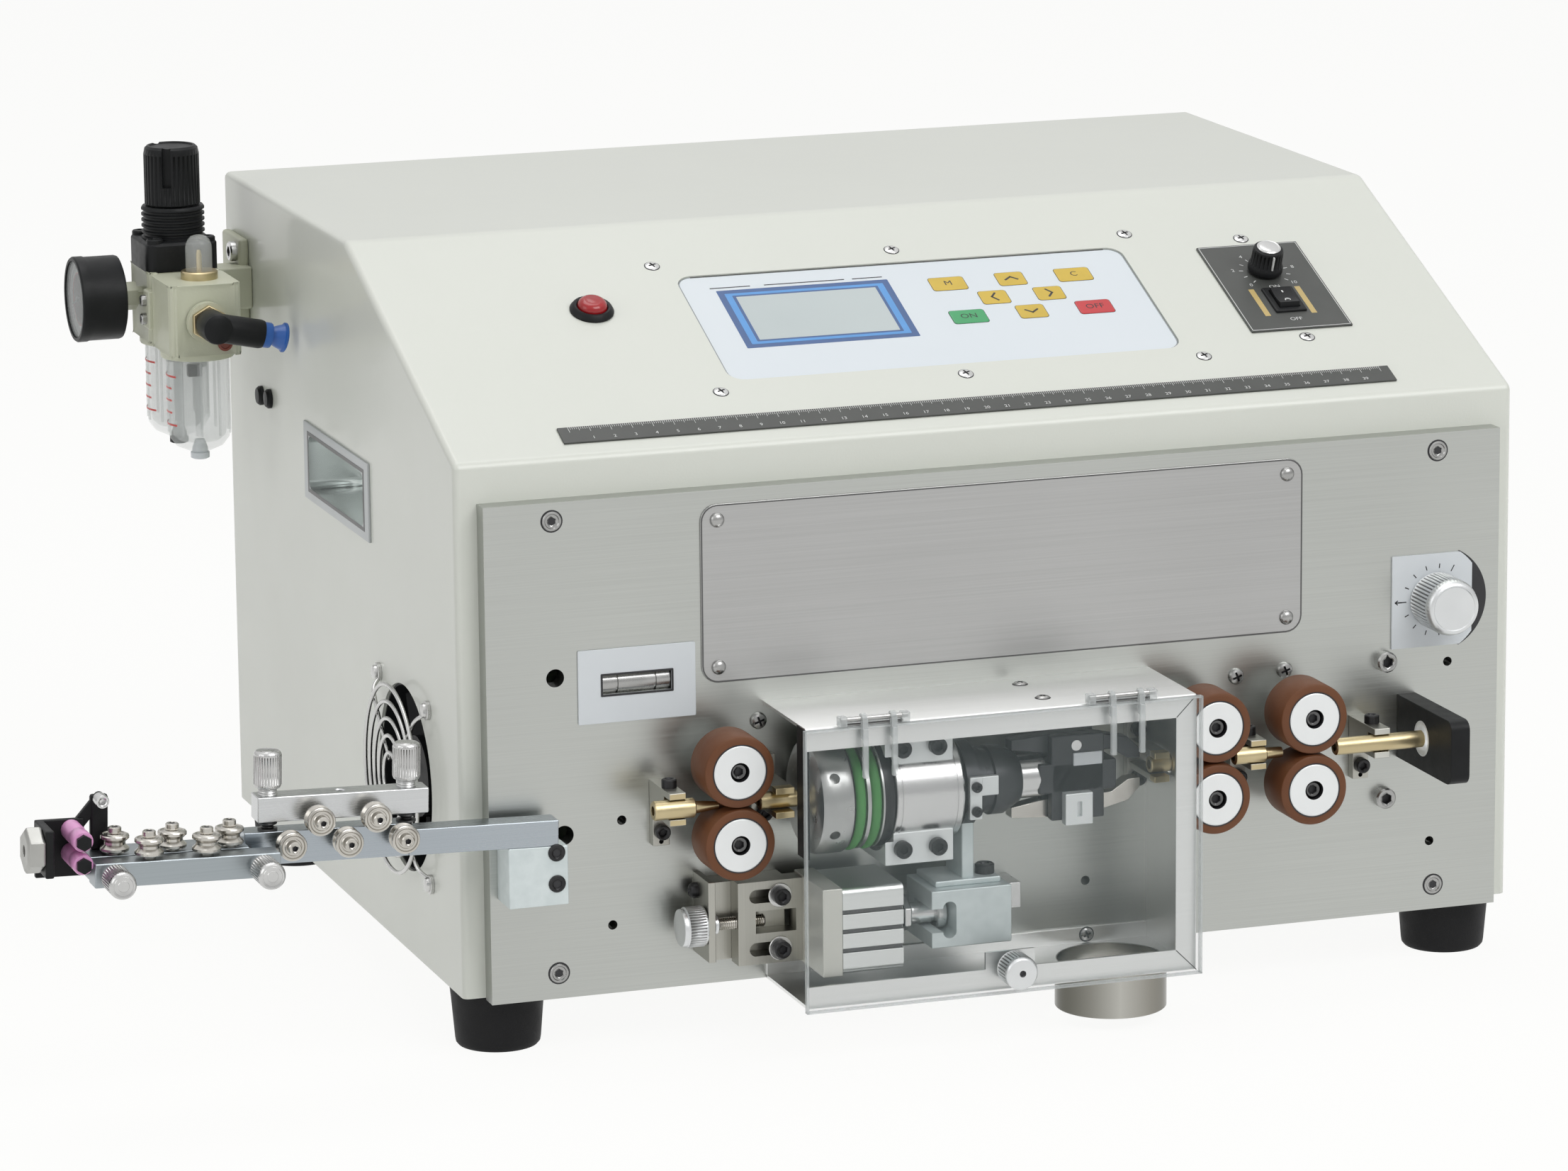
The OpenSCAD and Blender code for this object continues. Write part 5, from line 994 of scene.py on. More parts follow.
# Bowls. Two clear moulded bowls screwed up into the bodies, with a red level scale and a drain at the
# foot, and a small clear sight dome in a brass ring on top of the oiler.
clear_plastic = speckled("clear_plastic", {"Roughness": 0.06, "Alpha": 0.24, "Specular IOR Level": 0.6}, 40,
                         (0.78, 0.82, 0.81), (0.90, 0.93, 0.92))
brass = speckled("brass", {"Metallic": 1.0}, 60, (0.47, 0.385, 0.215), (0.62, 0.525, 0.33),
                 rough=(0.24, 160, 0.18))
scale_red = ink("scale_red", (0.62, 0.05, 0.04))
bowl_bits = []
for y in (REG_Y, LUB_Y):
    bowl = turned("bowl", [(5, 229), (11.5, 232), (14.6, 236), (15.5, 240), (15.5, 278), (13.5, 278),
                           (13.5, 240), (12.6, 237), (10, 234.6), (1, 233)], (AIR_X, y, 0), sides=56)
    bowl_bits.append(coat(bowl, clear_plastic))
    drain = turned("drain", [(3.4, 225), (4.6, 225.6), (4.6, 228.2), (3.8, 228.6), (3.8, 230.4),
                             (2.4, 234.5)], (AIR_X, y, 0), sides=32)
    bowl_bits.append(coat(drain, black_plastic if y == REG_Y else white_film))
    pipe = turned("inner_pipe", [(1.8, 236), (1.8, 270), (4.4, 271), (4.4, 277.5)], (AIR_X, y, 0), sides=32)
    bowl_bits.append(coat(pipe, clear_plastic))
    float_stop = soften(block("float_stop", (AIR_X - 8, y - 13, 268), (AIR_X - 1, y - 9, 274)), 0.5, 2)
    bowl_bits.append(coat(float_stop, black_plastic))
    for step in range(10):
        rib = block("rib", (14.9, -0.55, 238), (15.75, 0.55, 277))
        move(rib, shift(AIR_X, y, 0) @ swing(36 * step + 9, "Z"))
        bowl_bits.append(coat(rib, clear_plastic))
    for z, reach in ((243, 13.2), (249, 14.6), (255, 14.6), (261, 14.6), (267, 13.2)):
        band = turned("scale", [(15.55, 0), (15.62, 0), (15.62, 0.9), (15.55, 0.9)], (AIR_X, y, z), sides=56)
        choose(band, "FACE", lambda middle, normal: middle.x > AIR_X - reach)
        bpy.ops.mesh.delete(type="FACE")
        done()
        bowl_bits.append(coat(band, scale_red))
ring = turned("dome_ring", [(9, AIR_HIGH - 0.4), (9, AIR_HIGH + 3.4), (8.4, AIR_HIGH + 4),
                            (6.6, AIR_HIGH + 4)], (AIR_X + 2, LUB_Y, 0), sides=40)
bowl_bits.append(coat(ring, brass))
dome = turned("sight_dome", [(6.5, AIR_HIGH + 3), (6.5, AIR_HIGH + 15), (6.2, AIR_HIGH + 17),
                             (5.3, AIR_HIGH + 19), (3.9, AIR_HIGH + 20.6), (2.0, AIR_HIGH + 21.3),
                             (0.5, AIR_HIGH + 21.5)], (AIR_X + 2, LUB_Y, 0), sides=40)
bowl_bits.append(coat(dome, clear_plastic))
drip = turned("drip_tube", [(1.4, AIR_HIGH + 3), (1.4, AIR_HIGH + 12), (0.9, AIR_HIGH + 14)],
              (AIR_X + 2, LUB_Y, 0), sides=24)
bowl_bits.append(coat(drip, brass))
fasten(unite("bowls_clear", bowl_bits), "machine", "clear_plastic", "air_bowls")

# Gauge. A dial gauge with a black case, screwed into the regulator and turned away from the wall.
# The white dial is coloured a mid grey: painted shade from its case and lens.
gauge_white = speckled("gauge_white", {"Roughness": 0.35}, 50, (0.22, 0.23, 0.228), (0.29, 0.30, 0.297))
case = turned("gauge_case", [(18, 0), (20.2, 0.8), (20.6, 2), (20.6, 17), (21, 18), (21, 22.2), (20.4, 23),
                             (18.9, 23), (18.6, 20), (0.5, 20)], sides=72)
stem = turned("gauge_stem", [(4.4, -18), (4.4, -8), (7, -8), (7, 0.2)], sides=6)
gauge_bits = [coat(case, black_plastic), coat(stem, ivory_cast)]
gauge_bits.append(coat(turned("gauge_face", [(18.4, 20.05), (18.4, 20.2)], sides=64), gauge_white))
for step in range(51):
    turn = math.radians(225 - step * 5.4)
    mark = block("mark", (15.0 if step % 5 else 13.4, -0.16, 20.2), (16.8, 0.16, 20.26))
    move(mark, Matrix.Rotation(turn, 4, "Z"))
    gauge_bits.append(coat(mark, black_ink))
    if step % 10 == 0:
        number_place = shift(11.0 * math.cos(turn), 11.0 * math.sin(turn), 20.25)
        gauge_bits.append(words(str(step // 5), 3.2, number_place, black_ink))
band = turned("band", [(13.2, 20.2), (13.2, 20.24), (12.8, 20.24), (12.8, 20.2)], sides=64)
gauge_bits.append(coat(band, scale_red))
needle = block("needle", (-4, -0.35, 20.7), (13.5, 0.35, 20.95))
move(needle, swing(200, "Z"))
gauge_bits.append(coat(needle, black_ink))
gauge_bits.append(coat(turned("needle_hub", [(1.7, 20.2), (1.7, 21.2), (1.2, 21.5)], sides=28), black_ink))
lens = turned("gauge_lens", [(18.7, 21.8), (18.7, 22.1), (12, 22.5), (5, 22.7), (0.5, 22.75)], sides=64)
gauge_bits.append(coat(lens, clear_plastic))
gauge = unite("gauge", gauge_bits)
move(gauge, shift(AIR_X - 28, REG_Y, 300)
                     @ Matrix(((0, 0, -1, 0), (-1, 0, 0, 0), (0, 1, 0, 0), (0, 0, 0, 1))))
fasten(gauge, "machine", "black_plastic", "pressure_gauge")

# Air fittings. A black push-in elbow with a brass nut on the oiler's outlet, turned to the wall, with a blue
# release collar and a plug in it.
blue_plastic = speckled("blue_plastic", {"Coat Weight": 0.2}, 60, (0.012, 0.085, 0.36), (0.03, 0.15, 0.52),
                        rough=(0.3, 150, 0.15))
OUT_Y = 82.5
nut = turned("elbow_nut", [(9, -3), (9, 0)], (AIR_X, OUT_Y, 296), (0, 1, 0), 6)
soften(nut, 0.4, 2)
neck = turned("elbow_neck", [(4.8, -1), (4.8, 8)], (AIR_X, OUT_Y, 296), (0, 1, 0), 32)
fit_bits = [coat(nut, brass), coat(neck, brass)]
upright_part = turned("elbow_body", [(5.5, 0.3), (7.1, 1.2), (7.5, 3), (7.5, 16), (7.0, 18.0)],
                      (AIR_X, OUT_Y - 21.3, 296), (0, 1, 0), 48)
leg = turned("elbow_leg", [(6.6, -3), (7, 0), (7, 22.6), (6.6, 24)], sides=48)
collar = turned("collar", [(6.2, 23.5), (6.2, 27.4), (5.9, 28)], sides=40)
plug = turned("plug", [(4, 27), (4, 28.4), (5, 30), (6.4, 33.8), (7.2, 34.2), (7.2, 35.2), (6.6, 35.6)],
              sides=40)
turn = shift(AIR_X, OUT_Y - 13, 296) @ swing(12 + 90, "Y")
for bit in (leg, collar, plug):
    move(bit, turn)
fit_bits += [coat(upright_part, black_plastic), coat(leg, black_plastic), coat(collar, blue_plastic),
             coat(plug, blue_plastic)]
fasten(unite("elbow", fit_bits), "machine", "black_plastic", "air_fittings")

# Straightener beam. A bright square bar from the zinc block on the plate, which carries a thinner bar with
# three rollers on level pins and, at its end, a wide bar with three rollers on upright pins.
# The whole arm leans a little down towards its free end.
WIRE_Y = -238
WIRE_Z = 118.5
on_wire = (0, WIRE_Y, WIRE_Z)
arm_place = shift(-172, WIRE_Y, WIRE_Z) @ swing(1.7, "Y")
bar_silver = brushed("bar_silver", (0.50, 0.51, 0.515, 1), (0.70, 0.71, 0.715, 1), 0.16)
bar_bright = brushed("bar_bright", (0.32, 0.355, 0.385, 1), (0.47, 0.51, 0.545, 1), 0.14)
roller_steel = speckled("roller_steel", {"Metallic": 1.0}, 90, (0.40, 0.38, 0.34), (0.66, 0.64, 0.60),
                        rough=(0.16, 200, 0.14))
zinc_grey = brushed("zinc_grey", (0.30, 0.335, 0.355, 1), (0.46, 0.50, 0.52, 1), 0.24)


def bar(name, low, high, ease, finish_of):
    return coat(soften(block(name, low, high), ease, 2), finish_of)


def pin_with_head(name, foot, head, up, r_head=3.0):
    """A pin with a shoulder at the bar and a cap screw head at the far end, along Z from foot to head."""
    body = turned(name, [(1.75, foot), (1.75, head)], sides=24)
    cap = hex_socket("cap", r_head, 2.6, roller_steel, 1.4, 32)
    move(cap, shift(0, 0, head))
    collar = turned("collar", [(2.95, foot), (2.95, up)], sides=28)
    return unite(name, [coat(body, roller_steel), cap, coat(collar, roller_steel)])


LEVEL_X = -151
SIDE_ROLL_X = -230
PITCH = 13
OFF = 5.3
THUMB_X = (-184, -120)
beam_bits = [bar("square_bar", (-120, 9, -16), (-50, 21, -4), 0.5, bar_bright)]
for x in (-72, -59):
    hole = turned("oblong", [(2.6, -9), (2.6, -3), (4.0, -2)], (x, 15, -2.1), sides=28)
    carve(beam_bits[0], hole)
beam_bits.append(bar("level_bar", (-196, 9.5, -16), (-119.9, 21, -1), 0.4, bar_bright))
beam_bits.append(bar("side_bar", (-268, 0.8, -16), (-195.9, 21, -5), 0.4, zinc_grey))
level_pin = pin_with_head("level_pin", -11, 4.2, -4.3)
upright_pin = pin_with_head("upright_pin", -7, 4.5, -4.3)
for i in (-2, 0, 2):
    place = shift(LEVEL_X + i * PITCH, 0, -OFF) @ swing(90, "X")
    beam_bits.append(copy_of(level_pin, "level_pin", place))
    beam_bits.append(copy_of(upright_pin, "upright_pin", shift(SIDE_ROLL_X + i * PITCH, OFF, 0)))
for x in THUMB_X:
    post = turned("post", [(4.5, -1.1), (4.5, -0.3), (3.9, -0.2)], (x, 15, 0), sides=32)
    beam_bits.append(coat(post, dark_edge))
beam = unite("straightener_beam", beam_bits)
move(beam, arm_place)
fasten(beam, "machine", "bright_steel", "arm_beam")

# Roller bars. The upper bar presses two level rollers down and the front bar two upright rollers back. Each
# hangs on two fluted thumbscrews, and the upper one has springs round their threads.
fluted_steel = speckled("fluted_steel", {"Metallic": 1.0}, 120, (0.48, 0.48, 0.475), (0.68, 0.68, 0.67),
                        rough=(0.2, 220, 0.16))


def thumbscrew(name, shank):
    """A fluted thumbscrew about Z: thread below, neck, and a long fluted head."""
    head = turned(name, [(4.6, 2.9), (5.7, 3.6), (6.3, 5), (6.3, 18), (5.9, 19.4), (5.2, 20), (4.4, 19.8),
                         (4.2, 20), (2.6, 19.8), (2.4, 20), (0.6, 20)], sides=60)
    sunk(head, 0.06, -0.45, lambda middle, normal: abs(normal.z) < 0.2 and 6 < middle.z < 17 and
           round(math.degrees(math.atan2(middle.y, middle.x)) / 6 - 0.5) % 2 == 0)
    coat(head, fluted_steel)
    neck = coat(turned("neck", [(4.2, 0), (4.3, 0.4), (4.0, 0.8), (4.3, 1.4), (4.0, 1.9), (4.3, 2.5),
                                (4.0, 3.1)], sides=32), fluted_steel)
    steps = [(2.9, -shank)]
    for ring in range(int(shank)):
        steps += [(3.0, -shank + ring + 0.3), (2.6, -shank + ring + 0.8)]
    thread = coat(turned("thread", steps + [(3.0, 0)], sides=24), dark_edge)
    return unite(name, [head, neck, thread])


upper_bits = [bar("upper_bar", (-190, 9, 3.4), (-111, 21, 14.9), 0.6, bar_silver)]
carve(upper_bits[0], turned("tapped_hole", [(2.0, 8), (2.0, 14.2), (2.8, 15.2)], (-151, 15, 0), sides=28))
for i in (-1, 1):
    place = shift(LEVEL_X + i * PITCH, 0, OFF) @ swing(90, "X")
    upper_bits.append(copy_of(level_pin, "level_pin", place))
thumb = thumbscrew("thumbscrew", 23)
for x in THUMB_X:
    upper_bits.append(copy_of(thumb, "thumb", shift(x, 15, 14.9)))
    for ring in range(2):
        bpy.ops.object.select_all(action="DESELECT")
        bpy.ops.mesh.primitive_torus_add(major_radius=3.9 * MM, minor_radius=0.45 * MM, major_segments=28,
                                         minor_segments=6, location=Vector((x, 15, 2.0 + ring * 0.9)) * MM)
        upper_bits.append(coat(settle(bpy.context.object, "spring"), dark_edge))
upper = unite("upper_roller_bar", upper_bits)
move(upper, arm_place)
fasten(upper, "upper_bar", "bright_steel", "upper_bar")

front_bits = [bar("front_bar", (-269, -12.5, -16), (-185, -0.8, -5), 0.6, zinc_grey)]
for i in (-1, 1):
    front_bits.append(copy_of(upright_pin, "upright_pin", shift(SIDE_ROLL_X + i * PITCH, -OFF, 0)))
for x in (-261, -194):
    place = shift(x, -12.5, -10.5) @ swing(90, "X")
    front_bits.append(copy_of(thumb, "thumb", place))
front = unite("front_roller_bar", front_bits)
move(front, arm_place)
fasten(front, "front_bar", "bright_steel", "front_bar")
for spare in (thumb, level_pin, upright_pin):
    bpy.data.objects.remove(spare)

# Straightening rollers. Ten hardened steel rollers with a groove for the wire, free to turn on their pins.
groove_roller = turned("groove_roller", [(3.2, -4), (5.4, -4), (6.2, -3.7), (6.5, -3.2), (6.5, -2.2),
                                         (4.8, -0.6), (4.8, 0.6), (6.5, 2.2), (6.5, 3.2), (6.2, 3.7),
                                         (5.4, 4), (4.9, 3.6), (4.0, 3.6), (3.6, 4), (3.2, 4)], sides=56)
drill(groove_roller, 1.8, -8, 8, sides=24)
smooth(groove_roller, 30)
coat(groove_roller, roller_steel)
for i in range(1, 6):
    place = arm_place @ shift(LEVEL_X + (i - 3) * PITCH, 0, -OFF if i % 2 else OFF)
    name = "level_roller_%d" % i
    roller = copy_of(groove_roller, name + "_steel", place @ swing(90, "X"))
    fasten(roller, name, "bright_steel", name)
    place = arm_place @ shift(SIDE_ROLL_X + (i - 3) * PITCH, OFF if i % 2 else -OFF, 0)
    name = "side_roller_%d" % i
    roller = copy_of(groove_roller, name + "_steel", place)
    fasten(roller, name, "bright_steel", name)
bpy.data.objects.remove(groove_roller)

# End guide. A black bracket at the free end of the arm with two pink ceramic rods, a hexagon nut with an eye
# for the wire, and a short black lever on a screw.
pink_ceramic = speckled("pink_ceramic", {"Coat Weight": 0.3}, 60, (0.68, 0.27, 0.55), (0.86, 0.42, 0.72),
                        rough=(0.3, 150, 0.12))
nut_grey = speckled("nut_grey", {"Metallic": 0.8}, 70, (0.34, 0.34, 0.32), (0.50, 0.50, 0.48),
                    rough=(0.34, 150, 0.15))
guide_bits = [bar("bracket", (-290, 12, -16), (-268, 15, 10), 0.6, black_plastic),
              bar("bracket_face", (-290, -8, -11.5), (-286, 13, 10), 0.8, black_plastic),
              bar("lever_post", (-265, 12.6, -5), (-257, 16.6, 20), 1.2, black_plastic)]
drill(guide_bits[1], 2.5, -9, 9, (-288, 0, 0), (1, 0, 0), 28)
for z in (-1, 1):
    rod = turned("rod", [(3.4, -12), (4.3, -11.6), (4.6, -11), (4.6, -3), (4.2, -2.2), (4.2, 0.2), (4.6, 1),
                         (4.6, 13)], (-274, 0, z * 5.2), (0, 1, 0), 40)
    guide_bits.append(coat(rod, pink_ceramic))
    tip = turned("rod_end", [(2.8, -14.5), (3.6, -14.2), (3.6, -11.8)], (-274, 0, z * 5.2), (0, 1, 0), 6)
    guide_bits.append(coat(tip, black_plastic))
nut = turned("eye_nut", [(8.6, -298), (10.5, -296.8), (10.5, -291), (9.6, -290)], (0, 0, 0), (1, 0, 0), 6)
drill(nut, 2.5, -300, -288, (0, 0, 0), (1, 0, 0), 28)
guide_bits.append(coat(soften(nut, 0.4, 2), nut_grey))
screw = turned("lever_screw", [(3.2, 0), (3.2, 5), (2.8, 6)], (-261, 12.6, 18), (0, -1, 0), 32)
drill(screw, 1.6, 3.5, 8, (-261, 12.6, 18), (0, -1, 0), 6)
guide_bits.append(coat(screw, bright_metal))
lever = block("lever", (-2.6, 13.1, -3), (2.6, 16.1, 18))
rounded(lever, 2.4, 4, lambda middle, way: abs(way.y) > 0.9)
soften(lever, 0.5, 2)
move(lever, shift(-261, 0, 18) @ swing(220, "Y"))
guide_bits.append(coat(lever, black_plastic))
guide = unite("end_guide", guide_bits)
move(guide, arm_place)
fasten(guide, "machine", "black_plastic", "end_guide")

# Feed rollers. Three pairs of aluminium hubs with brown rubber tyres, each held on its shaft by a socket
# screw in a deep recess. A gear behind the plate turns the upper roller with the lower one.
tyre_rubber = speckled("tyre_rubber", {"Specular IOR Level": 0.34}, 40, (0.115, 0.040, 0.015),
                       (0.175, 0.068, 0.028), rough=(0.42, 140, 0.16), grain=(900, 0.15, 0.0003))
hub_metal = speckled("hub_metal", {"Metallic": 0.3}, 30, (0.82, 0.84, 0.84), (0.92, 0.935, 0.935),
                     rough=(0.36, 160, 0.14))
black_steel = speckled("black_steel", {"Metallic": 0.6}, 80, (0.016, 0.016, 0.017), (0.045, 0.045, 0.047),
                       rough=(0.28, 180, 0.18))
GEAR_TEETH = 17
tyre = turned("tyre", [(12.9, -11), (15.2, -11), (16.3, -10.5), (16.7, -9.6), (16.7, 9.6), (16.3, 10.5),
                       (15.2, 11)], sides=96)
drill(tyre, 12.9, -14, 14, sides=96)
smooth(tyre, 30)
coat(tyre, tyre_rubber)
seam = turned("seam", [(13.0, -11), (13.0, -10.6)], sides=72)
drill(seam, 12.3, -13, -9, sides=72)
coat(seam, black_ink)
hub = turned("hub", [(5.2, -11.1), (11.9, -11.25), (12.4, -10.9), (12.85, -10.5), (12.85, 10.9), (8, 11),
                     (8, 16), (5, 16)], sides=72)
coat(hub, hub_metal)
# The recess's walls are coloured black: painted shade in the recess round the screw.
carve(hub, coat(turned("recess", [(4.5, -13), (4.5, -6)], sides=40), black_ink))
smooth(hub, 30)
screw = hex_socket("hub_screw", 3.8, 3.6, dark_edge, 2.2)
move(screw, shift(0, 0, -5.9) @ Matrix.Rotation(math.pi, 4, "X"))
roller_front = unite("roller_front", [tyre, seam, hub, screw])
gear = turned("gear", [(14.95, 43), (14.95, 51)], sides=GEAR_TEETH * 5)


def tooth_face(middle, normal):
    step = (math.degrees(math.atan2(middle.y, middle.x)) + 90) / (360 / GEAR_TEETH)
    return abs(normal.z) < 0.1 and abs(step - round(step)) < 0.28


sunk(gear, 1.15, 3.4, tooth_face)
coat(gear, roller_steel)
for pair, x in (("left", -142.5), ("middle", 90.5), ("right", 139)):
    for level, side, end in (("upper", 1, 54), ("lower", -1, 71.5)):
        shaft = coat(turned("shaft", [(5, 14), (5, end - 0.6), (4.4, end)], sides=40), bright_metal)
        tooth_turn = 0 if side > 0 else math.pi + math.pi / GEAR_TEETH
        pieces = [copy_of(roller_front, "front", Matrix.Identity(4)), shaft,
                  copy_of(gear, "gear", Matrix.Rotation(-tooth_turn, 4, "Z"))]
        roller = unite("feed_%s_%s_roller" % (pair, level), pieces)
        place = shift(x, WIRE_Y, WIRE_Z + side * 17)
        move(roller, place @ Matrix(((1, 0, 0, 0), (0, 0, 1, 0), (0, 1, 0, 0), (0, 0, 0, 1))))
        roller.data.flip_normals()
        fasten(roller, "feed_%s_%s" % (pair, level), "roller_rubber", "feed_roller_%s_%s" % (pair, level))
for spare in (roller_front, gear):
    bpy.data.objects.remove(spare)

# Cutter box. Bent stainless sheet with a lip round the window, mitred at the corners and open at the left,
# with a black strip at its left edge and a tube below through which the cut ends fall.
box_steel = brushed("box_steel", (0.72, 0.725, 0.715, 1), (0.92, 0.925, 0.915, 1), 0.22)
BOX_LEFT = -118
BOX_RIGHT = 72
BOX_FRONT = -269
BOX_LOW = 27
BOX_HIGH = 158
LIP = 10.5
CHUTE = (41, -239.5, 0)
HINGE_X = (-86, 34)
KNOB_X = -20
KNOB_Z = 38.5
PANE_FRONT = -272.3
box = block("cutter_box", (BOX_LEFT, BOX_FRONT, BOX_LOW), (BOX_RIGHT, PLATE_Y, BOX_HIGH))
rounded(box, 1.2, 3, lambda middle, way: (abs(way.x) > 0.9 and middle.y < -250) or
       (abs(way.z) > 0.9 and middle.y < -250 and middle.x > 0) or (abs(way.y) > 0.9 and middle.x > 0))
carve(box, block("inside", (BOX_LEFT - 20, BOX_FRONT + 1.5, BOX_LOW + 1.5),
                 (BOX_RIGHT - 1.5, PLATE_Y + 20, BOX_HIGH - 1.5)))
opening = block("opening", (BOX_LEFT - 20, BOX_FRONT - 5, BOX_LOW + LIP),
                (BOX_RIGHT - LIP, BOX_FRONT + 5, BOX_HIGH - LIP))
carve(opening, block("tab", (-32, BOX_FRONT - 9, BOX_LOW), (-8, BOX_FRONT + 9, 45.5)))
carve(box, opening)
drill(box, 3.2, -4, 4, (KNOB_X, BOX_FRONT, KNOB_Z), (0, 1, 0), 28)
drill(box, 5, -5, 5, (BOX_RIGHT, WIRE_Y, WIRE_Z), (1, 0, 0), 28)
chute = turned("chute", [(25, BOX_LOW + 1.4), (26, BOX_LOW + 1.4), (26, 6.4), (25.7, 6), (25.2, 6), (25, 6.4),
                         (25, BOX_LOW + 1.3)], CHUTE, sides=80)
drill(box, 25.5, BOX_LOW - 5, BOX_LOW + 5, CHUTE, sides=80)
choose(chute, "FACE", lambda middle, normal: abs(normal.z) > 0.9
       and (middle.xy - Vector(CHUTE).xy).length < 10)
bpy.ops.mesh.delete(type="FACE")
done()
smooth(box, 25)


def across(shade):
    """The place from left to right on the piece, in metres."""
    return shade.node("ShaderNodeSeparateXYZ", None, {0: shade.node("ShaderNodeTexCoord", out=3)})


# The tube's colour runs from dark at its sides to bright in its middle along X: a painted reflection, fixed
# on the piece.
chute_steel = finish("chute_steel", {"Metallic": 1.0}, lambda s: {
    "Base Color": s.node("ShaderNodeValToRGB", {"stops": [
        (0.0, (0.12, 0.118, 0.10, 1)), (0.16, (0.24, 0.235, 0.21, 1)), (0.4, (0.46, 0.455, 0.42, 1)),
        (0.7, (0.28, 0.27, 0.24, 1)), (1.0, (0.13, 0.125, 0.105, 1))]}, {0: across(s) * 19.2 - 0.288}),
    "Roughness": 0.16 + noise(s, 60) * 0.1})
box_bits = [coat(box, box_steel), coat(chute, chute_steel)]
box_bits.append(bar("back_flange", (BOX_LEFT, PLATE_Y - 1.5, BOX_LOW), (BOX_RIGHT, PLATE_Y, BOX_LOW + 9), 0.3,
                    box_steel))
box_bits.append(bar("edge_strip", (BOX_LEFT - 0.2, BOX_FRONT + 0.2, 97),
                    (BOX_LEFT + 1.8, BOX_FRONT + 12, BOX_HIGH - 0.5), 0.3, black_plastic))
for z, lean in ((BOX_HIGH - LIP / 2, 45), (BOX_LOW + LIP / 2, -45)):
    mitre = block("mitre", (-7.2, -0.06, -0.22), (7.2, 0.06, 0.22))
    move(mitre, shift(BOX_RIGHT - LIP / 2, BOX_FRONT, z) @ swing(-lean, "Y"))
    box_bits.append(coat(mitre, dark_edge))
window_clear = speckled("window_clear", {"Roughness": 0.04, "Alpha": 0.09, "Specular IOR Level": 0.5}, 6,
                        (0.22, 0.27, 0.275), (0.30, 0.35, 0.355))
edge_clear = speckled("edge_clear", {"Roughness": 0.06, "Alpha": 0.42}, 40, (0.58, 0.62, 0.62),
                      (0.74, 0.77, 0.77))
HINGE_Y = -270.8
HINGE_Z = 161.2
for x in HINGE_X:
    leaf = block("leaf", (x - 15, BOX_FRONT, BOX_HIGH), (x + 15, HINGE_Y + 9, BOX_HIGH + 1))
    rounded(leaf, 2.5, 4, lambda middle, way: abs(way.z) > 0.9)
    soften(leaf, 0.25, 1)
    box_bits.append(coat(leaf, edge_clear))
    rim = block("leaf_rim", (x - 14.6, BOX_FRONT - 0.15, BOX_HIGH + 0.1),
                (x + 14.6, BOX_FRONT + 0.3, BOX_HIGH + 0.8))
    box_bits.append(coat(rim, dark_edge))
    for s in (-1, 1):
        lug = soften(block("lug", (x + s * 15 - 2, HINGE_Y - 1.5, BOX_HIGH),
                           (x + s * 15 + 2, HINGE_Y + 3, HINGE_Z + 1.5)), 0.5, 2)
        box_bits.append(coat(lug, edge_clear))
    rim = block("leaf_back", (x - 13, HINGE_Y + 8.6, BOX_HIGH + 0.1), (x + 13, HINGE_Y + 9.1, BOX_HIGH + 1.1))
    box_bits.append(coat(rim, dark_edge))
    pin = turned("hinge_pin", [(1.2, -16), (1.2, 16)], (x, HINGE_Y, HINGE_Z), (1, 0, 0), 20)
    box_bits.append(coat(pin, screw_metal))
fasten(unite("cutter_box_sheet", box_bits), "machine", "plate_steel", "cutter_box")

# Window. A clear acrylic sheet that swings up on two clear hinges, with a knurled knob at its lower edge.
pane = soften(block("pane", (BOX_LEFT - 1.5, PANE_FRONT, BOX_LOW - 1),
                    (BOX_RIGHT + 1.5, -269.3, BOX_HIGH - 0.5)), 0.25, 1)
drill(pane, 3.1, -5, 5, (KNOB_X, HINGE_Y, KNOB_Z), (0, 1, 0), 32)
pane_bits = [coat(pane, window_clear)]
for low, high in (((BOX_LEFT - 1.45, -272.4, BOX_LOW - 1), (BOX_LEFT - 0.5, -269.4, BOX_HIGH - 0.5)),
                  ((BOX_RIGHT + 0.5, -272.4, BOX_LOW - 1), (BOX_RIGHT + 1.45, -269.4, BOX_HIGH - 0.5)),
                  ((BOX_LEFT - 1.4, -272.4, BOX_LOW - 1.05), (BOX_RIGHT + 1.4, -269.4, BOX_LOW - 0.2)),
                  ((BOX_LEFT - 1.4, -272.4, BOX_HIGH - 1.3), (BOX_RIGHT + 1.4, -269.4, BOX_HIGH - 0.45))):
    pane_bits.append(coat(block("pane_edge", low, high), edge_clear))
for x in HINGE_X:
    for s in (-1, 1):
        strap = soften(block("strap", (x + s * 7 + 0.6, -274.8, BOX_HIGH - 24),
                             (x + s * 7 + 3.2, -272.2, BOX_HIGH - 1)), 0.5, 2)
        pane_bits.append(coat(strap, edge_clear))
        middle = x + s * 7 + 1.9
        knuckle = turned("knuckle", [(2.2, -1.3), (2.4, -1.1), (2.4, 1.1), (2.2, 1.3)],
                         (middle, HINGE_Y, HINGE_Z), (1, 0, 0), 32)
        carve(knuckle, block("web", (middle - 1.3, -273.8, BOX_HIGH - 6), (middle + 1.3, HINGE_Y, HINGE_Z)),
              "UNION")
        drill(knuckle, 1.25, -9, 9, (middle, HINGE_Y, HINGE_Z), (1, 0, 0), 20)
        pane_bits.append(coat(knuckle, edge_clear))
fasten(unite("window_sheet", pane_bits), "window", "clear_plastic", "window_pane")


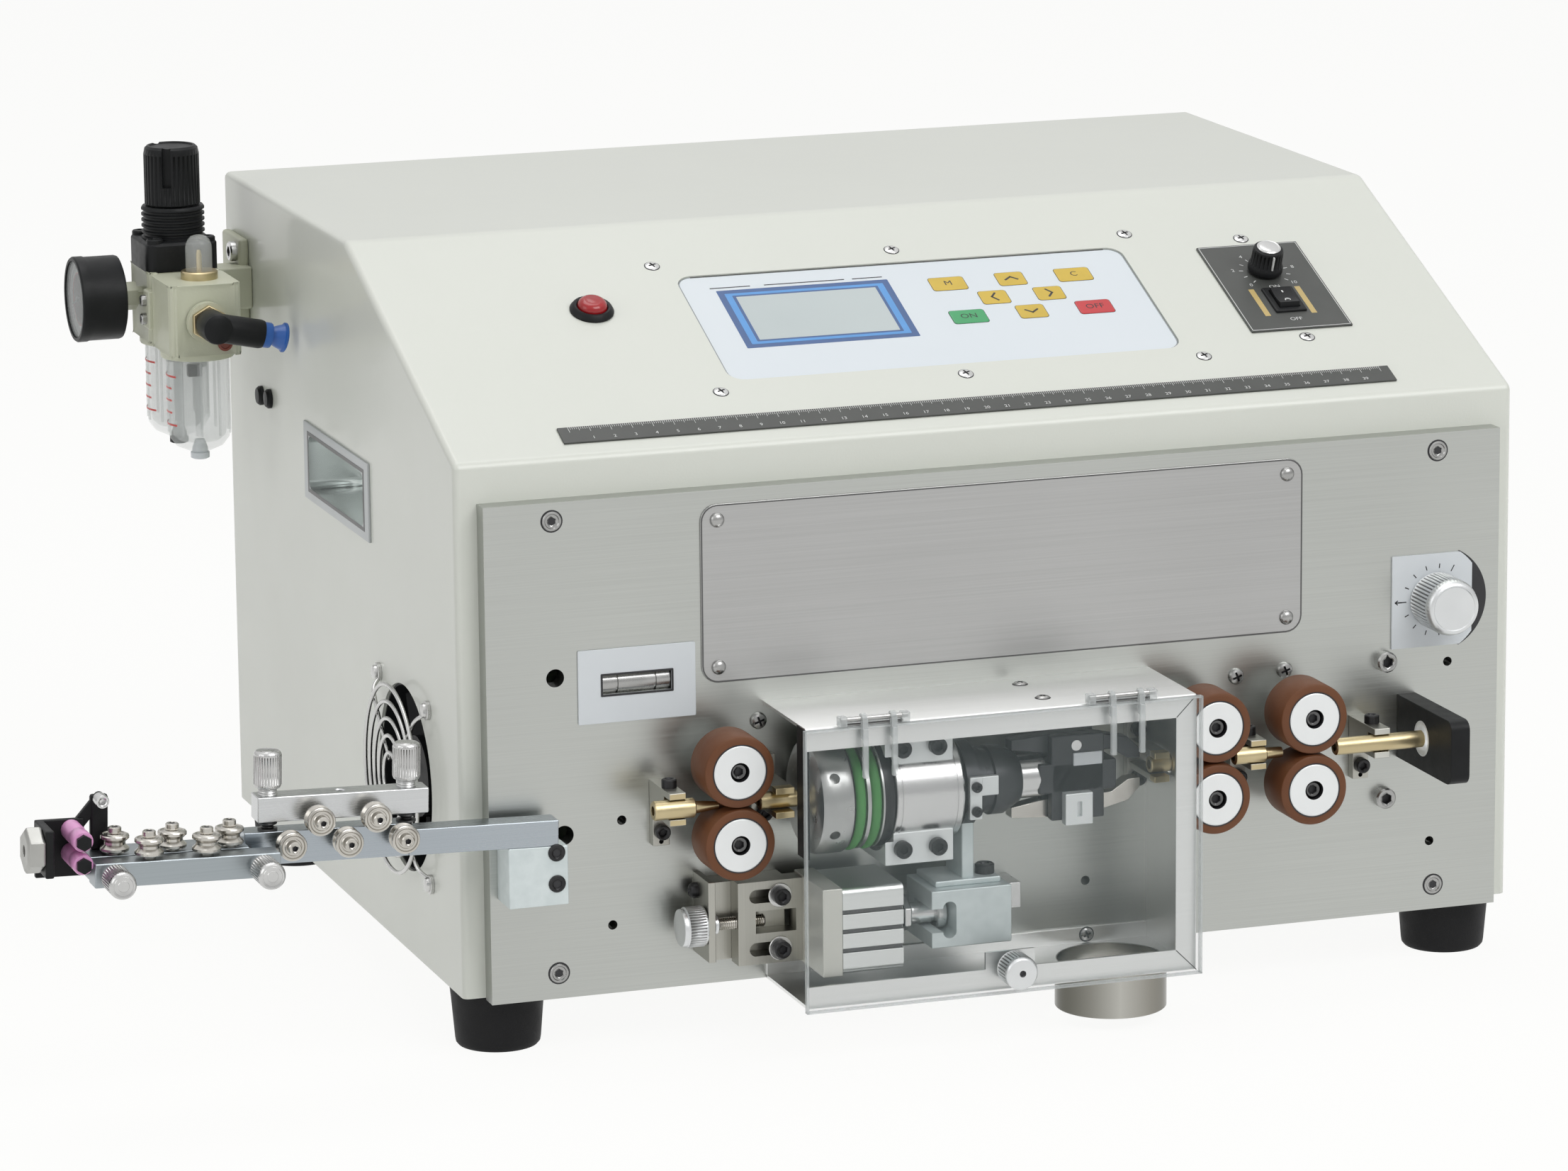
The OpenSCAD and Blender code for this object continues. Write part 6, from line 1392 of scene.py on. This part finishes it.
def knurl(piece, sides, axis, middle, low, high, deep=0.35):
    """Sinks and darkens every second face of a turned rim between two heights along its axis."""
    piece.data.materials.append(knurl_shade)
    first, second = [i for i in range(3) if i != axis]

    def rim(centre, normal):
        turn = math.degrees(math.atan2(centre[second] - middle[second], centre[first] - middle[first]))
        second_face = round(turn / (360 / sides) - 0.5) % 2 == 0
        return second_face and abs(normal[axis]) < 0.2 and low < centre[axis] < high

    choose(piece, "FACE", rim)
    bpy.ops.mesh.inset(thickness=0.05 * MM, depth=-deep * MM)
    piece.active_material_index = 1
    bpy.ops.object.material_slot_assign()
    done()
    return piece


knurl_shade = speckled("knurl_shade", {"Metallic": 0.8}, 60, (0.16, 0.16, 0.16), (0.26, 0.26, 0.26),
                       rough=(0.36, 140, 0.18))
satin_metal = speckled("satin_metal", {"Metallic": 0.9}, 40, (0.62, 0.635, 0.64), (0.78, 0.795, 0.80),
                       rough=(0.26, 140, 0.18))
knob = turned("window_knob", [(6.8, 0.2), (8, 1.0), (8, 10.8), (7.4, 12.4), (6.6, 13), (1.6, 13),
                              (1.4, 11.5)], (KNOB_X, PANE_FRONT, KNOB_Z), (0, -1, 0), 64)
knurl(coat(knob, satin_metal), 64, 1, (KNOB_X, 0, KNOB_Z), -283, -273.3)
dot = turned("dot", [(1.35, 11.4), (1.35, 11.8)], (KNOB_X, PANE_FRONT, KNOB_Z), (0, -1, 0), 24)
shank = turned("window_shank", [(3, -6.8), (3, 0.4)], (KNOB_X, PANE_FRONT, KNOB_Z), (0, -1, 0), 32)
fasten(unite("window_knob_turned", [knob, coat(dot, black_ink), coat(shank, satin_metal)]), "window_knob",
       "aluminium", "window_knob")

# Dial knob. A knurled aluminium knob on a spindle through the dial plate.
knob = turned("dial_cap", [(12.6, 1.4), (13.5, 2.2), (13.5, 18.5), (12.6, 21.4), (11.6, 22.4), (10.6, 22.6),
                           (10.2, 22.2), (0.8, 22.2)], (DIAL_X, PLATE_Y, DIAL_Z), (0, -1, 0), 96)
knurl(coat(knob, satin_metal), 96, 1, (DIAL_X, 0, DIAL_Z), -228.4, -212.4)
shank = turned("dial_shank", [(4, -16), (4, 4)], (DIAL_X, PLATE_Y, DIAL_Z), (0, -1, 0), 32)
fasten(unite("dial_knob_turned", [knob, coat(shank, satin_metal)]), "dial_knob", "aluminium", "dial_knob")

# Spindle housing. A turned steel sleeve held between two pale clamps that are bolted to the plate.
housing_steel = speckled("housing_steel", {"Metallic": 1.0}, 14, (0.62, 0.62, 0.615), (0.74, 0.74, 0.735),
                         rough=(0.22, 120, 0.06))
clamp_metal = speckled("clamp_metal", {"Metallic": 0.5}, 30, (0.72, 0.75, 0.75), (0.84, 0.87, 0.87),
                       rough=(0.32, 140, 0.16))
sleeve = turned("sleeve", [(23.8, -72), (24.5, -71.3), (24.5, -69.6), (24.2, -69.4), (24.2, -69),
                           (24.5, -68.8), (24.5, -43), (24.2, -42.8), (24.2, -42.4), (24.5, -42.2),
                           (24.5, -39.8), (23.8, -39)], on_wire, (1, 0, 0), 96)
drill(sleeve, 10.05, -80, -30, on_wire, (1, 0, 0), 48)
smooth(sleeve, 30)
sleeve_bits = [coat(sleeve, housing_steel)]
for s in (-1, 1):
    clamp = soften(block("clamp", (-76, WIRE_Y - 19, WIRE_Z + s * 23.5 - 7.5),
                         (-43, PLATE_Y, WIRE_Z + s * 23.5 + 7.5)), 0.5, 2)
    drill(clamp, 27.5, -90, -72, on_wire, (1, 0, 0), 96)
    drill(clamp, 24.4, -72.5, -30, on_wire, (1, 0, 0), 96)
    sleeve_bits.append(coat(clamp, clamp_metal))
fasten(unite("spindle_sleeve", sleeve_bits), "machine", "bright_steel", "spindle_housing")

# Spindle. A dark end cap with six holes, a pulley with two round grooves, a hollow shaft and the head that
# carries the two blade arms on pins.
cap_steel = speckled("cap_steel", {"Metallic": 0.9}, 50, (0.38, 0.385, 0.38), (0.58, 0.585, 0.575),
                     rough=(0.22, 150, 0.16))
dark_steel = speckled("dark_steel", {"Metallic": 0.7}, 60, (0.035, 0.037, 0.04), (0.085, 0.088, 0.092),
                      rough=(0.3, 160, 0.2))
cap = turned("end_cap", [(3, -110), (20, -110), (22, -109.4), (25.4, -107.5), (26.5, -105), (26.5, -94),
                         (26, -93), (3, -93)], on_wire, (1, 0, 0), 96)
for step in range(6):
    turn = shift(-101.5, WIRE_Y, WIRE_Z) @ swing(60 * step, "X")
    hole = turned("hole", [(2.5, 21.5), (2.5, 30)], sides=24)
    move(hole, turn)
    carve(cap, hole)
smooth(cap, 30)
profile = [(3, -93.2)]
for middle in (-89.25, -81.75):
    profile += [(25.5, middle - 2.9), (22.8, middle - 2.4), (20.8, middle - 1), (20.6, middle),
                (20.8, middle + 1), (22.8, middle + 2.4), (25.5, middle + 2.9)]
pulley = turned("pulley", profile + [(25.5, -78), (3, -78)], on_wire, (1, 0, 0), 96)
ring = turned("ring", [(3, -78), (25.5, -78), (25.5, -74.6), (24.6, -73), (3, -73)], on_wire, (1, 0, 0), 96)
shaft = turned("shaft", [(10, -73.2), (10, 6.5)], on_wire, (1, 0, 0), 56)
head_bits = []
for low, high in (((2.5, -10, -7), (40.5, 10, 7)), ((8.5, 4.6, -20), (34.5, 10, 20)),
                  ((8.5, -10, -20), (34.5, -4.6, 20))):
    low = (low[0], low[1] + WIRE_Y, low[2] + WIRE_Z)
    high = (high[0], high[1] + WIRE_Y, high[2] + WIRE_Z)
    head_bits.append(bar("head", low, high, 0.8, dark_steel))
for s in (-1, 1):
    pin = turned("pivot", [(2.5, -10.6), (2.5, 10.6)], (20.5, WIRE_Y, WIRE_Z + s * 15), (0, 1, 0), 28)
    head_bits.append(coat(pin, bright_metal))
holder = bar("slotted_block", (13.5, WIRE_Y - 15, 97), (27, WIRE_Y - 9.8, 112), 0.5, clamp_metal)
slot_tool = block("slot", (19, WIRE_Y - 18, 101), (21.6, WIRE_Y - 13, 108))
carve(holder, slot_tool)
head_bits.append(holder)
head_bits.append(bar("card", (19, WIRE_Y - 11, 124), (33, WIRE_Y - 9.9, 130), 0.2, white_film))
spindle_bits = [coat(cap, cap_steel), coat(pulley, cap_steel), coat(ring, black_steel),
                coat(shaft, bright_metal)] + head_bits
fasten(unite("spindle_turned", spindle_bits), "spindle", "dark_steel", "spindle")

# Belts. Two round green belts run from the belt motor inside the cabinet to the spindle.
belt_green = speckled("belt_green", {"Specular IOR Level": 0.4}, 70, (0.05, 0.23, 0.055), (0.11, 0.36, 0.10),
                      rough=(0.4, 150, 0.2))
belts = []
for x in (-89.25, -81.75):
    bpy.ops.curve.primitive_nurbs_path_add()
    run_curve = bpy.context.object
    run_curve.data.splines.clear()
    loop = run_curve.data.splines.new("POLY")
    corners = [(WIRE_Y - 23.5 * math.sin(math.radians(a)),
                WIRE_Z + 23.5 * math.cos(math.radians(a))) for a in range(0, 181, 5)]
    corners += [(-138 + 23.5 * math.sin(math.radians(a)),
                 WIRE_Z - 23.5 * math.cos(math.radians(a))) for a in range(0, 181, 5)]
    loop.points.add(len(corners) - 1)
    for point, (y, z) in zip(loop.points, corners):
        point.co = (x * MM, y * MM, z * MM, 1)
    loop.use_cyclic_u = True
    run_curve.data.dimensions = "3D"
    run_curve.data.bevel_depth = 2.5 * MM
    run_curve.data.bevel_resolution = 4
    only(run_curve)
    bpy.ops.object.convert(target="MESH")
    belt = settle(bpy.context.object, "belt")
    bpy.ops.object.shade_smooth()
    belts.append(coat(belt, belt_green))
fasten(unite("belts", belts), "machine", "green_belt", "drive_belts")

# Fork slide. A zinc block on a rail with a T-slot for the piston rod, and a fork that pushes the black collar
# and its cone along the shaft, so that the blade arms close.
zinc_block = finish("zinc_block", {"Metallic": 0.45}, lambda s: {
    "Base Color": (noise(s, 22, 5) * 0.55 + noise(s, 190, 4) * 0.45).blend(
        (0.47, 0.54, 0.545, 1), (0.86, 0.92, 0.92, 1)),
    "Roughness": 0.34 + noise(s, 120) * 0.2,
    "Normal": bump(s, noise(s, 260, 4), 0.2, 0.0004)})
slide = soften(block("slide", (-54, -258, 46.5), (-15, -224, 73.5)), 0.6, 2)
carve(slide, block("slot", (-60, -262, 53.9), (-47, -234.5, 65.1)))
slot_head = block("slot_head", (-48.5, -262, 50.9), (-42, -231.5, 68.1))
rounded(slot_head, 3, 5, lambda middle, way: abs(way.y) > 0.9)
carve(slide, slot_head)
carve(slide, block("rail_slot", (-60, -228, 53.3), (-10, -220, 65.7)))
fork_bits = [coat(slide, zinc_block),
             bar("stem", (-36, WIRE_Y - 11, 73), (-30, WIRE_Y + 11, 104), 0.8, zinc_block),
             bar("foot", (-50, WIRE_Y - 14, 73.4), (-18, WIRE_Y + 12, 76.4), 0.8, zinc_block)]
collar = turned("collar", [(10.35, -38), (15.4, -38), (16, -37.4), (16, -36), (20, -36), (20, -30), (16, -30),
                           (16, -25), (14.6, -24.4), (14.6, -21), (16, -20.4), (16, -14), (11.4, -6),
                           (10.35, -6)], on_wire, (1, 0, 0), 80)
drill(collar, 10.3, -60, 10, on_wire, (1, 0, 0), 56)
smooth(collar, 30)
fork_bits.append(coat(collar, dark_steel))
fork_bits.append(bar("fork_clip", (-36, -260.4, 106), (-30, -257.6, 126), 0.5, clamp_metal))
fork_bits.append(bar("fork_clip_ear", (-30.4, -260.4, 117), (-22, -257.6, 126), 0.5, clamp_metal))
for z in (110, 121.5):
    bolt = hex_socket("clip_bolt", 2.4, 2.2, black_steel)
    move(bolt, shift(-33, -260.3, z) @ swing(90, "X"))
    fork_bits.append(bolt)
rest_bolt = hex_socket("foot_bolt", 4.5, 5, black_steel)
move(rest_bolt, shift(-23, WIRE_Y - 6, 76))
fork_bits.append(rest_bolt)
fasten(unite("fork_slide_block", fork_bits), "fork_slide", "zinc", "fork_slide")

# Piston rod. A bright rod with a lock nut and a head that sits in the slide's T-slot.
CYL_Y = -240.5
CYL_Z = 59.5
on_rod = (0, CYL_Y, CYL_Z)
piston = turned("piston", [(12, -93.5), (13, -93), (13, -86), (12, -85.5)], on_rod, (1, 0, 0), 48)
rod = turned("rod", [(5, -86), (5, -47)], on_rod, (1, 0, 0), 40)
head = turned("rod_head", [(7.4, -47.4), (8, -46.8), (8, -43.2), (7.4, -42.6)], on_rod, (1, 0, 0), 40)
rod_bits = [coat(piston, bright_metal), coat(rod, bright_metal), coat(head, bright_metal)]
nut = turned("lock_nut", [(7, -63.5), (8, -62.9), (8, -60.1), (7, -59.5)], on_rod, (1, 0, 0), 6)
rod_bits.append(coat(soften(nut, 0.3, 2), bright_metal))
fasten(unite("piston_rod", rod_bits), "fork_slide", "bright_steel", "cylinder_rod")

# Blade arms. Two steel levers, the upper one blackened, that ride on the cone and hold a blade at the nose.
eased("blade_arm_upper", 0.5, dark_steel, "dark_steel")
eased("blade_arm_lower", 0.5, roller_steel, "dark_steel")

# Air cylinder. A compact cylinder of drawn aluminium with grooves along it, on a flat steel end plate.
alloy = brushed("drawn_alloy", (0.70, 0.72, 0.71, 1), (0.87, 0.885, 0.875, 1), 0.26)
end_metal = speckled("end_metal", {"Metallic": 0.55}, 30, (0.60, 0.60, 0.55), (0.72, 0.72, 0.67),
                     rough=(0.32, 140, 0.16))
cylinder = block("cylinder", (-98, CYL_Y - 20, CYL_Z - 20), (-68.5, CYL_Y + 20, CYL_Z + 20))
rounded(cylinder, 3, 4, lambda middle, way: abs(way.x) > 0.9)
coat(cylinder, alloy)
# The grooves' walls are coloured dark: painted shade in the grooves.
for z in (-9, 0, 9):
    groove = block("groove", (-100, CYL_Y - 23, CYL_Z + z - 1), (-60, CYL_Y - 18.5, CYL_Z + z + 1))
    carve(cylinder, coat(groove, dark_edge))
drill(cylinder, 13.05, -100, -74.5, on_rod, (1, 0, 0), 48)
drill(cylinder, 5.05, -80, -60, on_rod, (1, 0, 0), 40)
soften(cylinder, 0.25, 1, 40)
nose = turned("nose", [(9, -68.7), (9, -67.6), (8, -66.8), (5.1, -66.8)], on_rod, (1, 0, 0), 40)
drill(nose, 5.05, -75, -60, on_rod, (1, 0, 0), 40)
coat(nose, dark_steel)
end_plate = bar("end_plate", (-107.5, CYL_Y - 20.2, CYL_Z - 20.6), (-98, CYL_Y + 20, CYL_Z + 20.6), 0.5,
                end_metal)
fasten(unite("air_cylinder_body", [cylinder, nose, end_plate]), "cylinder", "aluminium", "air_cylinder")

# Slide plate and adjuster. The cylinder hangs on a steel plate with two slots, which a knurled knob on a
# threaded rod moves along its bracket.
warm_steel = brushed("warm_steel", (0.36, 0.355, 0.32, 1), (0.52, 0.515, 0.47, 1), 0.24, "Z")
eased("slide_plate", 0.4, warm_steel, "plate_steel")
SCREW_Y = -227
on_screw = (0, SCREW_Y, CYL_Z)
knob = turned("adjuster_cap", [(7.8, -165.2), (8.5, -164.9), (8.7, -164.3), (8.7, -163), (9.4, -162.4),
                               (9.4, -154.6), (8.9, -153.6), (5, -153.2)], on_screw, (1, 0, 0), 80)
knurl(coat(knob, satin_metal), 80, 0, (0, SCREW_Y, CYL_Z), -162.3, -154.7)
steps = [(2.6, -153.6)]
for ring in range(29):
    steps += [(3.0, -153.2 + ring), (2.6, -152.7 + ring)]
thread = coat(turned("thread", steps + [(2.4, -124.5)], on_screw, (1, 0, 0), 32), roller_steel)
stop = coat(turned("stop_ring", [(4.2, -149.2), (4.5, -148.9), (4.5, -147.5), (4.2, -147.2)], on_screw,
                   (1, 0, 0), 32), satin_metal)
fasten(unite("adjuster_turned", [knob, thread, stop]), "adjuster_knob", "bright_steel", "adjuster_knob")

# Brackets on the plate. Three guide clamps with a flange below and a screw on top, two guide brackets with
# prongs in the cutter box, the adjuster's base and wall, the slide's rail, and the straightener's zinc block.
bracket_bits = []
CLAMPS = ((-169.3, 4.5), (114.75, 4), (177.3, 4))
for x, r in CLAMPS:
    clamp = block("guide_clamp", (x - 4, WIRE_Y - 2, WIRE_Z - r - 3.1), (x + 4, PLATE_Y, WIRE_Z + r + 3.1))
    carve(clamp, block("flange", (x - 4, PLATE_Y - 5, WIRE_Z - 22.8), (x + 4, PLATE_Y, WIRE_Z)), "UNION")
    carve(clamp, block("slot", (x - 9, WIRE_Y - 9, WIRE_Z - r - 0.1),
                       (x + 9, WIRE_Y + r + 2, WIRE_Z + r + 0.1)))
    coat(soften(clamp, 0.35, 2), warm_steel)
    # The pin hole's walls are coloured black: painted shade in the hole.
    pin_hole = turned("pin_hole", [(1.1, -9), (1.1, 9)], (x, PLATE_Y - 5, WIRE_Z - 20.9), (0, 1, 0), 20)
    carve(clamp, coat(pin_hole, black_ink))
    bracket_bits.append(clamp)
    for s in (-1, 1):
        level = WIRE_Z + s * (r + 1.6)
        lip = block("lip", (x - 3.7, WIRE_Y - 2.15, level - 1.2), (x + 3.7, WIRE_Y - 1.8, level + 1.2))
        bracket_bits.append(coat(lip, brass if x < 150 else end_metal))
GUIDES = ((-120, 12, 4), (64, 10, 4))
for x, w, r in GUIDES:
    base = block("guide_base", (x - w / 2, PLATE_Y - 5, WIRE_Z - 15.5), (x + w / 2, PLATE_Y, WIRE_Z + 15.5))
    bracket_bits.append(coat(soften(base, 0.4, 2), warm_steel))
    for s in (-1, 1):
        middle = WIRE_Z + s * (r + 1.6)
        prong = block("prong", (x - w * 0.375, WIRE_Y - 2, middle - 1.5),
                      (x + w * 0.375, PLATE_Y, middle + 1.5))
        bracket_bits.append(coat(soften(prong, 0.35, 2), warm_steel))
        shoe = block("shoe", (x - w * 0.375, WIRE_Y - 8, middle - 1.5),
                     (x + w * 0.375, WIRE_Y - 2, middle + 1.5))
        bracket_bits.append(coat(soften(shoe, 0.35, 2), brass))
base = block("adjuster_base", (-149.5, -221.8, 41), (-112.5, PLATE_Y, 78))
drill(base, 5, -155, -100, on_screw, (1, 0, 0), 32)
bracket_bits.append(coat(soften(base, 0.4, 2), warm_steel))
wall = block("adjuster_wall", (-152.9, -232.6, 43), (-149.5, PLATE_Y, 81))
drill(wall, 3.1, -160, -140, on_screw, (1, 0, 0), 32)
bracket_bits.append(coat(soften(wall, 0.4, 2), warm_steel))
bracket_bits.append(bar("rail", (-62, -227.8, 53.5), (1, PLATE_Y, 65.5), 0.4, bright_metal))
arm_block = block("arm_block", (-246, -229, 76.5), (-218, PLATE_Y, 113))
top_cut = block("top_cut", (-120, -60, -16), (20, 60, 40))
move(top_cut, arm_place)
carve(arm_block, top_cut)
bracket_bits.append(coat(soften(arm_block, 0.5, 2), zinc_block))
fasten(unite("brackets", bracket_bits), "machine", "plate_steel", "plate_brackets")

# Wire guides. Five brass tubes along the wire line, the first with a long thin tip.
tube_bits = []
for first, last, r in ((-180.5, -161, 4.5), (-130.3, -112, 4), (60.5, 78.3, 4), (102.7, 118.5, 4),
                       (153.7, 198.5, 4)):
    tube = turned("tube", [(r - 0.5, first), (r, first + 0.5), (r, last - 0.5), (r - 0.5, last)], on_wire,
                  (1, 0, 0), 48)
    drill(tube, 2.2, first - 5, last + 5, on_wire, (1, 0, 0), 28)
    smooth(tube, 30)
    tube_bits.append(coat(tube, brass))
for steps in ([(3, -161.4), (2.6, -157), (1.7, -149.6)], [(2.8, 118.2), (2.5, 126.8)]):
    tip = turned("tip", steps, on_wire, (1, 0, 0), 32)
    drill(tip, 1.2, steps[0][1] - 5, steps[-1][1] + 5, on_wire, (1, 0, 0), 24)
    tube_bits.append(coat(tip, brass))
fasten(unite("guide_tubes", tube_bits), "machine", "brass", "wire_guides")

# Outlet block. A black moulded block, with a bright bush in the hole through which the wires leave.
eased("outlet_block", 1.2, black_plastic, "black_plastic", 3)
bush = turned("outlet_bush", [(8.4, 198.1), (8.4, 207.3)], on_wire, (1, 0, 0), 56)
drill(bush, 7.2, 190, 215, on_wire, (1, 0, 0), 56)
fasten(coat(bush, hub_metal), "machine", "aluminium", "outlet_block")

# Inside. Motors, bearings and the electric parts, seen only through the fan and the slots at the rear. The
# mains inlet shows in the rear wall: black, with three bright pins.
motor_black = speckled("motor_black", {"Metallic": 0.4}, 30, (0.02, 0.02, 0.022), (0.05, 0.05, 0.053),
                       rough=(0.4, 120, 0.2))
board_grey = speckled("board_grey", {"Metallic": 0.5}, 20, (0.24, 0.25, 0.25), (0.36, 0.37, 0.37),
                      rough=(0.4, 120, 0.2))
eased("drive_motors", 0.8, motor_black, "motor_black")
coat(frame["nodes"]["shaft_bearings"], bright_metal)
inside = eased("electronics", 0.6, board_grey, "board_grey")
INLET_FACES = ((black_plastic, 177, 203, -2), (black_ink, 200.5, 201.6, 0.9))
for order, (dark, near, far, facing) in enumerate(INLET_FACES, 1):
    inside.data.materials.append(dark)
    choose(inside, "FACE", lambda middle, normal: near < middle.y < far and normal.y > facing)
    inside.active_material_index = order
    bpy.ops.object.material_slot_assign()
    done()
pins = []
for x, z in ((137, 95), (144, 102), (151, 95)):
    pins.append(coat(block("pin", (x - 1.1, 200.9, z - 2), (x + 1.1, 201.9, z + 2)), bright_metal))
fasten(unite("inlet_pins", pins), "machine", "bright_steel")

# Screws. Black cap screws on the brackets and clamps, bright flush screws at the corners of the plate, and
# bright cross-head screws on the labels and the cover.
def cross_head(name, r, h, finish_of):
    """A low domed screw head about Z with a cross cut into it, its walls coloured black as painted shade."""
    steps = [(r, 0), (r, h * 0.35), (r * 0.85, h * 0.75), (r * 0.5, h * 0.95), (r * 0.1, h)]
    head = coat(turned(name, steps, sides=36), finish_of)
    for turn in (0, 90):
        cut = block("cut", (-r * 0.6, -r * 0.13, h * 0.35), (r * 0.6, r * 0.13, h * 2))
        move(cut, swing(turn + 20, "Z"))
        carve(head, coat(cut, black_ink))
    return head


def place_screws(kind, places):
    """Copies of a screw at each place, and the first one thrown away."""
    made = [copy_of(kind, "screw", place) for place in places]
    bpy.data.objects.remove(kind)
    return made


screw_bits = []
corners = [on_plate(x, z) for x in (-217.5, 217.5) for z in (39, 249.5)]
flush = coat(turned("flush", [(4.5, 0), (4.5, 0.5), (4.2, 0.8), (3.5, 0.8), (3.1, 0.3)], sides=40),
             screw_metal)
# The socket's walls are coloured black: painted shade in the recess.
carve(flush, coat(turned("socket", [(2.0, -0.4), (2.0, 3)], sides=6), black_ink))
screw_bits += place_screws(flush, corners)
# A thin black ring round each corner screw: painted shade in the gap round its head.
ring = coat(turned("ring_line", [(5.2, 0), (5.2, 0.12), (4.4, 0.12)], sides=40), black_ink)
screw_bits += place_screws(ring, corners)
names = [on_plate(NAME_X + x * 140, NAME_Z + z * 34.2, 1) for x in (-1, 1) for z in (-1, 1)]
dome = coat(turned("name_screw", [(3.4, 0), (3.4, 0.5), (2.7, 1.5), (1.4, 2.1), (0.3, 2.2)], sides=36),
            screw_metal)
screw_bits += place_screws(dome, names)
panel_places = [slope_at(x, up_slope) for x in (-120, 0, 119.5) for up_slope in (43.2, 152.6)]
panel_places += [slope_at(SPEED_X, 141.5), slope_at(SPEED_X, 53)]
screw_bits += place_screws(cross_head("panel_screw", 3.4, 0.9, bright_metal), panel_places)
# A thin black ring round each panel screw: painted shade in the gap round its head.
ring = coat(turned("ring_line", [(3.8, 0), (3.8, 0.1), (3.3, 0.1)], sides=40), black_ink)
screw_bits += place_screws(ring, panel_places)
guides = [on_plate(x, WIRE_Z + s * 11.6, 5) for x, w, r in GUIDES for s in (-1, 1)]
guides += [on_plate(x, WIRE_Z - 16, 5) for x, r in CLAMPS]
guides += [shift(x, WIRE_Y + 10.5, WIRE_Z + r + 3.1) for x, r in CLAMPS]
screw_bits += place_screws(hex_socket("guide_screw", 3.5, 4, black_steel), guides)
dome = coat(turned("wall_screw", [(3.7, 0), (3.7, 1.4), (3.3, 2.8), (2.4, 3.7), (1.6, 4)], sides=36),
            black_steel)
# The socket's walls are coloured black: painted shade in the recess.
carve(dome, coat(turned("socket", [(1.5, 2), (1.5, 6)], sides=6), black_ink))
side_face = shift(-152.9, -215.9, 73.5) @ swing(-90, "Y")
screw_bits += place_screws(dome, [side_face])
stops = [on_plate(191, 150.6), on_plate(191, 84.5)]
screw_bits += place_screws(hex_socket("stop_screw", 5, 5, screw_metal), stops)
crosses = [on_plate(115.5, 149.5), on_plate(140, 150.5), on_plate(-120.5, 149)]
screw_bits += place_screws(cross_head("plate_screw", 3.9, 2.5, screw_metal), crosses)
box_places = [shift(3, y, BOX_HIGH) for y in (-222, -251)]
box_places.append(on_plate(40, 32.3, 1.5))
screw_bits += place_screws(cross_head("box_screw", 3.2, 1.2, screw_metal), box_places)
# A thin black ring round each box screw: painted shade in the gap round its head.
ring = coat(turned("ring_line", [(3.7, 0), (3.7, 0.1), (3.1, 0.1)], sides=40), black_ink)
screw_bits += place_screws(ring, box_places)
blocks = [on_plate(-223.5, z, 19) for z in (101, 86.5)]
screw_bits += place_screws(hex_socket("block_screw", 4, 1, black_steel, 2.2), blocks)
clamps = [on_plate(-118.5, CYL_Z + s * 12.5, 23.4) for s in (-1, 1)]
screw_bits += place_screws(hex_socket("clamp_screw", 4, 4, black_steel), clamps)
washer = coat(turned("washer", [(5.4, -1.3), (5.6, -1.1), (5.6, -0.3), (5.4, -0.1)], sides=36), bright_metal)
screw_bits += place_screws(washer, clamps)
housings = [on_plate(x, WIRE_Z + s * 23.5, 47) for x in (-68, -51) for s in (-1, 1)]
screw_bits += place_screws(hex_socket("housing_screw", 4, 4, black_steel), housings)
fasten(unite("screw_heads", screw_bits), "machine", "bright_steel", "screws")
